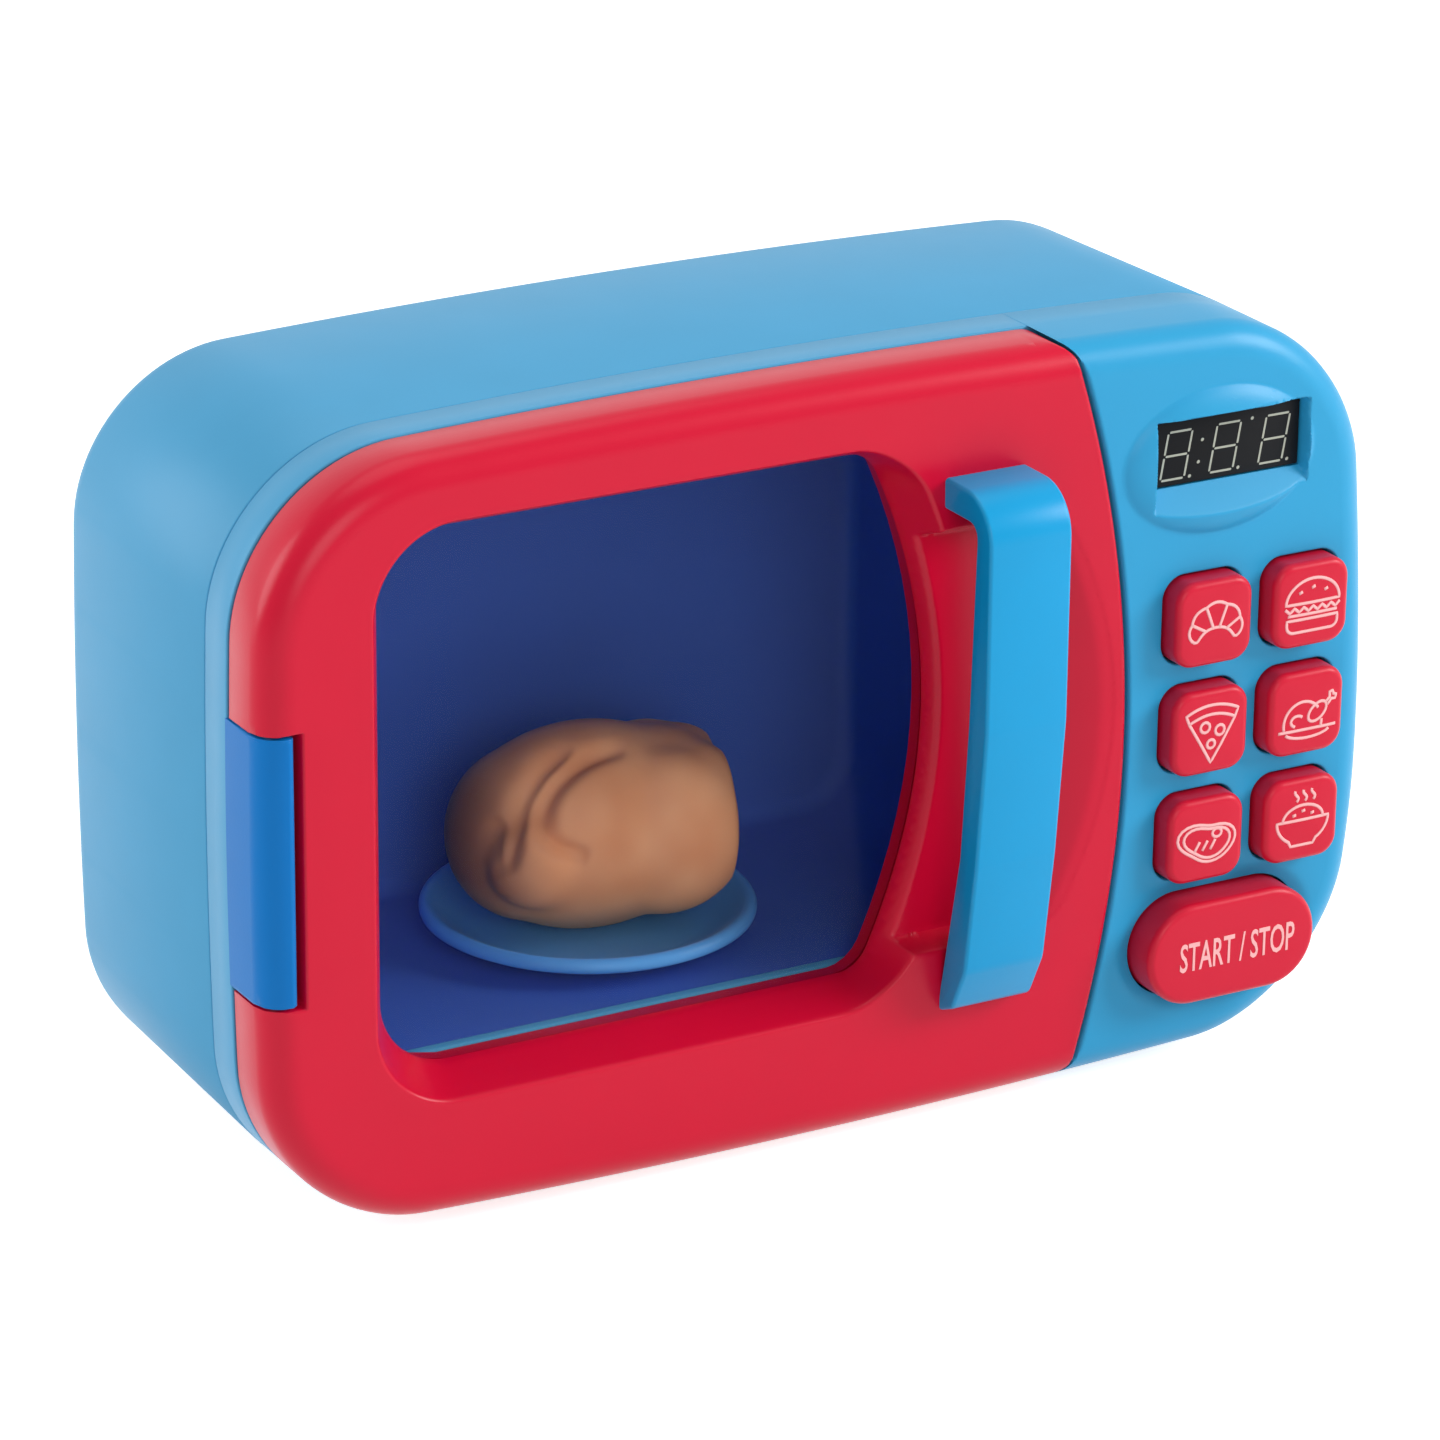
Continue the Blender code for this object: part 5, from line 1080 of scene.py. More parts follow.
def push_face(mesh: Mesh, face: bmesh.types.BMFace, way: Triple) -> None:
    """Extrude a face to a block.

    Args:
        mesh: The mesh.
        face: The face.
        way: How far the new end moves along each axis.
    """
    grown = bmesh.ops.extrude_face_region(mesh, geom=[face])["geom"]
    moved = [g for g in grown if isinstance(g, bmesh.types.BMVert)]
    bmesh.ops.translate(mesh, vec=way, verts=moved)


def rounded_turn(before: Pair, corner: Pair, after: Pair, radius: float, steps: int) -> list[Pair]:
    """Points of a curve that rounds a corner between two lines.

    Args:
        before: A point on the first line.
        corner: The corner.
        after: A point on the second line.
        radius: The rounding's radius.
        steps: How many steps it has.

    Returns:
        The points.
    """
    at_corner = Vector(corner)
    first = (Vector(before) - at_corner).normalized()
    second = (Vector(after) - at_corner).normalized()
    run = radius / math.tan(first.angle(second) / 2)
    start, stop = at_corner + first * run, at_corner + second * run
    shares = [step / steps for step in range(steps + 1)]
    return [tuple(start.lerp(at_corner, s).lerp(at_corner.lerp(stop, s), s)) for s in shares]


@dataclass
class PanelFace:
    """Blue front moulding: control panel, hinge knuckle and the ring behind the door."""

    dresser: Dresser
    key_half: float = 0.0112
    key_corner: float = 0.0055
    key_clear: float = 0.0006
    pitch_x: float = 0.0288
    pitch_z: float = 0.0289
    keys_x: float = 0.1192
    keys_z: float = -0.0074
    well: float = 0.0062
    start: Plot = Plot((0.1125, -0.066), (0.025, 0.0135), 0.0135)
    pillow: Plot = Plot((0.108, 0.062), (0.0295, 0.0199))
    pillow_rise: float = 0.0038
    pillow_sink: float = 0.0022
    display: Plot = Plot((0.1119, 0.0646), (0.02175, 0.0089))
    display_face: float = 0.0028
    side_draft: float = 0.0022
    sill_draft: float = 0.0085
    arc_round: float = 0.001
    hole_round: float = 0.00045
    knuckle_right: float = -0.1436
    knuckle_half: float = 0.0335
    hinge_z: float = 0.0005
    cavity: Plot = Plot((-0.029, 0.01075), (0.099, 0.07125), 0.016)
    pillow_power: float = 2.6
    blend: float = 0.0005
    mouth_blend: float = 0.0004
    dish_rise: float = -0.0012
    dish_from: float = 0.007
    dish_fall: float = 0.375
    dish_reach: float = 0.02

    def keys(self) -> list[Plot]:
        """Outlines of the food keys, row by row from the top left.

        Returns:
            The outlines.
        """
        made = []
        for index in range(6):
            row, column = divmod(index, 2)
            across = self.keys_x + (column * 2 - 1) * self.pitch_x / 2
            spot = (across, self.keys_z + (1 - row) * self.pitch_z)
            made.append(Plot(spot, (self.key_half, self.key_half), self.key_corner))
        return made

    def key_gap(self, points: Points) -> Points:
        """Distance outside the nearest key hole."""
        return np.minimum.reduce([key.grown(self.key_clear).gap(points) for key in self.keys()])

    def start_gap(self, points: Points) -> Points:
        """Distance outside the start key's hole."""
        return self.start.gap(points) - self.key_clear

    def pillow_ratio(self, points: Points) -> Points:
        """Share of the way from the pillow's middle to its rim."""
        away = (points - np.array(self.pillow.centre)) / np.array(self.pillow.half)
        return np.sqrt((away**2).sum(1))

    def outer_inset(self, points: Points) -> Points:
        """Signed distance inside the panel's outer outline."""
        return np.minimum(ring_inset(points, CASE_RING), -ring_inset(points, GAP_RING))

    def inside(self, points: Points) -> Points:
        """Signed distance inside the panel's face."""
        holes = (self.key_gap(points), self.start_gap(points), self.display.gap(points))
        return np.minimum.reduce((self.outer_inset(points), *holes))

    def depth(self, points: Points) -> Points:
        """Depth of the panel's front surface.

        Args:
            points: The places.

        Returns:
            The depths.
        """
        ratio = np.clip(self.pillow_ratio(points), 0, 1)
        swell = np.sqrt(1 - ratio**self.pillow_power)
        dome = self.pillow_sink - (self.pillow_rise + self.pillow_sink) * swell
        face = -smooth_max(-dome, 0.0, self.blend)
        slope = self.display_face + self.pillow_rise
        away = points - np.array(self.display.centre)
        planes = (
            self.display_face - (np.abs(away[:, 0]) - self.display.half[0]) * slope / self.side_draft,
            self.display_face - (-away[:, 1] - self.display.half[1]) * slope / self.sill_draft,
            self.display_face - (away[:, 1] - self.display.half[1]) * slope / (self.side_draft / 2),
        )
        mouth = np.minimum.reduce((*planes, np.full(len(points), self.display_face)))
        face = smooth_max(face, mouth, self.mouth_blend)
        gap = self.start.gap(points)
        dish = self.dish_rise + (self.dish_from - gap) * self.dish_fall
        face = np.where(gap < self.dish_reach, smooth_max(face, dish, self.blend), face)
        edges = (
            CASE.front_round(points),
            edge_round(-ring_inset(points, GAP_RING), self.arc_round, self.arc_round),
            edge_round(self.key_gap(points), self.hole_round, self.hole_round),
        )
        rounded = np.maximum.reduce(edges)
        return np.where(rounded > 0, np.maximum(face, 0) + rounded, face)

    def build(self) -> None:
        """Make the panel, the knuckle and the ring."""
        self.build_panel()
        self.build_knuckle()
        self.build_ring()

    def build_panel(self) -> None:
        """Make the control panel's skin with its wells."""
        mesh = bmesh.new()
        clear = self.key_clear
        holes = [key.grown(clear).ring(0.0008) for key in self.keys()]
        holes += [self.start.grown(clear).ring(0.0009), self.display.ring(0.0006)]
        guides = CASE.round_lines(CASE.front_reach)
        guides += [DOOR.region(DOOR.side_gap + i) for i in (0.0001, 0.0003, 0.0006, self.arc_round, 0.0013)]
        for key in self.keys():
            guides += key.grown(clear).halos((0.00008, 0.00022, self.hole_round, 0.0008), 0.0008)
        guides += self.start.halos((0.0024, 0.0032, 0.0038, 0.0044, 0.0052), 0.0012)
        turn = np.radians(np.arange(0, 360, 2.5))
        circle = np.stack([np.cos(turn), np.sin(turn)], axis=1)
        for scale in (0.8, 0.86, 0.9, 0.93, 0.95, 0.98, 1.02, 1.06):
            guides.append(np.array(self.pillow.centre) + np.array(self.pillow.half) * scale * circle)
        patches = [
            (0.00045, lambda p: 0.0095 - self.display.gap(p)),
            (0.0011, lambda p: 1.06 - self.pillow_ratio(p)),
            (0.004, lambda p: self.outer_inset(p) - CASE.front_reach),
        ]
        borders = [DOOR.composite(DOOR.side_gap, False)] + holes
        relief(mesh, self.inside, self.depth, borders, guides, patches)

        def on_case(points: Points) -> Points:
            """Positive on the case's outline, away from the keys."""
            return np.minimum(0.00012 - np.abs(ring_inset(points, CASE_RING)), self.key_gap(points))

        split = CASE.split
        steps = [(0, DOOR.housing_face), (0, split - 0.0003), (0.0003, split), (CASE.wall, split)]
        wall(mesh, open_edges(mesh, on_case), inset_of(CASE_RING), steps)
        wall_along(mesh, inset_of(GAP_RING), [(0, DOOR.housing_face)], 0.0004, self.outer_inset)
        for gap in (self.key_gap, self.start_gap, self.display.gap):
            wall_along(mesh, gap, [(0, self.well)], 0.00012)
        self.dresser.add("control_panel", mesh, PANEL_BLUE, "case", ["front_housing"], 50, facing=-1)

    def build_knuckle(self) -> None:
        """Make the hinge knuckle at the left edge."""
        mesh = bmesh.new()
        low, high = self.hinge_z - self.knuckle_half, self.hinge_z + self.knuckle_half
        side = np.array([p for p in CASE_RING if p[0] < -0.13 and low < p[1] < high])
        right, edge_x = self.knuckle_right, side[0][0]
        frame = [*side, (side[-1][0], low), (right, low), (right, high), (edge_x, high)]
        outline = fill_run(np.array(frame), 0.0013)
        inside = inset_of(outline)

        def depth(points: Points) -> Points:
            """Depth of its rounded surface."""
            end = self.knuckle_half - np.abs(points[:, 1] - self.hinge_z)
            sides = (edge_round(right - points[:, 0], 0.002, 0.002), edge_round(end, 0.0006, 0.0006))
            return np.maximum.reduce((CASE.front_round(points), *sides))

        guides = CASE.round_lines(CASE.front_reach)[:-1]
        middle = (edge_x - 0.02, self.hinge_z)
        for away in (0.0002, 0.0006, 0.0012, 0.002):
            reach = (right - middle[0] - away, self.knuckle_half - min(away, 0.0008))
            guides.append(Plot(middle, reach).ring(0.0013))
        relief(mesh, inside, depth, [outline], guides, [(0.0016, inside)])
        wall_along(mesh, inside, [(0, 0.0199)], 0.001)
        self.dresser.add("hinge_knuckle", mesh, KNUCKLE_BLUE, "case", [], 50, facing=-1)

    def build_ring(self) -> None:
        """Make the ring behind the door with the oven's mouth in it."""
        mesh = bmesh.new()
        face, split, edge = DOOR.housing_face, CASE.split, 0.0006
        inner = CASE.ring(edge)

        def inside(points: Points) -> Points:
            """Signed distance inside the ring's face."""
            outer = (ring_inset(points, inner), ring_inset(points, GAP_RING))
            return np.minimum.reduce((*outer, self.cavity.gap(points)))

        def depth(points: Points) -> Points:
            """Depth of its face, rounded at the mouth."""
            return face + edge_round(self.cavity.gap(points), 0.0009, 0.0009)

        borders = [DOOR.composite(DOOR.side_gap, True, edge), self.cavity.ring(0.003)]
        guides = self.cavity.halos((0.0001, 0.0004, 0.0009), 0.003)
        relief(mesh, inside, depth, borders, guides, [(0.012, inside)])
        curve = [(0.3, 0.08), (0.66, 0.3), (0.86, 0.62), (0.92, 1)]
        steps = [(-edge * out, face + edge * fall) for out, fall in curve]
        steps += [(-edge * 0.92, split - 0.0003), (0.0003 - edge, split), (CASE.wall, split)]
        wall_along(mesh, inset_of(inner), steps, 0.0003, inset_of(CASE_RING))
        wall_along(mesh, self.cavity.gap, [(0, 0.0218)])
        self.dresser.add("door_seat_ring", mesh, SHEENED_CASE_BLUE, "case", [], 50, facing=-1)


@dataclass
class Keys:
    """Food keys with their printed line drawings, and the start and stop key."""

    dresser: Dresser
    panel: PanelFace
    proud: float = 0.006
    start_proud: float = 0.0085
    edge: float = 0.0019
    crown: float = 0.00035
    start_crown: float = 0.0001
    back: float = 0.0043
    line: float = 0.00044
    scale: float = 1.05
    words_size: Pair = (0.0345, 0.0078)
    words_shift: Pair = (0.0012, -0.0002)

    def cap(self, plot: Plot, proud: float, crown: float) -> Mesh:
        """A key cap with a rounded rim and a slightly crowned top.

        Args:
            plot: Its outline.
            proud: How far it stands before the panel.
            crown: How far its middle rises above its rim.

        Returns:
            The mesh.
        """
        mesh = bmesh.new()
        edge = self.edge
        middle = np.array(plot.centre)

        def ring_at(inset: float) -> Points:
            """The outline at an inset."""
            half = (plot.half[0] - inset, plot.half[1] - inset)
            return Plot(plot.centre, half, max(plot.corner - inset, 0.0008)).arcs(12)

        steps = [(0.0, self.back), (0.0, edge - proud + 0.0003)]
        steps += [(inset, fall - proud) for inset, fall in round_steps(edge, edge, 7)[::-1]]
        sections = [at_depth(ring_at(inset), depth) for inset, depth in steps]
        for share in (0.82, 0.6, 0.36, 0.12):
            ring = middle + (ring_at(edge) - middle) * share
            sections.append(at_depth(ring, -proud - crown * (1 - share**2)))
        first, last = loft(mesh, sections)
        mesh.faces.new(last)
        mesh.faces.new(first[::-1])
        return mesh

    def build(self) -> None:
        """Make the keys and their print."""
        for (name, draw), plot in zip(FOOD_DRAWINGS.items(), self.panel.keys()):
            mesh = self.cap(plot, self.proud, self.crown)
            self.dresser.add(name + "_cap", mesh, KEY_RED, name, [name], 40, turned=True)
            self.lay(self.lines(name, draw()), name, plot, self.proud, self.crown)
        start = self.panel.start
        plot = Plot(start.centre, start.half, start.corner - MERGE)
        mesh = self.cap(plot, self.start_proud, self.start_crown)
        body = "start_stop_key"
        self.dresser.add("start_stop_cap", mesh, KEY_RED, body, [body], 40, turned=True)
        self.lay(self.words(), body, plot, self.start_proud, self.start_crown)

    def lay(self, data: bpy.types.Mesh, body: str, plot: Plot, proud: float, crown: float) -> None:
        """Lay flat print on a crowned key as a piece.

        Args:
            data: The print's mesh, drawn in x and y with its thickness in z.
            body: The key's body.
            plot: The key's outline.
            proud: How far the key stands out.
            crown: How far its middle rises above its rim.
        """
        reach = [half - self.edge for half in plot.half]
        for vert in data.vertices:
            x, z, lift = vert.co
            share = min(1.0, max(abs(x) / reach[0], abs(z) / reach[1]))
            rise = proud + crown * (1 - share**2) + max(lift, -0.00002) * 0.3 - 0.00001
            vert.co = FACE_ORIGIN + Vector((plot.centre[0] + x, -rise, plot.centre[1] + z))
        mesh = bmesh.new()
        mesh.from_mesh(data)
        bmesh.ops.remove_doubles(mesh, verts=mesh.verts[:], dist=0.000002)
        bmesh.ops.recalc_face_normals(mesh, faces=mesh.faces[:])
        mesh.to_mesh(data)
        mesh.free()
        self.dresser.link(data.name, data, PRINT_PINK, body)

    def lines(self, name: str, drawing: Drawing) -> bpy.types.Mesh:
        """Mesh of a line drawing.

        Args:
            name: The key's body.
            drawing: Lines in millimetres, each with whether it closes.

        Returns:
            The mesh.
        """
        curve = bpy.data.curves.new(name + "_lines", "CURVE")
        curve.dimensions = "3D"
        curve.bevel_depth = self.line
        curve.bevel_resolution = 1
        curve.use_fill_caps = True
        for points, closed in drawing:
            spline = curve.splines.new("POLY")
            filled = fill_line(points, closed, 0.8)
            spline.points.add(len(filled) - 1)
            for point, (x, z) in zip(spline.points, filled):
                point.co = (x * self.scale / 1000, z * self.scale / 1000, 0, 1)
            spline.use_cyclic_u = closed
        return mesh_of(curve, name + "_print")

    def words(self) -> bpy.types.Mesh:
        """Mesh of START / STOP, at its size and place on the long key.

        Returns:
            The mesh.
        """
        words = bpy.data.curves.new("start_stop_words", "FONT")
        words.body = "START / STOP"
        words.align_x = "CENTER"
        words.align_y = "CENTER"
        words.size = 0.01
        words.extrude = 0.0004
        words.offset = 0.0001
        words.resolution_u = 3
        data = mesh_of(words, "start_stop_print")
        places = np.array([v.co[:2] for v in data.vertices])
        low, high = places.min(0), places.max(0)
        for vert in data.vertices:
            for i in (0, 1):
                middle, scale = (low[i] + high[i]) / 2, self.words_size[i] / (high[i] - low[i])
                vert.co[i] = (vert.co[i] - middle) * scale + self.words_shift[i]
        return data


def mesh_of(data: bpy.types.Curve, name: str) -> bpy.types.Mesh:
    """Mesh of a curve or text.

    Args:
        data: The curve.
        name: The mesh's name.

    Returns:
        The mesh.
    """
    holder = bpy.data.objects.new(data.name, data)
    bpy.context.scene.collection.objects.link(holder)
    made = bpy.data.meshes.new_from_object(holder)
    bpy.data.objects.remove(holder)
    made.name = name
    return made


def arc(x: float, z: float, wide: float, tall: float, start: float, stop: float, steps: int) -> list[Pair]:
    """Points of an elliptical arc, with its angles in degrees."""
    turn = [math.radians(start + (stop - start) * step / steps) for step in range(steps + 1)]
    return [(x + wide * math.cos(a), z + tall * math.sin(a)) for a in turn]


def loop(x: float, z: float, wide: float, tall: float) -> tuple[list[Pair], bool]:
    """A closed ellipse of twelve points."""
    return arc(x, z, wide, tall, 0, 330, 11), True


def fill_line(points: list[Pair], closed: bool, step: float) -> list[Pair]:
    """Add points along a drawn line, so that it can follow a crowned key.

    Args:
        points: The line's points.
        closed: Whether it closes on itself.
        step: Longest piece wanted.

    Returns:
        The denser line.
    """
    run = points + points[:1] if closed else points
    made = [run[0]]
    for start, stop in zip(run, run[1:]):
        parts = max(1, math.ceil(math.dist(start, stop) / step))
        for share in (part / parts for part in range(1, parts + 1)):
            made.append((start[0] + (stop[0] - start[0]) * share, start[1] + (stop[1] - start[1]) * share))
    return made[:-1] if closed else made


def draw_croissant() -> Drawing:
    """A crescent roll with thin tips and its folds.

    Returns:
        The strokes.
    """
    outer, inner = [], []
    for step in range(41):
        share = step / 40
        angle = math.radians(-8 + 196 * share)
        half = 0.35 + 2.7 * math.sin(math.pi * share) ** 0.75
        puff = 0.45 * abs(math.sin(5 * math.pi * share))
        for line, radius in ((outer, 5.4 + half + puff), (inner, 5.4 - half)):
            line.append((1.04 * radius * math.cos(angle), 0.96 * radius * math.sin(angle) - 3.2))
    return [(outer + inner[::-1], True)] + [([inner[i], outer[i]], False) for i in (8, 16, 24, 32)]


def grains(spots: Sequence[Pair], fall: float = 0.2) -> Drawing:
    """Short tilted strokes at some places, each starting a little lower."""
    return [([(x - 0.5, z - fall), (x + 0.5, z + 0.2)], False) for x, z in spots]


def draw_burger() -> Drawing:
    """A burger from the side: bun, leaf, patty and bun.

    Returns:
        The strokes.
    """
    bun = arc(0, 0.8, 7.6, 6.0, 0, 180, 22)
    base = [(-7.2, -3.2), (7.2, -3.2)]
    base += arc(5.2, -4.6, 2.0, 1.8, 0, -90, 6) + arc(-5.2, -4.6, 2.0, 1.8, -90, -180, 6)
    leaf = [(-7.8 + 15.6 * i / 24, -0.7 + 0.55 * math.cos(i * math.pi / 2)) for i in range(25)]
    seeds = grains(((-3.6, 3.6), (0, 4.6), (3.6, 3.6)))
    return [(bun, True), (base, True), (leaf, False), ([(-7.0, -2.0), (7.0, -2.0)], False)] + seeds


def draw_pizza() -> Drawing:
    """A slice of pizza that points down, with its crust on top.

    Returns:
        The strokes.
    """
    crust = arc(0, -8.6, 15.6, 15.6, 62, 118, 14)
    under = arc(0, -8.6, 13.3, 13.3, 61, 119, 14)
    rounds = [loop(-2.0, 1.6, 1.3, 1.3), loop(2.2, 0.4, 1.3, 1.3), loop(-0.2, -2.8, 1.1, 1.1)]
    return [(crust + [under[-1], (0, -7.6), under[0]], True), (under, False)] + rounds


def draw_roast() -> Drawing:
    """A roast bird on an oval dish, with one leg in the air.

    Returns:
        The strokes.
    """
    body = arc(-1.4, -2.4, 5.4, 5.6, 192, 38, 22)
    breast = arc(-1.4, -2.4, 5.4, 5.6, 4, -14, 4)
    flat = arc(0, 0, 3.0, 1.9, 0, 342, 19)
    thigh = [(2.7 + x * 0.77 - z * 0.64, 0.1 + x * 0.64 + z * 0.77) for x, z in flat]
    bone = [(5.0, 2.0), (6.2, 3.2), (6.1, 4.4), (7.0, 4.6), (7.3, 3.7), (8.1, 3.5), (7.8, 2.5), (6.7, 2.6)]
    bone.append((5.6, 1.3))
    wing = arc(-3.0, -1.6, 1.8, 1.4, 40, 250, 9)
    dish = [(-8.2, -4.0), (8.2, -4.0)]
    under = arc(0, -4.0, 6.6, 2.2, 200, 340, 12)
    return [(line, line is thigh) for line in (body, breast, thigh, bone, wing, dish, under)]


def draw_steak() -> Drawing:
    """A steak with its rim of fat and a round bone.

    Returns:
        The strokes.
    """

    def bean(scale: float) -> tuple[list[Pair], bool]:
        """The steak's outline at a scale."""
        made = []
        for a in (2 * math.pi * step / 32 for step in range(32)):
            radius = 1 + 0.17 * math.cos(2 * a + 0.6) + 0.1 * math.sin(3 * a)
            made.append((7.0 * scale * radius * math.cos(a), 5.4 * scale * radius * math.sin(a) - 0.3))
        return made, True

    bars = [([(-3.6 + i * 2.2, -2.4), (-2.2 + i * 2.2, 0.0)], False) for i in range(3)]
    return [bean(1.0), bean(0.8), loop(2.6, 1.6, 1.3, 1.1)] + bars


def draw_bowl() -> Drawing:
    """A bowl heaped with rice, with steam above it.

    Returns:
        The strokes.
    """
    bowl = [(-7.4, 0.2), (7.4, 0.2)] + arc(0, 0.2, 7.4, 6.2, -4, -58, 8)
    bowl += [(3.2, -6.4), (-3.2, -6.4)] + arc(0, 0.2, 7.4, 6.2, -122, -176, 8)
    lines = [(bowl, True), (arc(0, 0.2, 5.8, 3.8, 0, 180, 16), False)]
    for x in (-2.0, 0.4, 2.8):
        lines.append(([(x + 0.5 * math.sin(i * math.pi / 4), 5.0 + i * 0.4) for i in range(8)], False))
    return lines + grains(((-2.6, 1.5), (0.0, 2.4), (2.6, 1.5)), 0)


FOOD_DRAWINGS = {
    "croissant_key": draw_croissant,
    "burger_key": draw_burger,
    "pizza_key": draw_pizza,
    "roast_key": draw_roast,
    "steak_key": draw_steak,
    "rice_bowl_key": draw_bowl,
}


@dataclass
class ClockDisplay:
    """Black display block with slanted seven-segment digits."""

    dresser: Dresser
    panel: PanelFace
    half: Pair = (0.02135, 0.0085)
    back: float = 0.0096
    digit_half: Pair = (0.0035, 0.0061)
    digit_z: float = -0.0008
    digits_x: tuple[float, float, float] = (-0.0148, -0.0005, 0.0140)
    points: tuple[Pair, ...] = ((-0.0078, 0.0029), (-0.0078, -0.0027), (0.0062, 0.0062))
    stroke: float = 0.00027
    point: float = 0.00045
    gap: float = 0.0005
    slant: float = 0.17

    def build(self) -> None:
        """Make the block and its digits."""
        mesh = bmesh.new()
        (x, z), face = self.panel.display.centre, self.panel.display_face
        bmesh.ops.create_cube(mesh, size=1.0)
        size = (2 * self.half[0], self.back - face, 2 * self.half[1])
        bmesh.ops.scale(mesh, vec=size, verts=mesh.verts[:])
        bmesh.ops.translate(mesh, vec=(x, (self.back + face) / 2, z), verts=mesh.verts[:])
        bmesh.ops.bevel(
            mesh, geom=mesh.edges[:], offset=0.0002, affect="EDGES", segments=2, profile=0.5, material=-1
        )
        self.dresser.add("display_block", mesh, SCREEN_BLACK, "case", ["clock_display"], 30, turned=True)
        lit = bmesh.new()
        wide, tall = self.digit_half
        gap = self.gap
        for x in self.digits_x:
            for level in (-tall, 0, tall):
                self.bar(lit, (x - wide + gap, level), (x + wide - gap, level))
            for side in (x - wide, x + wide):
                self.bar(lit, (side, gap), (side, tall - gap))
                self.bar(lit, (side, -tall + gap), (side, -gap))
            self.dot(lit, (x + wide + 0.0016, -tall + 0.0001))
        for spot in self.points:
            self.dot(lit, spot)
        self.dresser.add("display_digits", lit, DIGIT_GREY, "case", [], 30, turned=True)

    def bar(self, mesh: Mesh, start: Pair, stop: Pair) -> None:
        """Add one segment as a thin pointed bar.

        Args:
            mesh: The mesh.
            start: One end, from the display's centre.
            stop: The other end.
        """
        first, last = Vector(start), Vector(stop)
        along = (last - first).normalized()
        side = Vector((-along.y, along.x)) * self.stroke
        tip = along * self.stroke * 0.6
        outline = [first - tip, first + side, last + side, last + tip, last - side, first - side]
        self.raise_flat(mesh, outline)

    def dot(self, mesh: Mesh, spot: Pair) -> None:
        """Add one round point."""
        self.raise_flat(mesh, [polar(*spot, self.point, math.radians(36 * step)) for step in range(10)])

    def raise_flat(self, mesh: Mesh, outline: Sequence[Pair]) -> None:
        """Add a slanted flat shape that stands a hair before the display's face.

        Args:
            mesh: The mesh.
            outline: Its corners, from the display's centre.
        """
        left, low = self.panel.display.centre
        depth = self.panel.display_face + 0.00003
        places = [(left + x + self.slant * z, depth, low + z + self.digit_z) for x, z in outline]
        push_face(mesh, mesh.faces.new([mesh.verts.new(place) for place in places]), (0, -0.00009, 0))


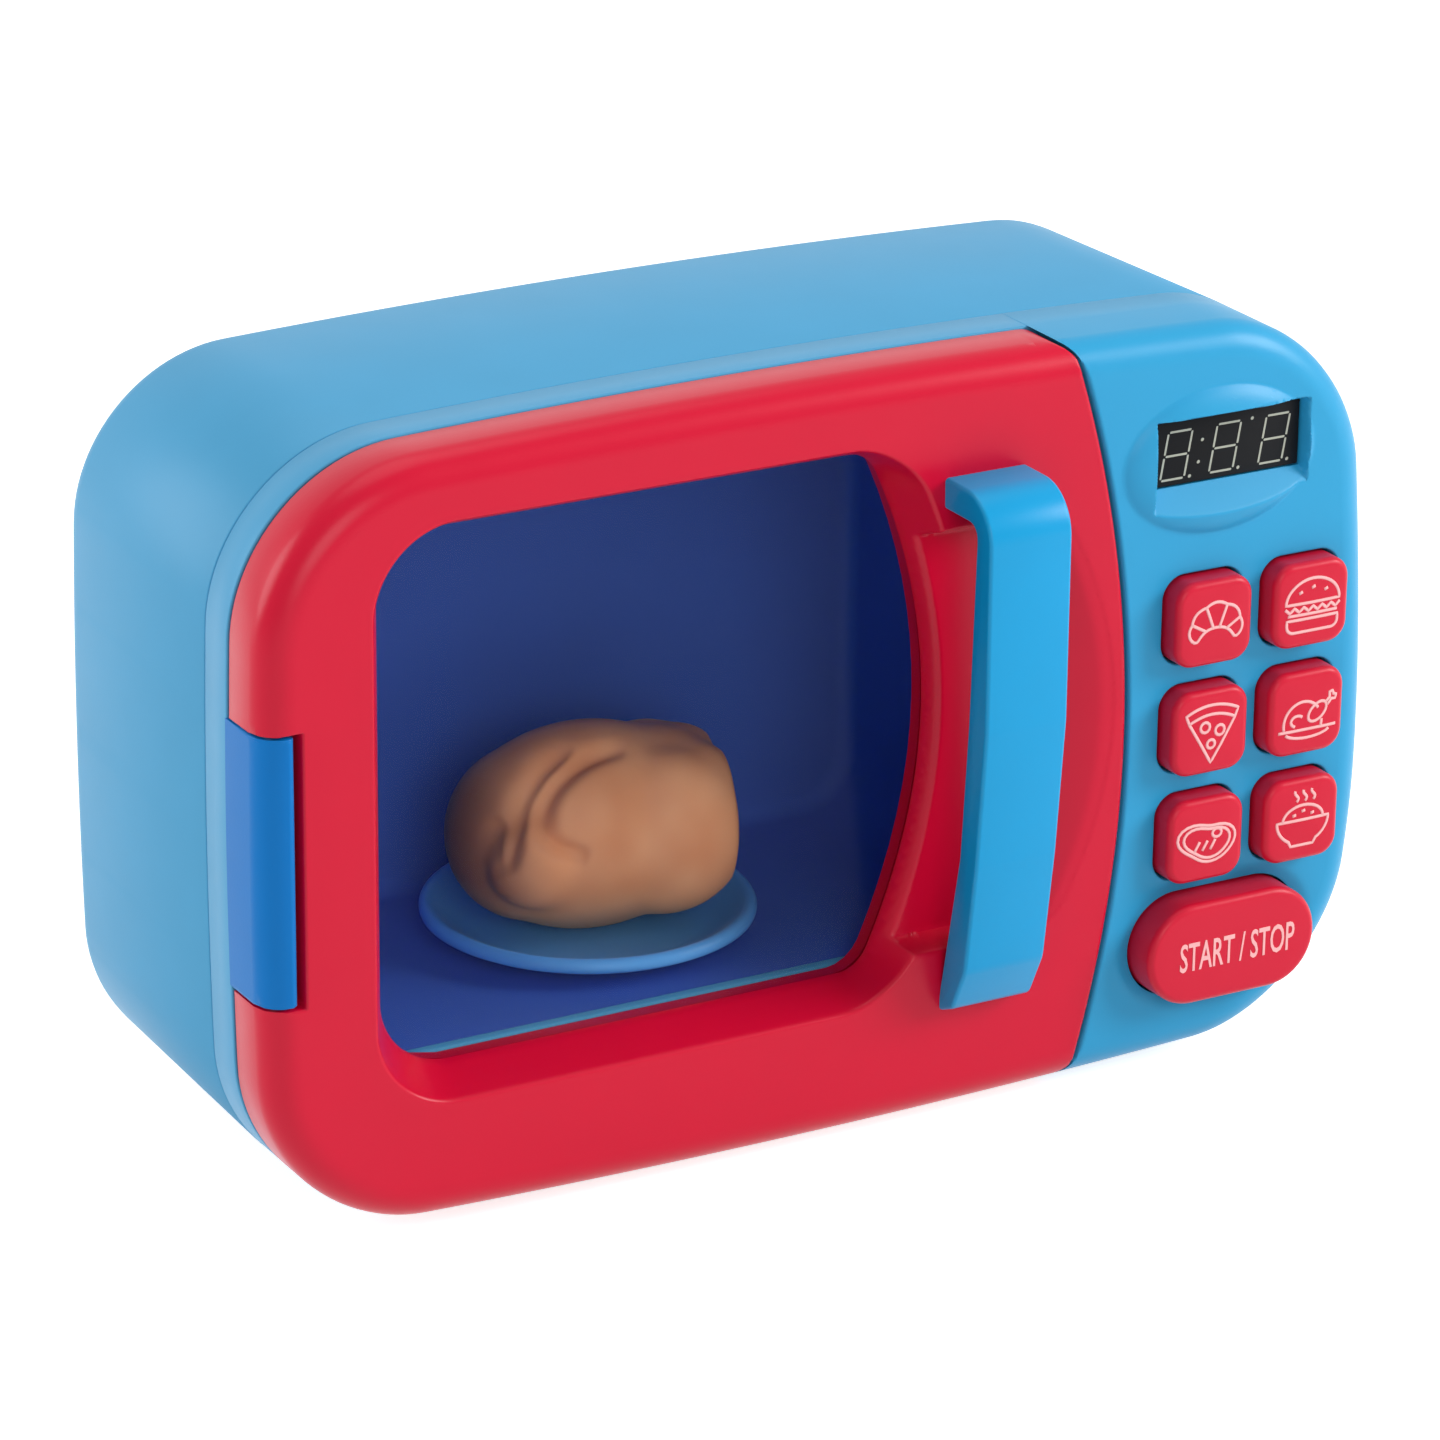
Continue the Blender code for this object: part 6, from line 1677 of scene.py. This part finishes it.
@dataclass
class RearShell:
    """Blue rear moulding with its screw wells, grille and battery cover."""

    dresser: Dresser
    near: float = 0.0313
    tray: Plot = Plot((0.109, 0.022), (0.023, 0.0273))
    tray_depth: float = 0.0968
    ledge: float = 0.002
    tab: float = 0.009
    cover_thickness: float = 0.0022
    gap: float = 0.0003
    well: float = 0.0027
    well_floor: float = 0.0478
    well_shares: tuple[Pair, ...] = (
        (-0.623, 0.906), (0.144, 0.913), (0.873, 0.786), (-0.735, -0.816), (0.079, -0.903), (0.577, -0.883),
    )
    speaker: Pair = (0.109, -0.05)
    speaker_radius: float = 0.018
    slot_width: float = 0.0022
    slot_pitch: float = 0.0052
    sink: float = 0.0031
    head: float = 0.0028
    head_sink: float = 0.0004
    shank: float = 0.001
    shank_end: float = 0.0068
    seat: float = 0.0014
    cross: tuple[float, float, float, float] = (0.00042, 0.0018, 0.00014, 0.0007)
    rounds: tuple[float, ...] = (0.0001, 0.0003, 0.0005, 0.0008)

    def cover(self) -> Plot:
        """Outline of the battery cover.

        Returns:
            The outline.
        """
        low = self.tray.centre[1] - self.tray.half[1] - self.ledge
        high = self.tray.centre[1] + self.tray.half[1] + self.tab
        half = (self.tray.half[0] + self.ledge, (high - low) / 2)
        return Plot((self.tray.centre[0], (low + high) / 2), half, self.ledge)

    def at_screw(self, radius: float) -> Plot:
        """A disc about the cover's screw."""
        spot = (self.tray.centre[0], self.tray.centre[1] + self.tray.half[1] + self.tab / 2)
        return Plot(spot, (radius, radius), radius)

    def wells(self) -> list[Plot]:
        """Outlines of the case's screw wells."""
        spots = [(a * CASE.width / 2, b * CASE.height / 2) for a, b in self.well_shares]
        return [Plot(spot, (self.well, self.well), self.well) for spot in spots]

    def slots(self) -> list[Plot]:
        """Outlines of the grille's slots.

        Returns:
            The outlines.
        """
        made = []
        for rise in (index * self.slot_pitch for index in range(-2, 3)):
            wide = math.sqrt((self.speaker_radius - self.slot_pitch) ** 2 - rise**2)
            tall = self.slot_width / 2
            made.append(Plot((self.speaker[0], self.speaker[1] + rise), (wide, tall), tall))
        return made

    def build(self) -> None:
        """Make the shell, the battery cover and its screw."""
        end, back, draft = CASE.depth, CASE.back_round, CASE.draft
        last = CASE.ring(draft)
        cover = self.cover().grown(self.gap)
        floor = end - self.cover_thickness - self.gap
        holes = [(cover, 0.002, 0.002, self.rounds, floor)]
        holes += [(well, 0.0007, 0.0008, self.rounds, self.well_floor) for well in self.wells()]
        slot_rounds = (0.00012, 0.0003, 0.0005)
        holes += [(slot, 0.0006, 0.0007, slot_rounds, end - CASE.wall) for slot in self.slots()]

        def holes_gap(points: Points) -> Points:
            """Distance outside the nearest hole."""
            return np.minimum.reduce([hole.gap(points) for hole, *_ in holes])

        def inside(points: Points) -> Points:
            """Signed distance inside the back."""
            return np.minimum(ring_inset(points, last), holes_gap(points))

        def depth(points: Points) -> Points:
            """Depth of the back, rounded at its edge and its holes."""
            rounded = edge_round(ring_inset(points, last), back, back)
            return end - np.maximum(rounded, edge_round(holes_gap(points), 0.0005, 0.0005))

        def flat_part(points: Points) -> Points:
            """Positive on the back's flat part."""
            return np.minimum(inside(points), ring_inset(points, last) - back)

        skin = bmesh.new()
        borders, guides = [last], CASE.round_lines(back, draft)
        for hole, spacing, coarse, aways, _ in holes:
            borders.append(hole.ring(spacing))
            guides += hole.halos(aways, coarse)
        relief(skin, inside, depth, borders, guides, [(0.008, flat_part)])
        for hole, _, _, _, bottom in holes:
            wall_along(skin, hole.gap, [(0, bottom)])
        mesh = bmesh.new()
        near = self.near
        steps = [(CASE.wall, near), (0.0003, near), (0.0, near + 0.0003), (draft, end - back)]
        loft(mesh, [at_depth(CASE.ring(inset), place) for inset, place in steps])
        absorb(mesh, skin)
        self.add_tray(mesh, cover.ring(0.002), floor)
        bmesh.ops.remove_doubles(mesh, verts=mesh.verts[:], dist=MERGE)
        self.dresser.add("rear_shell", mesh, SHEENED_CASE_BLUE, "case", ["rear_housing"], 50, facing=1)
        self.build_cover()
        self.build_screw()

    def add_tray(self, mesh: Mesh, outline: Points, floor: float) -> None:
        """Add the ledge under the battery cover and the tray in it.

        Args:
            mesh: The shell's mesh.
            outline: Outline of the cover's rebate.
            floor: Depth of the ledge.
        """
        part = bmesh.new()

        def inside(points: Points) -> Points:
            """Signed distance inside the ledge."""
            return np.minimum(ring_inset(points, outline), self.tray.gap(points))

        borders = [outline, self.tray.ring(0.004)]
        relief(part, inside, lambda p: np.full(len(p), floor), borders, [], [(0.01, inside)])
        bmesh.ops.contextual_create(part, geom=wall_along(part, self.tray.gap, [(0, self.tray_depth)]))
        absorb(mesh, part)

    def build_cover(self) -> None:
        """Make the battery cover with its finger grip lines."""
        mesh = bmesh.new()
        end = CASE.depth
        cover, sink = self.cover(), self.at_screw(self.sink)
        outline = cover.ring(0.0012)
        grips = []
        for i in range(4):
            spot = (self.tray.centre[0], self.tray.centre[1] - 0.016 - 0.0026 * i)
            grips.append(Plot(spot, (0.009 - 0.0012 * i, 0.0006), 0.0006))

        def inside(points: Points) -> Points:
            """Signed distance inside the cover's face."""
            return np.minimum(ring_inset(points, outline), sink.gap(points))

        def depth(points: Points) -> Points:
            """Depth of the face, with its rounded edges and its grips."""
            outer = edge_round(ring_inset(points, outline), 0.0005, 0.0005)
            rounded = np.maximum(outer, edge_round(sink.gap(points), 0.0003, 0.0003))
            dents = [np.clip(0.0002 - grip.gap(points), 0, 0.0005) for grip in grips]
            return end - rounded - np.maximum.reduce(dents)

        guides = cover.halos([-away for away in self.rounds], 0.0012) + sink.halos(self.rounds, 0.0006)
        for grip in grips:
            guides += grip.halos((0.0002, -0.0003), 0.0005)
        relief(mesh, inside, depth, [outline, sink.ring(0.0006)], guides, [(0.004, inside)])
        ends = wall_along(mesh, inset_of(outline), [(0, end - self.cover_thickness)])
        bmesh.ops.contextual_create(mesh, geom=ends)
        wall_along(mesh, sink.gap, [(0, end - self.seat), (-0.0018, end - self.seat)], 0.0003)
        self.dresser.add("battery_lid", mesh, SHEENED_CASE_BLUE, "battery_cover", ["battery_cover"], 40, turned=True)

    def build_screw(self) -> None:
        """Make the cover's screw with the cross recess in its head."""
        mesh = bmesh.new()
        head, end = self.at_screw(self.head), CASE.depth
        arm_half, arm_reach, arm_slope, arm_depth = self.cross

        def inside(points: Points) -> Points:
            """Signed distance inside the head."""
            return -head.gap(points)

        def depth(points: Points) -> Points:
            """Depth of the domed head with its cross."""
            away = np.abs(points - np.array(head.centre))
            arm = np.minimum(arm_half - away.min(1), arm_reach - away.max(1))
            dome = end - self.head_sink - edge_round(inside(points), 0.0008, 0.0005)
            return dome - arm_depth * np.clip(arm / arm_slope, 0, 1)

        relief(mesh, inside, depth, [head.ring(0.0005)], [], [(arm_slope, inside)])
        under, step = end - self.seat, self.head - self.shank
        ends = wall_along(mesh, inside, [(0, under), (step, under), (step, end - self.shank_end)], 0.0003)
        bmesh.ops.contextual_create(mesh, geom=ends)
        nodes = ["battery_cover_screw"]
        self.dresser.add("cover_screw_head", mesh, SCREW_STEEL, "battery_cover", nodes, 35, turned=True)


@dataclass
class Oven:
    """Dark blue liner and the plate that turns in it."""

    dresser: Dresser
    near: float = 0.0221
    back: float = 0.1115
    wall_thickness: float = 0.0016
    back_corner: float = 0.005
    least_corner: float = 0.004
    table: Pair = (-0.031, 0.0682)
    floor: float = -0.0605
    plate_radius: float = 0.0425
    plate_height: float = 0.0075
    plate_lift: float = 0.0012
    well_radius: float = 0.033
    lip: float = 0.0022
    thickness: float = 0.002

    def build(self, cavity: Plot) -> None:
        """Make the liner and the plate.

        Args:
            cavity: The oven's outline.
        """
        mesh = bmesh.new()
        outer, bend = -self.wall_thickness, self.back_corner
        steps = [(outer, self.back - outer), (outer, self.near), (0.0, self.near)]
        steps += [(inset, self.back - fall) for inset, fall in round_steps(bend, bend, 6)[::-1]]
        sections = []
        for inset, depth in steps:
            half = (cavity.half[0] - inset, cavity.half[1] - inset)
            corner = max(cavity.corner - inset, self.least_corner)
            sections.append(at_depth(Plot(cavity.centre, half, corner).arcs(14), depth))
        for ends in loft(mesh, sections):
            mesh.faces.new(ends)
        self.dresser.add("oven_liner", mesh, OVEN_BLUE, "case", ["cavity_liner"], 50, turned=True)
        self.build_plate()

    def build_plate(self) -> None:
        """Make the plate with its thick rounded rim by a spin of its section."""
        mesh = bmesh.new()
        under = self.floor + self.plate_lift
        rim, top = under + self.plate_height, under + self.thickness
        edge, well, lip = self.plate_radius, self.well_radius, self.lip
        profile = [(0, top), (well - 0.004, top), (well - 0.001, top + 0.0004)]
        profile += [(edge - 0.0052, rim - lip), (edge - 0.0034, rim - 0.0006)]
        turn = [math.radians(100 - 130 * step / 8) for step in range(1, 9)]
        profile += [polar(edge - lip, rim - lip, lip, a) for a in turn]
        profile += [(edge - 0.0024, rim - 2 * lip), (well + 0.001, under + 0.0006), (well - 0.001, under)]
        profile.append((0, under))
        middle, axis = Vector((*self.table, 0)), Vector((0, 0, 1))
        side = axis.orthogonal().normalized()
        verts = [mesh.verts.new(middle + side * radius + axis * height) for radius, height in profile]
        edges = [mesh.edges.new(pair) for pair in zip(verts, verts[1:])]
        bmesh.ops.spin(
            mesh, geom=verts + edges, cent=middle, axis=axis, angle=2 * math.pi, steps=72, use_merge=True
        )
        bmesh.ops.remove_doubles(mesh, verts=mesh.verts[:], dist=MERGE)
        nodes = ["turntable_plate"]
        self.dresser.add("turning_plate", mesh, PLATE_BLUE, "turntable", nodes, 50, turned=True)


def smooth_path(path: Sequence[Pair], steps: int) -> Points:
    """Smooth curve through a few points.

    Args:
        path: The points.
        steps: How many pieces each stretch gets.

    Returns:
        The curve's points.
    """
    held = np.array([path[0], *path, path[-1]], dtype=float)
    t = np.arange(steps)[:, None] / steps
    made = []
    for a, b, c, d in zip(held, held[1:], held[2:], held[3:]):
        bend = (2 * a - 5 * b + 4 * c - d) * t**2 + (3 * b - a - 3 * c + d) * t**3
        made.append(b + 0.5 * ((c - a) * t + bend))
    return np.concatenate([*made, held[-1:]])


@dataclass(frozen=True)
class Crease:
    """A groove along a path that is given in shares of the bird's outline in the picture."""

    path: tuple[Pair, ...]
    deep: float
    wide: float

    def press(self, spots: Points) -> Points:
        """How deep the groove is at each place.

        Args:
            spots: The places, in shares of the outline.

        Returns:
            The depths.
        """
        line = smooth_path(self.path, 8)
        run = line[1:] - line[:-1]
        away = spots[:, None, :] - line[None, :-1]
        share = np.clip((away * run).sum(2) / (run**2).sum(1), 0, 1)
        miss = np.sqrt(((away - share[..., None] * run) ** 2).sum(2))
        near = miss.argmin(1)
        row = np.arange(len(near))
        along = (near + share[row, near]) / len(run)
        ends = np.sin(np.clip(np.minimum(along, 1 - along) * 6, 0, 1) * math.pi / 2)
        hand = run[near, 0] * away[row, near, 1] - run[near, 1] * away[row, near, 0]
        reach = self.wide * np.where(hand > 0, 0.75, 1.5)
        return self.deep * ends * np.exp(-((miss.min(1) / reach) ** 2))


@dataclass
class RoastChicken:
    """Play chicken: lumps joined into one soft form, with the creases of a folded wing."""

    dresser: Dresser
    middle: Pair = (-0.031, 0.065)
    level: float = -0.057
    length: float = 0.078
    width: float = 0.05
    height: float = 0.055
    turn: float = -12.0
    blunt: float = 0.4
    blunt_share: float = 0.6
    voxel: float = 0.001
    softening: int = 24
    creases: tuple[Crease, ...] = (
        Crease(
            (
                (0.62, 0.85), (0.52, 0.82), (0.43, 0.74), (0.37, 0.64), (0.345, 0.54), (0.37, 0.44),
                (0.43, 0.38), (0.5, 0.36),
            ),
            0.003,
            0.034,
        ),
        Crease(
            ((0.44, 0.87), (0.35, 0.76), (0.29, 0.63), (0.26, 0.49), (0.24, 0.35), (0.22, 0.26)),
            0.0026,
            0.034,
        ),
        Crease(((0.21, 0.53), (0.185, 0.43), (0.19, 0.33), (0.215, 0.26)), 0.0018, 0.03),
    )

    def lumps(self) -> list[tuple[Triple, Triple, float]]:
        """Centre shares, size shares and turn of each lump.

        Returns:
            The lumps.
        """
        made = [
            ((-0.03, 0, 0.47), (0.88, 0.92, 0.97), 0.0),
            ((-0.22, 0, 0.46), (0.54, 0.8, 0.82), 0.0),
            ((0.2, 0, 0.47), (0.58, 0.84, 0.86), 0.0),
        ]
        for side in (1, -1):
            made += [
                ((0.19, side * 0.2, 0.47), (0.56, 0.52, 0.8), side * 8.0),
                ((0.3, side * 0.13, 0.54), (0.36, 0.52, 0.64), 0.0),
                ((-0.2, side * 0.28, 0.44), (0.44, 0.36, 0.5), side * -12.0),
            ]
        return made

    def build(self) -> None:
        """Make the chicken."""
        mesh = self.joined()
        facing = Matrix.Rotation(-math.radians(self.turn), 3, "Z")
        foot = Vector((*self.middle, self.level))
        for vert in mesh.verts:
            local = facing @ (vert.co - foot)
            beyond = local.x / self.length - self.blunt
            if beyond > 0:
                local.x -= self.blunt_share * beyond * self.length
                vert.co = foot + facing.transposed() @ local
        self.crease(mesh)
        cut = bmesh.ops.bisect_plane(
            mesh, geom=mesh.verts[:] + mesh.edges[:] + mesh.faces[:], plane_co=(0, 0, self.level),
            plane_no=(0, 0, -1), clear_outer=True,
        )["geom_cut"]
        bmesh.ops.contextual_create(mesh, geom=[g for g in cut if isinstance(g, bmesh.types.BMEdge)])
        body = "play_chicken"
        self.dresser.add("roast_chicken", mesh, FOOD_BROWN, body, [body], 70, turned=True)

    def joined(self) -> Mesh:
        """The lumps, joined and softened.

        Returns:
            The mesh.
        """
        mesh = bmesh.new()
        facing = Matrix.Rotation(math.radians(self.turn), 3, "Z")
        scale = Vector((self.length, self.width, self.height))
        for centre, size, turn in self.lumps():
            ball = bmesh.ops.create_icosphere(mesh, subdivisions=4, radius=0.5)["verts"]
            bmesh.ops.scale(mesh, vec=Vector(size) * scale, verts=ball)
            turned = Matrix.Rotation(math.radians(self.turn + turn), 3, "Z")
            bmesh.ops.rotate(mesh, cent=(0, 0, 0), matrix=turned, verts=ball)
            spot = facing @ (Vector(centre) * scale)
            bmesh.ops.translate(mesh, vec=spot + Vector((*self.middle, self.level)), verts=ball)
        data = bpy.data.meshes.new("roast_lumps")
        mesh.to_mesh(data)
        mesh.clear()
        holder = bpy.data.objects.new("roast_lumps", data)
        bpy.context.scene.collection.objects.link(holder)
        remesh = holder.modifiers.new("join", "REMESH")
        remesh.mode = "VOXEL"
        remesh.voxel_size = self.voxel
        soften = holder.modifiers.new("soften", "SMOOTH")
        soften.factor = 0.5
        soften.iterations = self.softening
        graph = bpy.context.evaluated_depsgraph_get()
        soft = bpy.data.meshes.new_from_object(holder.evaluated_get(graph))
        bpy.data.objects.remove(holder)
        mesh.from_mesh(soft)
        bpy.data.meshes.remove(soft)
        return mesh

    def crease(self, mesh: Mesh) -> None:
        """Press the wing's curved creases into the side that faces the camera.

        Args:
            mesh: The chicken's mesh.
        """
        mesh.normal_update()
        back, right, up = Studio.axes()
        spots = np.array([(v.co.dot(right), v.co.dot(up)) for v in mesh.verts])
        low, high = spots.min(0), spots.max(0)
        shown = np.array([v.normal.dot(back) > 0.05 for v in mesh.verts])
        verts = [v for v, keep in zip(mesh.verts, shown) if keep]
        shares = (spots[shown] - low) / (high - low)
        press = np.maximum.reduce([crease.press(shares) for crease in self.creases])
        for vert, depth in zip(verts, press):
            vert.co -= vert.normal * float(depth)
        for _ in range(3):
            bmesh.ops.smooth_vert(
                mesh, verts=verts, factor=0.35, use_axis_x=True, use_axis_y=True, use_axis_z=True
            )


@dataclass
class Studio:
    """White floor, soft lamps and the camera at the photograph's angle."""

    azimuth: float = -29.57
    elevation: float = 21.08
    distance: float = 1.47
    target: Triple = (-0.03578, -0.0475, 0.11978)
    roll: float = 0.6
    lens: float = 154.8
    frame_centre: Pair = (714.9, 718.3)
    frame_size: int = 1440
    world_strength: float = 0.3
    floor_half: float = 4.0
    floor_glow: float = 0.75
    aim: Triple = (0.0, 0.0, 0.1)
    lamps: tuple[tuple[str, Triple, float, float], ...] = (
        ("key_softbox", (1.48, -0.92, 0.95), 0.9, 26.0),
        ("fill_softbox", (-0.5, -1.7, 0.75), 1.0, 8.0),
        ("top_softbox", (0.0, 0.1, 1.5), 1.2, 5.5),
        ("rim_softbox", (-1.5, 0.8, 0.7), 1.2, 15.0),
    )

    @classmethod
    def axes(cls) -> tuple[Vector, Vector, Vector]:
        """Directions towards the camera, to its right and up its picture.

        Returns:
            The three directions.
        """
        azimuth, elevation = math.radians(cls.azimuth), math.radians(cls.elevation)
        flat = math.cos(elevation)
        back = Vector((math.sin(azimuth) * flat, -math.cos(azimuth) * flat, math.sin(elevation)))
        right = Vector((math.cos(azimuth), math.sin(azimuth), 0))
        return back, right, back.cross(right)

    def build(self) -> None:
        """Set the floor, lamps, world and camera."""
        bpy.context.scene.view_settings.view_transform = "Standard"
        self.build_floor()
        self.build_world()
        for name, place, size, energy in self.lamps:
            data = bpy.data.lights.new(name, "AREA")
            data.shape = "DISK"
            data.size = size
            data.energy = energy
            lamp = bpy.data.objects.new(name, data)
            bpy.context.scene.collection.objects.link(lamp)
            lamp.location = place
            lamp.rotation_euler = (Vector(self.aim) - Vector(place)).to_track_quat("-Z", "Y").to_euler()
        self.build_camera()

    def build_floor(self) -> None:
        """Make the floor that shows white and keeps a soft shadow."""
        mesh = bmesh.new()
        bmesh.ops.create_grid(mesh, x_segments=1, y_segments=1, size=self.floor_half)
        data = bpy.data.meshes.new("studio_floor")
        mesh.to_mesh(data)
        mesh.free()
        floor = bpy.data.objects.new("studio_floor", data)
        bpy.context.scene.collection.objects.link(floor)
        made = bpy.data.materials.new("floor_white")
        made.use_nodes = True
        tree = made.node_tree
        shader = find_node(tree, "BSDF_PRINCIPLED")
        feed(tree, shader, {"Base Color": (0.8, 0.8, 0.8, 1), "Roughness": 0.9})
        glow = add_node(tree, "Emission", {"Strength": self.floor_glow})["Emission"]
        none = add_node(tree, "Emission", {"Strength": 0.0})["Emission"]
        chosen = add_node(tree, "MixShader", {"Fac": self.seen_rays(tree), 1: none, 2: glow})["Shader"]
        both = add_node(tree, "AddShader", {0: shader.outputs["BSDF"], 1: chosen})["Shader"]
        feed(tree, find_node(tree, "OUTPUT_MATERIAL"), {"Surface": both})
        data.materials.append(made)

    @staticmethod
    def seen_rays(tree: Tree) -> bpy.types.NodeSocket:
        """Socket that is 1 for camera, glossy and transmission rays.

        Args:
            tree: The nodes.

        Returns:
            The socket.
        """
        rays = add_node(tree, "LightPath", {})
        socket = rays["Is Camera Ray"]
        for name in ("Is Glossy Ray", "Is Transmission Ray"):
            socket = add_node(tree, "Math", {0: socket, 1: rays[name]}, operation="MAXIMUM")["Value"]
        return socket

    def build_world(self) -> None:
        """Set a white world that lights softly."""
        world = bpy.data.worlds.new("studio_white")
        bpy.context.scene.world = world
        world.use_nodes = True
        tree = world.node_tree
        tree.nodes.clear()
        white = (1, 1, 1, 1)
        light = add_node(tree, "Background", {"Strength": self.world_strength, "Color": white})["Background"]
        shown = add_node(tree, "Background", {"Strength": 1.0, "Color": white})["Background"]
        chosen = add_node(tree, "MixShader", {"Fac": self.seen_rays(tree), 1: light, 2: shown})["Shader"]
        add_node(tree, "OutputWorld", {"Surface": chosen})

    def build_camera(self) -> None:
        """Place the camera."""
        data = bpy.data.cameras.new("photo_camera")
        camera = bpy.data.objects.new("photo_camera", data)
        bpy.context.scene.collection.objects.link(camera)
        back = self.axes()[0]
        turn = back.to_track_quat("Z", "Y").to_matrix() @ Matrix.Rotation(math.radians(self.roll), 3, "Z")
        camera.matrix_world = Matrix.Translation(Vector(self.target) + back * self.distance) @ turn.to_4x4()
        data.lens = self.lens
        data.sensor_width = 36
        data.sensor_fit = "HORIZONTAL"
        data.shift_x = (self.frame_size / 2 - self.frame_centre[0]) / self.frame_size
        data.shift_y = (self.frame_centre[1] - self.frame_size / 2) / self.frame_size
        data.clip_start = 0.05
        data.clip_end = 20
        bpy.context.scene.camera = camera


def main() -> None:
    """Load the frame, dress each part and set the studio."""
    logging.basicConfig(level=logging.INFO, format="%(message)s")
    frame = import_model()
    dresser = Dresser(frame)
    panel = PanelFace(dresser)
    DoorShell(dresser).build()
    StrapHandle(dresser).build()
    panel.build()
    Keys(dresser, panel).build()
    ClockDisplay(dresser, panel).build()
    RearShell(dresser).build()
    Oven(dresser).build(panel.cavity)
    RoastChicken(dresser).build()
    dresser.dress_rest()
    Studio().build()


if __name__ == "__main__":
    main()
